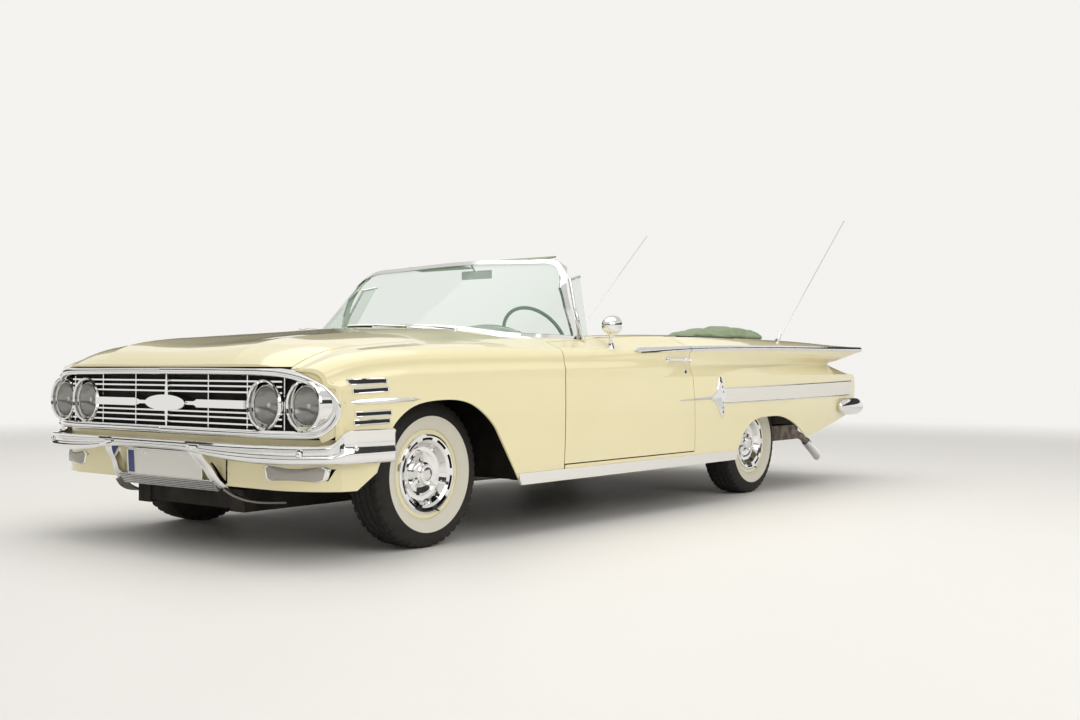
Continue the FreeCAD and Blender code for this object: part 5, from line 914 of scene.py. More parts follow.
def door_hardware():
    """Key lock, push button and the pads under the handle's ends, on each door."""
    for name, side in SIDES:
        piece = Piece()
        path, ways = side_line([LOCK_AT], side, 0.0, True)
        place = placement(path[0], ways[0])
        piece.skin([oval(place, LOCK_RADII[1] * share, LOCK_RADII[0] * share, height, 28) for share,
                    height in (
            (1.0, -0.002), (1.0, 0.003), (0.86, 0.006), (0.5, 0.0072), (0.05, 0.0075))], 0)
        # Painted shade: a black quad for the key slot.
        piece.add([place @ Vector(p) for p in ((-0.007, -0.0012, 0.0078), (0.007, -0.0012, 0.0078),
                                               (0.007, 0.0012, 0.0078), (-0.007, 0.0012, 0.0078))],
                  [(0, 1, 2, 3)], 1)
        knob = placement((-0.118, side * 1.0215, 0.829), (0, side, 0))
        piece.lathe([(0.0, 0.0125), (0.006, 0.0120), (0.0095, 0.0085), (0.0105, 0.002), (0.0105, -0.010)],
                    knob, 28)
        for x in (-0.108, 0.082):
            path, ways = side_line([(x, 0.835)], side, 0.0, True)
            foot = placement(path[0], ways[0])
            piece.lathe([(0.019, -0.002), (0.019, 0.002), (0.013, 0.005), (0.008, 0.016)], foot, 24)
        make("door_hardware_" + name, piece, ["chrome", "shadow_black"], "door_" + name)


def side_trim():
    """All bright trim on the two sides."""
    stripe_mouldings()
    fender_spears()
    louvres()
    side_ornaments()
    door_hardware()


# Front of the car

LAMP_STEPS = 72

# Front line of the nose in plan, as (x, y): where it stops being flat, its middle and its corner
NOSE_FLAT = Vector((2.590, 0.640))
NOSE_MIDDLE = Vector((2.552, 0.830))
NOSE_CORNER = Vector((2.456, 0.962))


def nose_x(y, offset=0.0):
    """Front line of the nose in plan, flat and then an arc round to the fender; offset is outward."""
    w = abs(y)
    if w <= NOSE_FLAT.y:
        return NOSE_FLAT.x + offset
    a = NOSE_FLAT + Vector((offset, 0))
    b = NOSE_MIDDLE + Vector((0.95, 0.3)) * offset
    c = NOSE_CORNER + Vector((0.8, 0.6)) * offset
    d = 2 * (a.x * (b.y - c.y) + b.x * (c.y - a.y) + c.x * (a.y - b.y))
    squares = [p.length_squared for p in (a, b, c)]
    centre = Vector(((squares[0] * (b.y - c.y) + squares[1] * (c.y - a.y) + squares[2] * (a.y - b.y)) / d,
                     (squares[0] * (c.x - b.x) + squares[1] * (a.x - c.x) + squares[2] * (b.x - a.x)) / d))
    return centre.x + math.sqrt(max(0.0, (a - centre).length_squared - (w - centre.y) ** 2))


def headlamps():
    """Four sealed lamps with rim, reflector, bulb shield and moulded lens, and the parking lamps."""
    piece = Piece()
    for lamp in LAMPS:
        for _, side in SIDES:
            centre = Vector((lamp.x, side * lamp.y, lamp.z))
            place = placement(centre, (1, 0, 0))
            piece.lathe([(0.0785, -0.046), (0.0790, 0.0045), (0.0782, 0.0060), (0.0770, 0.0055),
                         (0.0762, 0.0025),
                         (0.0762, -0.002)], place, LAMP_STEPS, 0)
            piece.lathe([(0.0765, 0.0005), (0.0735, 0.0030), (0.0690, 0.0036), (0.0560, 0.0062),
                         (0.0380, 0.0082),
                         (0.0190, 0.0092), (0.0, 0.0096)], place, LAMP_STEPS, 1)
            piece.lathe([(0.0765, 0.0), (0.0660, -0.020), (0.0480, -0.038), (0.0260, -0.0435),
                         (0.0, -0.0445)],
                        place, LAMP_STEPS, 2)
            piece.lathe([(0.0, -0.006), (0.0110, -0.008), (0.0120, -0.014), (0.0060, -0.020),
                         (0.0050, -0.042)],
                        place, 24, 3)
    obj = make("headlamp_set", piece, ["chrome", "lamp_lens", "reflector", "stainless"])
    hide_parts("front_lamps")
    parking_lamps()


PARKING = ((0.640, 0.383), (0.650, 0.345), (0.672, 0.335), (0.868, 0.335), (0.890, 0.345), (0.898, 0.383),
           (0.885, 0.392), (0.655, 0.392))
VALANCE_OFFSET = -0.040


def on_valance(points, side, lift):
    """Points (y, z) carried onto the rounded front of the valance."""
    return [Vector((nose_x(y, VALANCE_OFFSET + lift), side * y, z)) for y, z in points]


def parking_lamps():
    """Rectangular fluted lens in a thin bright frame, one each side under the bumper."""
    piece = Piece()
    middle = (0.770, 0.362)
    for _, side in SIDES:
        rows = []
        for share, lift in ((1.08, -0.002), (1.08, 0.004), (1.04, 0.0075), (0.99, 0.0065)):
            rows.append(on_valance([(middle[0] + (y - middle[0]) * share,
                                     middle[1] + (z - middle[1]) * share * 1.02)
                                    for y, z in PARKING], side, lift))
        piece.skin(rows, 0, caps=False)
        rows = []
        for share, lift in ((0.99, 0.0065), (0.9, 0.011), (0.5, 0.014), (0.03, 0.0145)):
            rows.append(on_valance([(middle[0] + (y - middle[0]) * share, middle[1] + (z - middle[1]) * share)
                                    for y, z in PARKING], side, lift))
        piece.skin(rows, 1)
    make("parking_lamps", piece, ["chrome", "parking_lens"])


# Line of the moulding round the grille, as (y, z)
SURROUND = ((0.0, 0.7700), (0.25, 0.7695), (0.50, 0.7680), (0.66, 0.7660), (0.76, 0.7600), (0.84, 0.7420),
            (0.905, 0.7080), (0.945, 0.6600), (0.956, 0.6150), (0.944, 0.5700), (0.915, 0.5350),
            (0.868, 0.5200),
            (0.70, 0.5190), (0.40, 0.5190), (0.0, 0.5190))
SKIRT_STARTS, SKIRT_WIDTH = 0.80, 0.034


def surround_moulding():
    """Double bright moulding round the grille and lamps, with a painted skirt outside it at the corners."""
    piece = Piece()
    for sign in (1, -1):
        path = smooth_path([Vector((nose_x(y), sign * y, z)) for y, z in SURROUND], 8)
        outs = [Vector((1.0, sign * 0.9 * max(0.0, abs(p.y) - 0.62) / 0.32, 0.0)).normalized() for p in path]
        section = [(-0.014, -0.010), (-0.014, 0.010), (-0.010, 0.0145), (-0.004, 0.0150), (-0.002, 0.0095),
                   (0.001, 0.0095), (0.003, 0.0150), (0.009, 0.0135), (0.013, 0.008), (0.014, -0.010)]
        piece.sweep(path, outs, section, 0)
        corner = [p for p in path if abs(p.y) > SKIRT_STARTS]
        inner, outer = [], []
        for i, p in enumerate(corner):
            ahead = heading(corner, i)
            away = Vector((0, sign * -ahead.z, sign * ahead.y)).normalized() * (-1 if sign > 0 else -1)
            if away.y * sign < -0.2:
                away = -away
            far = p + away * SKIRT_WIDTH
            inner.append(Vector((p.x - 0.004, p.y, p.z)))
            outer.append(Vector((nose_x(far.y) - 0.010, far.y, far.z)))
        piece.skin([inner, outer], 1, closed=False, caps=False)
    make("grille_moulding", piece, ["chrome", "butter_enamel"], sharp=45.0)


# Front bumper: stations of its path as (x, y, turn in degrees), and three outlines as (back, height)
BUMPER_PATH = ((2.672, 0.0, 0), (2.671, 0.20, 1), (2.668, 0.33, 2), (2.664, 0.44, 3), (2.657, 0.56, 5),
               (2.646, 0.69, 8), (2.628, 0.80, 18), (2.590, 0.874, 36), (2.540, 0.926, 48),
               (2.493, 0.962, 58),
               (2.448, 0.987, 66), (2.404, 1.001, 78), (2.314, 1.009, 87), (2.234, 1.010, 90),
               (2.196, 1.010, 90))
BAR_MIDDLE = ((0.034, 0.482), (0.012, 0.4835), (0.004, 0.480), (0.002, 0.474), (0.010, 0.468),
              (0.0115, 0.462),
              (0.004, 0.458), (0.0, 0.454), (0.003, 0.449), (0.012, 0.446), (0.034, 0.447))
BAR_OUTER = ((0.034, 0.480), (0.012, 0.4815), (0.004, 0.478), (0.003, 0.470), (0.018, 0.458), (0.020, 0.444),
             (0.004, 0.437), (0.0, 0.428), (0.002, 0.414), (0.010, 0.407), (0.034, 0.406))
BAR_END = ((0.034, 0.540), (0.006, 0.541), (0.001, 0.537), (0.001, 0.530), (0.0045, 0.525), (0.0045, 0.462),
           (0.001, 0.455), (0.0, 0.440), (0.001, 0.414), (0.008, 0.406), (0.034, 0.405))
BAR_MIX = (0.0, 0.08, 0.3, 0.62, 0.86, 1.0, 1.0, 1.0, 1.0, 1.12, 1.85, 2.0, 2.0, 2.0, 2.0)


def bar_profile(mix):
    """Outline of the bumper bar: 0 is its middle, 1 its outer part and 2 its end plate."""
    low, high, share = (BAR_MIDDLE, BAR_OUTER, mix) if mix <= 1 else (BAR_OUTER, BAR_END, mix - 1)
    return [tuple(a + (b - a) * share for a, b in zip(p, q)) for p, q in zip(low, high)]


def bumper_bar(piece, sign):
    """One half of the front bumper bar, from the middle round to its end plate."""
    rows = []
    stations = smooth_path([Vector(s) for s in BUMPER_PATH], 6)
    mixes = smooth_path([Vector((m, 0, 0)) for m in BAR_MIX], 6)
    for station, mix in zip(stations, mixes):
        a = math.radians(station.z)
        out = Vector((math.cos(a), sign * math.sin(a), 0))
        base = Vector((station.x, sign * station.y, 0))
        rows.append([base - out * back + Vector((0, 0, z)) for back,
                     z in bar_profile(min(2.0, max(0.0, mix.x)))])
    rows.append([Vector((p.x - 0.010, p.y - sign * 0.007, p.z + (0.472 - p.z) * 0.07)) for p in rows[-1]])
    piece.skin(rows, 0)


# Stations of a guard, as its middle and half width
GUARD = (((2.664, 0.300, 0.462), 0.034), ((2.660, 0.306, 0.446), 0.036), ((2.642, 0.316, 0.412), 0.030),
         ((2.612, 0.330, 0.372), 0.026), ((2.590, 0.344, 0.330), 0.026), ((2.560, 0.360, 0.292), 0.030),
         ((2.542, 0.368, 0.281), 0.030))


def bumper_guards(piece, sign):
    """Strut from the bar down to the pan, one each side of the plate."""
    rows = []
    for (x, y, z), half in GUARD:
        rows.append([Vector((x, sign * (y - half), z)),
                     Vector((x - 0.002, sign * (y - half * 0.7), z + 0.004)),
                     Vector((x + 0.006, sign * y, z + 0.002)),
                     Vector((x - 0.002, sign * (y + half * 0.7), z)),
                     Vector((x - 0.010, sign * (y + half), z)),
                     Vector((x - 0.036, sign * (y + half * 0.9), z)),
                     Vector((x - 0.036, sign * (y - half * 0.9), z))])
    piece.skin(smooth_rows(rows, 5), 0)


def front_bumper():
    """Bumper bar with its end plates, guards, straps, ribbed pan, plate holder and bolts."""
    piece = Piece()
    for _, sign in SIDES:
        bumper_bar(piece, sign)
        bumper_guards(piece, sign)
        for x, y, z, turn in ((2.402, 1.0000, 0.468, 78), (2.590, 0.8720, 0.447, 36)):
            a = math.radians(turn)
            out = Vector((math.cos(a), sign * math.sin(a), 0))
            place = placement(Vector((x, sign * y, z)) - out * 0.006, out)
            piece.lathe([(0.0, 0.0085), (0.006, 0.0080), (0.0105, 0.0050), (0.0125, 0.0015),
                         (0.0125, -0.006)],
                        place, 24, 0)
        strap = [Vector((2.548, sign * 0.366, 0.286)), Vector((2.500, sign * 0.395, 0.248)),
                 Vector((2.420, sign * 0.430, 0.222)),
                 Vector((2.300, sign * 0.450, 0.212))]
        strap = smooth_path(strap, 5)
        piece.sweep(strap, [Vector((0.3, 0, 1))] * len(strap),
                    [(-0.022, -0.004), (-0.022, 0.004), (0.022, 0.004), (0.022, -0.004)], 2)
    for k in range(5):
        z = 0.312 - 0.0085 * k
        x = 2.572 - 0.0060 * k
        path = [Vector((x, -0.335 + 0.67 * i / 10, z)) for i in range(11)]
        piece.sweep(path, [Vector((0.8, 0, 0.6))] * 11,
                    [(-0.007, -0.004), (-0.006, 0.002), (0.0, 0.0045), (0.006, 0.002),
                                                         (0.007, -0.004)], 0)
    path = [Vector((2.558, -0.33 + 0.66 * i / 10, 0.446)) for i in range(11)]
    piece.sweep(path, [Vector((1, 0, 0))] * 11,
                [(-0.020, -0.006), (-0.018, 0.0), (0.018, 0.0), (0.020, -0.006)], 1)
    path = [Vector((2.548, -0.33 + 0.66 * i / 10, 0.386)) for i in range(11)]
    piece.sweep(path, [Vector((1, 0, 0))] * 11,
                [(-0.062, -0.004), (-0.060, 0.0), (0.060, 0.0), (0.062, -0.004)], 2)
    obj = make("front_bumper_bar", piece, ["chrome", "stainless", "mesh_grey"], sharp=50.0)
    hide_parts("bumper_front")
    licence_plate()


def licence_plate():
    """Blank plate in its frame, with a coloured strip at one end and two screws."""
    piece = Piece()
    low, high, half = 0.316, 0.428, 0.262
    outline = rounded_outline(-half, half, low, high, 0.012, 5)

    def row(share_y, share_z, x):
        middle = (low + high) / 2
        return [Vector((x + (z - low) * 0.05, y * share_y, middle + (z - middle) * share_z)) for y,
                z in outline]

    piece.skin([row(1.012, 1.05, 2.574), row(1.012, 1.05, 2.580), row(1.0, 1.0, 2.582),
                row(0.992, 0.965, 2.5795)], 1,
               caps=False)
    piece.skin([row(0.992, 0.965, 2.5795), row(0.5, 0.5, 2.5797), row(0.02, 0.02, 2.5797)], 0)
    strip = [Vector((2.5805 + (z - low) * 0.05, y, z)) for y,
             z in ((-half + 0.006, low + 0.008), (-half + 0.050, low + 0.008),
                                                                     (-half + 0.050, high - 0.008),
                   (-half + 0.006, high - 0.008))]
    piece.add(strip, [(0, 1, 2, 3)], 2)
    for y in (-0.13, 0.13):
        place = placement((2.5845, y, high - 0.016), (1, 0, 0))
        piece.lathe([(0.0, 0.0035), (0.0035, 0.0030), (0.0050, 0.0)], place, 14, 1)
    make("blank_plate", piece, ["plate_white", "stainless", "plate_blue"])


# Windshield, wipers, mirrors and antennas

def wipers():
    """Two wipers at rest along the foot of the glass: pivot cap, arm and rubber blade."""
    piece = Piece()
    for pivot, elbow, tip, blade_in, blade_out in (
            ((1.262, 0.505, 0.968), (1.330, 0.300, 0.985), (1.395, 0.060, 0.996), (1.350, 0.250, 0.993),
             (1.405, -0.110, 1.000)),
            ((1.330, -0.330, 0.968), (1.330, -0.480, 0.985), (1.240, -0.660, 0.990), (1.315, -0.560, 0.990),
             (1.160, -0.770, 0.992))):
        cap = placement(Vector(pivot) + Vector((0, 0, -0.012)), (0.35, 0, 1))
        piece.lathe([(0.0, 0.030), (0.008, 0.029), (0.013, 0.023), (0.015, 0.012), (0.019, 0.008),
                     (0.020, -0.012)], cap, 24, 0)
        arm = smooth_path([Vector(pivot) + Vector((0, 0, 0.012)), Vector(elbow) + Vector((0, 0, 0.012)),
                           Vector(tip)], 6)
        wide = [1.0 - 0.45 * i / (len(arm) - 1) for i in range(len(arm))]
        piece.sweep(arm, [Vector((0.4, 0, 1))] * len(arm),
                    [(-0.006, -0.002), (-0.004, 0.002), (0.004, 0.002), (0.006, -0.002)],
                    0, [(w, 1.0) for w in wide])
        rail = [Vector(blade_in).lerp(Vector(blade_out), i / 10) for i in range(11)]
        bowed = [p + Vector((0.004, 0, 0.004)) * math.sin(math.pi * i / 10) for i, p in enumerate(rail)]
        piece.sweep(bowed, [Vector((0.6, 0, 0.8))] * 11,
                    [(-0.0035, 0.002), (-0.002, 0.006), (0.002, 0.006), (0.0035, 0.002)], 0)
        piece.sweep(rail, [Vector((0.6, 0, 0.8))] * 11,
                    [(-0.0030, -0.007), (-0.0030, 0.003), (0.0030, 0.003), (0.0030, -0.007)], 1)
    make("wipers", piece, ["chrome", "tyre_rubber"])


# Box round the left door's plain mirror
MIRROR_LOW, MIRROR_HIGH = (0.44, 0.90, 0.86), (0.66, 1.01, 1.07)


def outside_mirror():
    """Bullet mirror on a curved neck with an oval foot; it takes the place of the left door's plain one."""
    piece = Piece()
    head = placement((0.548, 0.958, 1.008), (1, 0.05, 0.0))
    piece.lathe([(0.0475, -0.006), (0.0505, -0.002), (0.0510, 0.006), (0.0500, 0.020), (0.0455, 0.038),
                 (0.0375, 0.056),
                 (0.0270, 0.070), (0.0150, 0.079), (0.0, 0.082)], head, 56, 0)
    piece.lathe([(0.0475, -0.006), (0.0455, -0.0035), (0.0, -0.0030)], head, 56, 1)
    neck = smooth_path([Vector((0.566, 0.952, 0.884)), Vector((0.566, 0.953, 0.912)),
                        Vector((0.571, 0.956, 0.940)),
                        Vector((0.574, 0.958, 0.966))], 6)
    radii = [0.021 - 0.011 * math.sin(math.pi * min(1.0, i / (len(neck) - 1) * 0.62))
             for i in range(len(neck))]
    piece.tube(neck, radii, 24, 0)
    foot = placement((0.566, 0.951, 0.878), (0.0, 0.12, 1))
    piece.skin([oval(foot, 0.026 * share, 0.044 * share, height, 40) for share, height in (
        (1.0, -0.006), (1.0, 0.004), (0.93, 0.008), (0.6, 0.012), (0.35, 0.018))], 0)
    obj = make("mirror_head", piece, ["chrome", "mirror_glass"], "door_left")
    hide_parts("door_trim_left")
    islands_outside("door_brightwork_left", "door_trim_left", MIRROR_LOW, MIRROR_HIGH, ["chrome"],
                    "door_left")


def islands_outside(name, node, low, high, materials, body):
    """Copy of a solid without the separate parts whose middle lies in a box; it replaces the solid."""
    bm = bmesh.new()
    bm.from_mesh(nodes[node].data)
    bmesh.ops.remove_doubles(bm, verts=bm.verts, dist=1e-6)
    bm.verts.ensure_lookup_table()
    seen, gone = set(), []
    for start in bm.verts:
        if start.index in seen:
            continue
        part, queue = [], [start]
        seen.add(start.index)
        while queue:
            vertex = queue.pop()
            part.append(vertex)
            for edge in vertex.link_edges:
                other = edge.other_vert(vertex)
                if other.index not in seen:
                    seen.add(other.index)
                    queue.append(other)
        middle = sum((v.co for v in part), Vector()) / len(part)
        if all(a < m < b for a, m, b in zip(low, middle, high)):
            gone += part
    bmesh.ops.delete(bm, geom=gone, context="VERTS")
    mesh = bpy.data.meshes.new(name)
    bm.to_mesh(mesh)
    bm.free()
    mesh.shade_smooth()
    mesh.set_sharp_from_angle(angle=math.radians(30))
    obj = new_object(name, mesh, materials)
    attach(obj, body)
    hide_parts(node)
    return obj


ANTENNA_BASE = (-1.552, 0.850, 0.969)


def antenna_feet():
    """Chrome cone on a dark oval pad under each rear antenna."""
    piece = Piece()
    for _, side in SIDES:
        base = Vector((ANTENNA_BASE[0], side * ANTENNA_BASE[1], ANTENNA_BASE[2]))
        place = placement(base + Vector((0, 0, -0.004)), (0, 0, 1), (1, 0, 0))
        piece.skin([oval(place, 0.034 * share, 0.024 * share, height - 0.004, 36) for share, height in (
            (1.0, 0.0), (1.0, 0.006), (0.9, 0.009), (0.3, 0.010))], 1)
        lean = placement(base + Vector((-0.002, 0, 0.003)), (-0.42, 0, 0.78), (1, 0, 0))
        piece.lathe([(0.020, -0.004), (0.019, 0.003), (0.0125, 0.012), (0.0085, 0.028), (0.0070, 0.042),
                     (0.0080, 0.046),
                     (0.0080, 0.052), (0.0045, 0.058), (0.0030, 0.074), (0.0, 0.075)], lean, 28, 0)
    make("antenna_feet", piece, ["chrome", "tyre_rubber"])


# Cabin

# Section of the hump over the gauges, as (x, z, rise in its middle)
HOOD_SECTION = ((1.020, 0.945, 0.0), (1.000, 0.950, 0.030), (0.940, 0.955, 0.052), (0.880, 0.955, 0.060),
                (0.846, 0.950, 0.056), (0.834, 0.944, 0.048), (0.838, 0.938, 0.040), (0.860, 0.936, 0.034),
                (0.880, 0.930, 0.0))


def gauge_hood():
    """Dash hump over the gauges, with a rolled lip, in front of the wheel."""
    piece = Piece()
    rows = []
    for k in range(13):
        t = k / 12
        y = 0.120 + 0.500 * t
        swell = math.sin(math.pi * t) ** 0.55
        rows.append([Vector((x, y, z + rise * swell)) for x, z, rise in HOOD_SECTION])
    piece.skin(rows, 0)
    make("gauge_hood", piece, ["sage_enamel"])


def gauges():
    """Five round gauges in bright rims under the hump, and a glove box lid and a radio with two knobs on the
    dash face.
    """
    piece = Piece()
    face_x = 0.8395
    for y, r in ((0.190, 0.036), (0.275, 0.044), (0.370, 0.052), (0.465, 0.044), (0.550, 0.036)):
        place = placement((face_x + 0.004, y, 0.868), (-1, 0, 0.12))
        piece.lathe([(r + 0.006, -0.012), (r + 0.006, 0.006), (r + 0.003, 0.011), (r - 0.002, 0.008),
                     (r - 0.002, 0.002)], place, 40, 0)
        piece.lathe([(r - 0.002, 0.001), (0.0, 0.001)], place, 40, 1)
        for k in range(9):
            a = math.radians(-130 + 260 * k / 8)
            turned = place @ Matrix.Rotation(a, 4, "Z")
            piece.add([turned @ Vector(p) for p in ((r * 0.72, -0.0008, 0.0016), (r * 0.88, -0.0008, 0.0016),
                                                    (r * 0.88, 0.0008, 0.0016), (r * 0.72, 0.0008, 0.0016))],
                      [(0, 1, 2, 3)], 2)
        needle = place @ Matrix.Rotation(math.radians(-70), 4, "Z")
        piece.add([needle @ Vector(p) for p in ((-0.006, -0.0012, 0.0022), (r * 0.7, -0.0004, 0.0022),
                                                (r * 0.7, 0.0004, 0.0022),
                                                (-0.006, 0.0012, 0.0022))], [(0, 1, 2, 3)], 3)
    for low, high, half_z, z, slot in ((-0.620, -0.290, 0.052, 0.850, 0), (-0.105, 0.105, 0.030, 0.800, 0)):
        outline = rounded_outline(low, high, z - half_z, z + half_z, 0.014, 4)
        path = [Vector((face_x, y, zz)) for y, zz in outline]
        piece.sweep(path, [Vector((-1, 0, 0))] * len(path),
                    [(-0.003, -0.006), (-0.0025, 0.003), (0.0025, 0.003), (0.003, -0.006)],
                    slot, wrap=True)
    for y in (-0.080, 0.080):
        place = placement((face_x, y, 0.800), (-1, 0, 0))
        piece.lathe([(0.0, 0.022), (0.008, 0.021), (0.010, 0.016), (0.010, 0.004), (0.014, 0.0)], place, 20,
                    0)
    make("dash_gauges", piece, ["chrome", "gauge_face", "plate_white", "needle_red"])


WHEEL_CENTRE = Vector((0.453, 0.370, 0.939))
WHEEL_AXIS = Vector((-0.866, 0.0, 0.5))


def steering_parts():
    """Bright half ring and hub cap on the steering wheel."""
    piece = Piece()
    place = placement(WHEEL_CENTRE, WHEEL_AXIS)
    piece.lathe([(0.0, 0.018), (0.014, 0.017), (0.024, 0.012), (0.028, 0.004), (0.028, -0.010)], place, 40, 0)
    ring = [place @ Vector((0.128 * math.cos(a), 0.128 * math.sin(a), -0.006))
            for a in [math.radians(100 + 160 * k / 30) for k in range(31)]]
    piece.tube(ring, 0.0035, 10, 0)
    make("wheel_hub_cap", piece, ["chrome"], "steering_wheel")


def pedals():
    """Brake and clutch pads on stalks, and the long throttle pedal."""
    piece = Piece()
    for y, half_y, half_z, x, z in ((0.300, 0.034, 0.026, 0.935, 0.430), (0.440, 0.030, 0.026, 0.935, 0.430),
                                    (0.215, 0.022, 0.075, 0.985, 0.380)):
        place = placement((x, y, z), (-0.85, 0, 0.5))
        piece.plate(rounded_outline(-half_z, half_z, -half_y, half_y, 0.008, 3), 0.010, 0.06, place, 0)
        for k in range(5):
            offset = (k - 2) * half_z * 0.34
            rib = [place @ Vector((offset, -half_y * 0.8, 0.0105)),
                   place @ Vector((offset, half_y * 0.8, 0.0105))]
            piece.sweep(rib, [WHEEL_AXIS] * 2, [(-0.002, -0.001), (0, 0.0025), (0.002, -0.001)], 0)
        stalk = smooth_path([place @ Vector((0, 0, -0.004)), place @ Vector((0.05, 0, -0.05)),
                             Vector((1.130, y, z + 0.20))], 6)
        piece.tube(stalk, 0.007, 10, 1)
    make("pedals", piece, ["tyre_rubber", "chassis_black"])


def door_panels():
    """Pleated trim on the inside of each door with bright beads, handle and winder."""
    for name, side in SIDES:
        piece = Piece()
        y = side * 0.8145
        rows = []
        count = 44
        for k in range(count + 1):
            x = -0.120 + 1.020 * k / count
            depth = 0.006 * abs(math.sin(math.pi * k / 2))
            rows.append([Vector((x, y, 0.430)), Vector((x, y - side * (0.004 + depth), 0.440)),
                         Vector((x, y - side * (0.006 + depth), 0.500)),
                         Vector((x, y - side * (0.004 + depth), 0.575)),
                         Vector((x, y, 0.583))])
        piece.skin(rows, 1, closed=False, caps=False)
        rows = []
        for k in range(25):
            x = -0.130 + 1.040 * k / 24
            rows.append([Vector((x, y, 0.655)), Vector((x, y - side * 0.010, 0.662)),
                         Vector((x, y - side * 0.014, 0.740)),
                         Vector((x, y - side * 0.010, 0.822)), Vector((x, y, 0.830))])
        piece.skin(rows, 0, closed=False, caps=False)
        for z in (0.436, 0.580, 0.650, 0.838):
            path = [Vector((-0.130 + 1.040 * k / 12, y, z)) for k in range(13)]
            piece.sweep(path, [Vector((0, -side, 0))] * 13,
                        [(-0.004, -0.002), (-0.003, 0.004), (0.003, 0.004), (0.004, -0.002)], 2)
        for x, z, r in ((0.620, 0.700, 0.024), (0.300, 0.700, 0.022)):
            hub = placement((x, y - side * 0.010, z), (0, -side, 0))
            piece.lathe([(0.0, 0.018), (r * 0.5, 0.016), (r, 0.008), (r, -0.004)], hub, 24, 2)
            arm = [hub @ Vector((0, 0, 0.016)), hub @ Vector((-0.035, 0.020, 0.022)),
                   hub @ Vector((-0.075, 0.045, 0.018))]
            piece.tube(smooth_path(arm, 5), 0.006, 10, 2)
        make("door_trim_pad_" + name, piece, ["sage_vinyl", "mint_vinyl", "chrome"], "door_" + name)


def top_moulding(piece, tree, line, side):
    """Half round strip laid on a skin from above, along a line of (x, y) points."""
    path = [hit(tree, (x, side * y, 1.6), (0, 0, -1), 0.0005)[0] for x, y in line]
    section = [(-0.006, -0.002), (-0.005, 0.003), (0.0, 0.0045), (0.005, 0.003), (0.006, -0.002)]
    piece.sweep(path, [Vector((0, 0, 1))] * len(path), section, 0)


def cockpit_edge():
    """Thin bright moulding along the top of the cabin's sides and of each door."""
    piece = Piece()
    for _, side in SIDES:
        top_moulding(piece, PAINTED, between((-0.215, 0.868), (-0.90, 0.866), 20), side)
    make("cockpit_moulding", piece, ["chrome"])
    for name, side in SIDES:
        door = Piece()
        top_moulding(door, DOOR_SKIN, between((-0.175, 0.868), (0.560, 0.868), 24), side)
        make("door_moulding_" + name, door, ["chrome"], "door_" + name)


# Padded pieces

def pad_copy(name, node, shrink):
    """Copy of a soft solid, drawn in a little, for the padding to swell from."""
    source = nodes[node].data.copy()
    bm = bmesh.new()
    bm.from_mesh(source)
    bmesh.ops.remove_doubles(bm, verts=bm.verts, dist=1e-5)
    bmesh.ops.holes_fill(bm, edges=[e for e in bm.edges if e.is_boundary], sides=0)
    bm.normal_update()
    bmesh.ops.recalc_face_normals(bm, faces=bm.faces)
    bm.normal_update()
    for vertex in bm.verts:
        vertex.co -= vertex.normal * shrink
    mesh = bpy.data.meshes.new(name)
    bm.to_mesh(mesh)
    bm.free()
    bpy.data.meshes.remove(source)
    return mesh


def apply_modifiers(obj):
    """Replaces an object's mesh by its evaluated one."""
    graph = bpy.context.evaluated_depsgraph_get()
    graph.update()
    mesh = bpy.data.meshes.new_from_object(obj.evaluated_get(graph))
    old = obj.data
    obj.modifiers.clear()
    obj.data = mesh
    bpy.data.meshes.remove(old)


CLOTH_FRAMES = 20


def swollen(obj, voxel, cap, pressure=4.0):
    """Remeshes a pad and lets cloth pressure swell it, with a limit on how far a point moves."""
    remesh = obj.modifiers.new("voxels", "REMESH")
    remesh.mode = "VOXEL"
    remesh.voxel_size = voxel
    remesh.use_smooth_shade = True
    apply_modifiers(obj)
    rest = [v.co.copy() for v in obj.data.vertices]
    cloth = obj.modifiers.new("cloth", "CLOTH")
    cloth.settings.quality = 4
    cloth.settings.mass = 0.4
    cloth.settings.tension_stiffness = 25
    cloth.settings.compression_stiffness = 25
    cloth.settings.bending_stiffness = 6
    cloth.settings.use_pressure = True
    cloth.settings.uniform_pressure_force = pressure
    cloth.settings.effector_weights.gravity = 0.0
    cloth.point_cache.frame_start = 1
    cloth.point_cache.frame_end = CLOTH_FRAMES
    scene = bpy.context.scene
    for step in range(1, CLOTH_FRAMES + 1):
        scene.frame_set(step)
    apply_modifiers(obj)
    scene.frame_set(1)
    for vertex, start in zip(obj.data.vertices, rest):
        move = vertex.co - start
        if move.length > cap:
            vertex.co = start + move.normalized() * cap
    return obj


def press(obj, depth_at):
    """Sinks seams and channels into a pad along its own directions."""
    moved = [v.co - v.normal * depth_at(v.co, v.normal) for v in obj.data.vertices]
    for vertex, place in zip(obj.data.vertices, moved):
        vertex.co = place


def groove(distance, width, depth):
    """Depth of a soft channel at a distance from its middle."""
    return depth * math.exp(-(distance / width) ** 2)


def pad_block(profile, low_y, high_y, rounding, steps=5):
    """Closed pad mesh from an (x, z) profile carried across the car, rounded in at both ends."""
    piece = Piece()
    middle = middle_of(profile)
    ends = [(low_y + rounding * (1 - math.cos(math.pi / 2 * i / steps)), math.sin(math.pi / 2 * i / steps))
            for i in range(steps + 1)]
    stations = [(y, 1 - rounding * 2.2 * (1 - s)) for y, s in ends]
    stations += [(low_y + high_y - y, s) for y, s in reversed(stations)]
    piece.skin([[Vector((middle.x + (x - middle.x) * s, y, middle.y + (z - middle.y) * s)) for x,
                 z in profile]
                for y, s in stations], 0)
    return piece


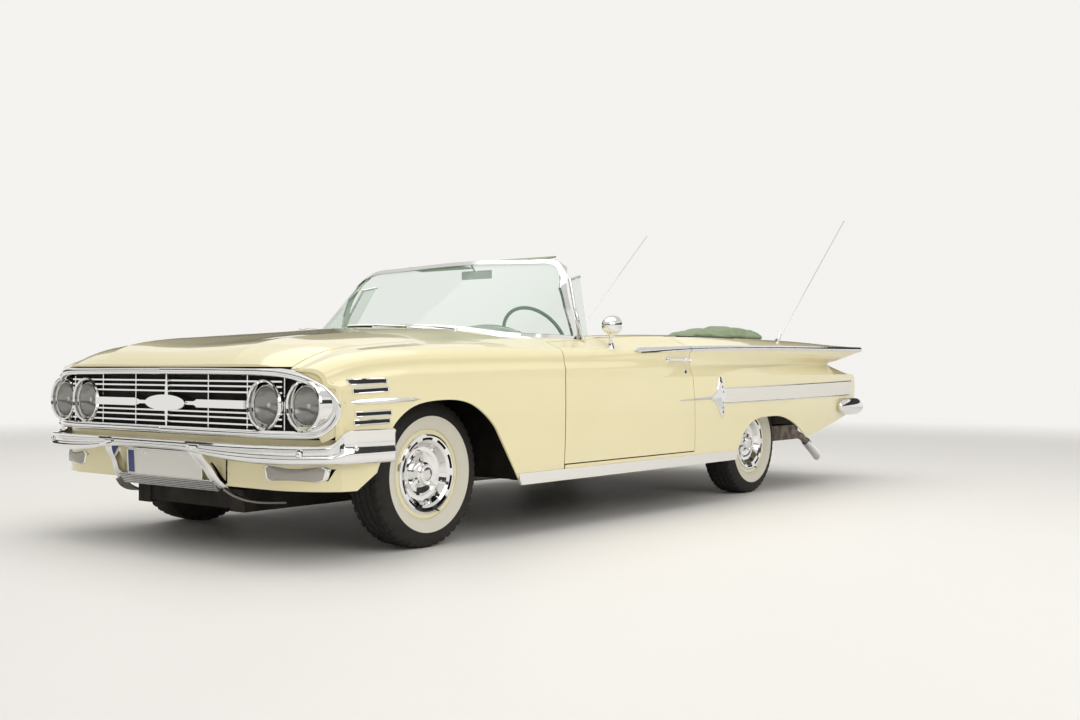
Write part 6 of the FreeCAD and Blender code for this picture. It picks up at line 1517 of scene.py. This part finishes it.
def drawn_in(profile, inset):
    """Profile moved towards its middle by about an inset."""
    middle = middle_of(profile)
    drawn = []
    for p in profile:
        arm = Vector(p) - middle
        drawn.append((middle + arm * max(0.0, (arm.length - inset) / arm.length)).to_tuple())
    return drawn


# Bench profiles, as (x, z)
FRONT_CUSHION = ((-0.050, 0.438), (0.420, 0.438), (0.468, 0.450), (0.490, 0.478), (0.494, 0.520),
                 (0.488, 0.552), (0.466, 0.580),
                 (0.436, 0.595), (0.380, 0.594), (0.250, 0.582), (0.080, 0.572), (-0.030, 0.566),
                 (-0.050, 0.540))
FRONT_BACK = ((-0.062, 0.580), (0.030, 0.580), (0.058, 0.600), (0.072, 0.650), (0.062, 0.740),
              (0.040, 0.820), (0.014, 0.900),
              (-0.014, 0.960), (-0.040, 0.986), (-0.076, 0.994), (-0.108, 0.984), (-0.116, 0.950),
              (-0.100, 0.850), (-0.080, 0.700))
REAR_CUSHION = ((-0.910, 0.510), (-0.540, 0.510), (-0.498, 0.520), (-0.484, 0.545), (-0.488, 0.580),
                (-0.512, 0.602), (-0.560, 0.609),
                (-0.700, 0.600), (-0.880, 0.585), (-0.915, 0.560))
REAR_BACK = ((-0.935, 0.600), (-0.850, 0.596), (-0.810, 0.620), (-0.806, 0.680), (-0.826, 0.780),
             (-0.858, 0.880), (-0.890, 0.945),
             (-0.920, 0.968), (-0.955, 0.972), (-0.984, 0.955), (-0.988, 0.900), (-0.965, 0.750))
SEAM_PITCH = 0.062
BENCH_VOXEL = 0.0095


def bench_pad(name, profile, low_y, high_y, insert, upright, node):
    """One pad of a bench: swollen, with a pleated insert between plain bolsters."""
    mesh_piece = pad_block(drawn_in(profile, 0.010), low_y + 0.008, high_y - 0.008, 0.035)
    obj = make(name, mesh_piece, ["sage_vinyl", "mint_vinyl"])
    swollen(obj, BENCH_VOXEL, 0.024)
    first, last, start, end = insert
    axis = 2 if upright else 0

    def depth(co, normal):
        facing = normal.x if upright else normal.z
        if facing < 0.15:
            return 0.0
        if not (start <= co[axis] <= end and first <= co.y <= last):
            edge = min(abs(co.y - first), abs(co.y - last)) if start <= co[axis] <= end else 1.0
            cross = min(abs(co[axis] - start), abs(co[axis] - end)) if first <= co.y <= last else 1.0
            return groove(min(edge, cross), 0.006, 0.007)
        pleat = abs((co.y - first + SEAM_PITCH / 2) % SEAM_PITCH - SEAM_PITCH / 2)
        rim = min(abs(co[axis] - start), abs(co[axis] - end), abs(co.y - first), abs(co.y - last))
        return groove(pleat, 0.007, 0.0075) + groove(rim, 0.006, 0.006)

    press(obj, depth)
    mesh = obj.data
    picks = []
    for face in mesh.polygons:
        c, n = face.center, face.normal
        facing = n.x if upright else n.z
        picks.append(1 if facing > 0.15 and start <= c[axis] <= end and first <= c.y <= last else 0)
    mesh.polygons.foreach_set("material_index", picks)
    mesh.shade_smooth()
    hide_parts(node)
    return obj


def seat_base():
    """Risers under the front bench with a bright side shield."""
    piece = Piece()
    for _, side in SIDES:
        rows = []
        for x in (-0.005, 0.0, 0.20, 0.42, 0.425):
            inset = 0.004 if x in (-0.005, 0.425) else 0.0
            rows.append([Vector((x, side * (0.175 + inset), 0.306)),
                         Vector((x, side * (0.555 - inset), 0.306)),
                         Vector((x, side * (0.558 - inset), 0.430)),
                         Vector((x, side * (0.172 + inset), 0.430))])
        piece.skin(rows, 0)
        rows = []
        for k in range(13):
            x = -0.040 + 0.520 * k / 12
            rows.append([Vector((x, side * 0.668, 0.440)), Vector((x, side * 0.694, 0.444)),
                         Vector((x, side * 0.697, 0.452)),
                         Vector((x, side * 0.697, 0.474)), Vector((x, side * 0.694, 0.480)),
                         Vector((x, side * 0.668, 0.478))])
        piece.skin(rows, 1)
    obj = make("seat_risers", piece, ["sage_enamel", "stainless"])
    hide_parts("seat_front")


def seats():
    """The pads of both benches and the risers of the front one."""
    bench_pad("front_cushion", FRONT_CUSHION, -0.690, 0.690, (-0.585, 0.585, 0.010, 0.400), False,
              "seat_front")
    bench_pad("front_back_left", FRONT_BACK, 0.004, 0.678, (0.060, 0.585, 0.640, 0.900), True, "seat_front")
    bench_pad("front_back_right", FRONT_BACK, -0.678, -0.004, (-0.585, -0.060, 0.640, 0.900), True,
              "seat_front")
    bench_pad("rear_cushion", REAR_CUSHION, -0.585, 0.585, (-0.500, 0.500, -0.860, -0.560), False,
              "seat_rear")
    bench_pad("rear_back", REAR_BACK, -0.585, 0.585, (-0.500, 0.500, 0.650, 0.880), True, "seat_rear")
    seat_base()


def ridges(co, scale, stretch):
    """Long soft folds: one minus the size of a stretched noise, raised to sharpen it."""
    p = Vector((co.x * stretch[0], co.y * stretch[1], co.z * stretch[2])) * scale
    return max(0.0, 1 - abs(soft_noise(p)) * 2.6) ** 2


# The cover's foot, how much of its bulk stays on the right and how much overall, and its lengthwise pull
BOOT_FOOT = 0.955
BOOT_SUNK = 0.35
BOOT_LOWERED = 0.84
BOOT_MIDDLE = -1.03
BOOT_DRAWN = 0.88
SNAP = [(0.0, 0.0045), (0.004, 0.0042), (0.0065, 0.0025), (0.0075, -0.001)]


def boot_cover():
    """Vinyl cover over the folded top: swollen from its solid, then creased, with snaps along its sides and
    back.
    """
    mesh = pad_copy("boot_cover", "top_boot", 0.010)
    obj = new_object("boot_cover", mesh, ["boot_vinyl"])
    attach(obj, "car")
    swollen(obj, 0.0115, 0.026, 3.0)

    def depth(co, normal):
        if normal.z < -0.2:
            return 0.0
        fold = ridges(co, 1.0, (3.2, 7.5, 3.0)) * 0.010 + ridges(co + Vector((3.1, 1.7, 0)), 1.0,
                                                                 (9.0, 4.0, 5.0)) * 0.006
        hollow = 0.016 * math.exp(-((co.x + 0.90) / 0.13) ** 2) * (1 if abs(co.y) > 0.55 else 0.3)
        return fold + hollow - 0.004

    press(obj, depth)
    for vertex in obj.data.vertices:
        bulk = BOOT_SUNK + (1 - BOOT_SUNK) * min(1.0, max(0.0, (vertex.co.y - 0.30) / 0.28))
        if vertex.co.z > BOOT_FOOT:
            vertex.co.z = BOOT_FOOT + (vertex.co.z - BOOT_FOOT) * bulk * BOOT_LOWERED
        vertex.co.x = BOOT_MIDDLE + (vertex.co.x - BOOT_MIDDLE) * BOOT_DRAWN
    obj.data.shade_smooth()
    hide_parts("top_boot")
    piece = Piece()
    tree = BVHTree.FromPolygons([v.co.copy() for v in obj.data.vertices],
                                [list(p.vertices) for p in obj.data.polygons])
    for _, side in SIDES:
        for x in (-0.560, -0.760, -0.960, -1.160, -1.340):
            place, normal = hit(tree, (x, side * 1.2, 0.962), (0, -side, 0), 0.0)
            piece.lathe(SNAP, placement(place, normal), 18)
    for k in range(9):
        y = -0.56 + 0.14 * k
        place, normal = hit(tree, (-1.9, y, 0.975), (1, 0, 0), 0.0)
        piece.lathe(SNAP, placement(place, normal), 18)
    make("boot_snaps", piece, ["chrome"])


# Rear of the car

def tail_lamps():
    """Three round lamps a side: two red and a clear one between, each domed with a ringed boss."""
    piece = Piece()
    low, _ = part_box("tail_lamps")
    for _, side in SIDES:
        for k, y in enumerate((0.692, 0.780, 0.868)):
            place = placement((low[0] + 0.018, side * y, 0.655), (-1, 0, 0))
            piece.lathe([(0.0410, -0.008), (0.0412, 0.012), (0.0395, 0.0175), (0.0365, 0.0180),
                         (0.0345, 0.0150),
                         (0.0335, 0.010)], place, 56, 0)
            slot = 2 if k == 1 else 1
            piece.lathe([(0.0337, 0.010), (0.0320, 0.0165), (0.0250, 0.0215), (0.0150, 0.0245),
                         (0.0135, 0.0245)], place, 56, slot)
            piece.lathe([(0.0135, 0.0245), (0.0120, 0.0275), (0.0070, 0.0285), (0.0, 0.0288)], place, 40, 0)
    obj = make("tail_lamp_set", piece, ["chrome", "red_lens", "parking_lens"])
    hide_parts("tail_lamps")


# Rear bumper: its line in plan, its outline as (back, height),
# and the stations of its end pods as (x, y, half width, half height)
REAR_PATH = ((-2.672, 0.0), (-2.670, 0.20), (-2.666, 0.40), (-2.660, 0.58), (-2.650, 0.76), (-2.625, 0.86),
             (-2.575, 0.935),
             (-2.500, 0.976), (-2.400, 0.995), (-2.330, 1.002), (-2.300, 1.003))
REAR_SECTION = ((0.024, 0.572), (0.010, 0.5765), (0.003, 0.571), (0.0, 0.556), (0.001, 0.536),
                (0.0045, 0.522), (0.0045, 0.516),
                (0.001, 0.502), (0.002, 0.488), (0.010, 0.477), (0.024, 0.477))
POD = ((-2.232, 0.982, 0.004, 0.006), (-2.245, 0.982, 0.020, 0.026), (-2.290, 0.982, 0.034, 0.042),
       (-2.370, 0.982, 0.044, 0.051),
       (-2.470, 0.978, 0.048, 0.053), (-2.570, 0.964, 0.048, 0.051), (-2.650, 0.944, 0.042, 0.044),
       (-2.705, 0.926, 0.028, 0.030),
       (-2.724, 0.918, 0.006, 0.006))


def rear_bumper():
    """Rounded rear blade with a tapered pod at each end, its lower pan and bolts."""
    piece = Piece()
    for _, sign in SIDES:
        path = smooth_path([Vector((x, y, 0)) for x, y in REAR_PATH], 7)
        rows = []
        for i, point in enumerate(path):
            ahead = heading(path, i).normalized()
            out = Vector((-ahead.y, ahead.x, 0))
            if out.x > 0 and point.y < 0.5:
                out = -out
            t = i / (len(path) - 1)
            squeeze = 1.0 if t < 0.90 else math.sqrt(max(0.0, 1 - ((t - 0.90) / 0.10) ** 2)) * 0.80 + 0.20
            row = []
            for back, z in REAR_SECTION:
                p = point - out * back * squeeze
                row.append(Vector((p.x, sign * p.y, 0.526 + (z - 0.526) * squeeze)))
            rows.append(row)
        piece.skin(rows, 0)
        rows = []
        for x, y, half_y, half_z in POD:
            rows.append([Vector((x, sign * (y + half_y * math.cos(a)),
                                 0.524 + half_z * math.sin(a) * (1.0 - 0.12 * math.cos(2 * a))))
                         for a in [math.tau * k / 28 for k in range(28)]])
        piece.skin(smooth_rows(rows, 5), 0)
        for y in (0.30, 0.62):
            place = placement((-2.668, sign * y, 0.545), (-1, 0, 0))
            piece.lathe([(0.0, 0.0075), (0.006, 0.0070), (0.0105, 0.0045), (0.0120, -0.004)], place, 24, 0)
    rows = []
    for z, x in ((0.486, -2.650), (0.470, -2.658), (0.430, -2.658), (0.396, -2.652), (0.386, -2.640),
                 (0.388, -2.636),
                 (0.430, -2.648), (0.484, -2.644)):
        rows.append([Vector((x, y, z)) for y in (-0.638, -0.45, -0.30, 0.0, 0.30, 0.45, 0.638)])
    piece.skin([list(r) for r in zip(*rows)], 1)
    obj = make("rear_bumper_blade", piece, ["chrome", "stainless"], sharp=50.0)
    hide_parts("bumper_rear")


def exhaust_tip():
    """Bright flared end on the tail pipe, cut on the slant."""
    piece = Piece()
    start, end = Vector((-2.290, 0.700, 0.274)), Vector((-2.472, 0.700, 0.166))
    place = placement(start, end - start, (0, 1, 0))
    length = (end - start).length
    loops = []
    for t, r in ((0.0, 0.0275), (0.02, 0.0300), (0.5, 0.0305), (0.8, 0.0315), (1.0, 0.0330), (1.0, 0.0300),
                 (0.3, 0.0280)):
        slant = 0.10 if t > 0.6 else 0.0
        loops.append([place @ Vector((r * math.cos(a), r * math.sin(a),
                                      length * t * (1 + slant * math.sin(a))))
                      for a in [math.tau * k / 32 for k in range(32)]])
    piece.skin(loops, [0] * 32, caps=False)
    make("exhaust_tip", piece, ["chrome"])


def rear_end():
    """Tail lamps, rear bumper and exhaust tip."""
    tail_lamps()
    rear_bumper()
    exhaust_tip()


# Camera, floor and light

CAMERA_PLACE = (5.70702, 4.43796, 0.77954)
CAMERA_TURN = (90.4559, -0.1464, 127.491)
CAMERA_LENS = 40.10


def set_camera():
    """Camera at the place the photo was taken from."""
    data = bpy.data.cameras.new("camera")
    data.lens = CAMERA_LENS
    data.sensor_width = 36.0
    data.clip_start = 0.05
    data.clip_end = 200.0
    camera = bpy.data.objects.new("camera", data)
    camera.location = CAMERA_PLACE
    camera.rotation_euler = [math.radians(a) for a in CAMERA_TURN]
    bpy.context.scene.collection.objects.link(camera)
    bpy.context.scene.camera = camera


# Studio in metres: where the wall's even tone fades in, the flat floor and the curve up to the wall
WALL_TONE = (0.905, 0.893, 0.872, 1)
WALL_STARTS, WALL_ENDS = 7.5, 13.0
FLOOR_RADIUS, CURVE = 13.0, 2.5
AROUND = 96
WORLD_STRENGTH, CEILING_POWER, LEFT_POWER = 0.80, 190.0, 130.0


def seen_directly(tree):
    """1 for camera, glossy and transmission rays, else 0."""
    path = tree.nodes.new("ShaderNodeLightPath")
    direct = math_node(tree, "ADD", path.outputs["Is Camera Ray"], path.outputs["Is Glossy Ray"], True)
    return math_node(tree, "ADD", direct, path.outputs["Is Transmission Ray"], True)


def far_from_car(tree, shader):
    """Far parts of the sheet show one even pale tone."""
    place = tree.nodes.new("ShaderNodeNewGeometry")
    flat = tree.nodes.new("ShaderNodeVectorMath")
    flat.operation = "MULTIPLY"
    flat.inputs[1].default_value = (1, 1, 0)
    wire(tree, place.outputs["Position"], flat.inputs[0])
    reach = tree.nodes.new("ShaderNodeVectorMath")
    reach.operation = "LENGTH"
    wire(tree, flat.outputs["Vector"], reach.inputs[0])
    fade = tree.nodes.new("ShaderNodeMapRange")
    fade.interpolation_type = "SMOOTHSTEP"
    fade.inputs["From Min"].default_value = WALL_STARTS
    fade.inputs["From Max"].default_value = WALL_ENDS
    wire(tree, reach.outputs["Value"], fade.inputs["Value"])
    glow = tree.nodes.new("ShaderNodeEmission")
    glow.inputs["Color"].default_value = WALL_TONE
    blend = tree.nodes.new("ShaderNodeMixShader")
    wire(tree, math_node(tree, "MULTIPLY", fade.outputs["Result"], seen_directly(tree)), blend.inputs["Fac"])
    wire(tree, shader.outputs["BSDF"], blend.inputs[1])
    wire(tree, glow.outputs["Emission"], blend.inputs[2])
    wire(tree, blend.outputs["Shader"], tree.nodes["Material Output"].inputs["Surface"])


def studio_sheet():
    """Pale floor that curves up into a pale wall far behind the car, all round."""
    mesh = bpy.data.meshes.new("studio_floor")
    bm = bmesh.new()
    profile = [(6.0, 0.0), (11.0, 0.0), (FLOOR_RADIUS, 0.0)]
    for i in range(1, 13):
        a = math.radians(7.5 * i)
        profile.append((FLOOR_RADIUS + CURVE * math.sin(a), CURVE - CURVE * math.cos(a)))
    profile += [(15.5, 6.0), (15.5, 9.0)]
    centre = bm.verts.new((0, 0, 0))
    rings = []
    for r, z in profile:
        rings.append([bm.verts.new((r * math.cos(math.tau * k / AROUND), r * math.sin(math.tau * k / AROUND),
                                    z))
                      for k in range(AROUND)])
    for k in range(AROUND):
        n = (k + 1) % AROUND
        bm.faces.new((centre, rings[0][k], rings[0][n]))
        for low, high in zip(rings, rings[1:]):
            bm.faces.new((low[k], high[k], high[n], low[n]))
    for face in bm.faces:
        face.smooth = True
    bm.to_mesh(mesh)
    bm.free()
    material, tree, shader = new_material("studio_paint", Specular_IOR_Level=0.25)
    toned(tree, shader, (0.865, 0.850, 0.825, 1), 0.03, 0.6, 0.50, 0.0)
    far_from_car(tree, shader)
    return new_object("studio_floor", mesh, [material])


RING_RADIUS, RING_LOW, RING_HIGH = 9.5, 1.9, 4.2


def dark_ring():
    """Dark band round the studio that only gloss can see, so that metal and paint show their curves."""
    piece = Piece()
    flat = Matrix.Identity(4)
    piece.skin([oval(flat, RING_RADIUS, RING_RADIUS, z, AROUND) for z in (RING_LOW, RING_HIGH)], 0,
               caps=False)
    mesh = bpy.data.meshes.new("dark_ring")
    mesh.from_pydata([p.to_tuple() for p in piece.points], [], piece.faces)
    material, tree, shader = new_material("ring_felt", Roughness=1.0, Specular_IOR_Level=0.0)
    cloth = noise(tree, object_point(tree), 2.0, 3.0)
    wire(tree, ramp(tree, cloth, [(0.3, 0.05), (0.7, 0.08)]), shader.inputs["Base Color"])
    ring = new_object("dark_ring", mesh, [material])
    ring.visible_camera = False
    ring.visible_diffuse = False
    ring.visible_transmission = False
    ring.visible_shadow = False
    return ring


def softbox(name, place, aim, width, depth, power):
    """Rectangular area light that faces a point."""
    data = bpy.data.lights.new(name, "AREA")
    data.shape = "RECTANGLE"
    data.size = width
    data.size_y = depth
    data.energy = power
    data.color = (1.0, 0.985, 0.96)
    light = bpy.data.objects.new(name, data)
    light.location = place
    light.rotation_euler = (Vector(aim) - Vector(place)).to_track_quat("-Z", "Y").to_euler()
    bpy.context.scene.collection.objects.link(light)
    return light


def light_studio():
    """Even pale world with a panel overhead and one on the car's left."""
    world = bpy.data.worlds.new("studio_air")
    bpy.context.scene.world = world
    world.use_nodes = True
    tree = world.node_tree
    back = tree.nodes["Background"]
    coords = tree.nodes.new("ShaderNodeTexCoord")
    split = tree.nodes.new("ShaderNodeSeparateXYZ")
    wire(tree, coords.outputs["Generated"], split.inputs[0])
    sky = ramp(tree, split.outputs["Z"], [(0.0, (0.55, 0.54, 0.52, 1)), (0.25, (0.80, 0.79, 0.77, 1)),
                                          (1.0, (1.0, 1.0, 0.99, 1))])
    wire(tree, sky, back.inputs["Color"])
    back.inputs["Strength"].default_value = WORLD_STRENGTH
    softbox("ceiling_panel", (0.5, 0.0, 5.6), (0.0, 0.0, 0.0), 9.0, 6.0, CEILING_POWER)
    softbox("left_panel", (2.5, 8.0, 4.2), (0.0, 0.5, 0.5), 7.0, 3.5, LEFT_POWER)


def set_view():
    """Plain display of the colours."""
    bpy.context.scene.view_settings.view_transform = "Standard"


set_camera()
set_view()
light_studio()
studio_sheet()
dark_ring()
finish_nodes()
wheels()
side_trim()
headlamps()
surround_moulding()
front_bumper()
wipers()
outside_mirror()
antenna_feet()
gauge_hood()
gauges()
steering_parts()
pedals()
door_panels()
cockpit_edge()
seats()
boot_cover()
rear_end()
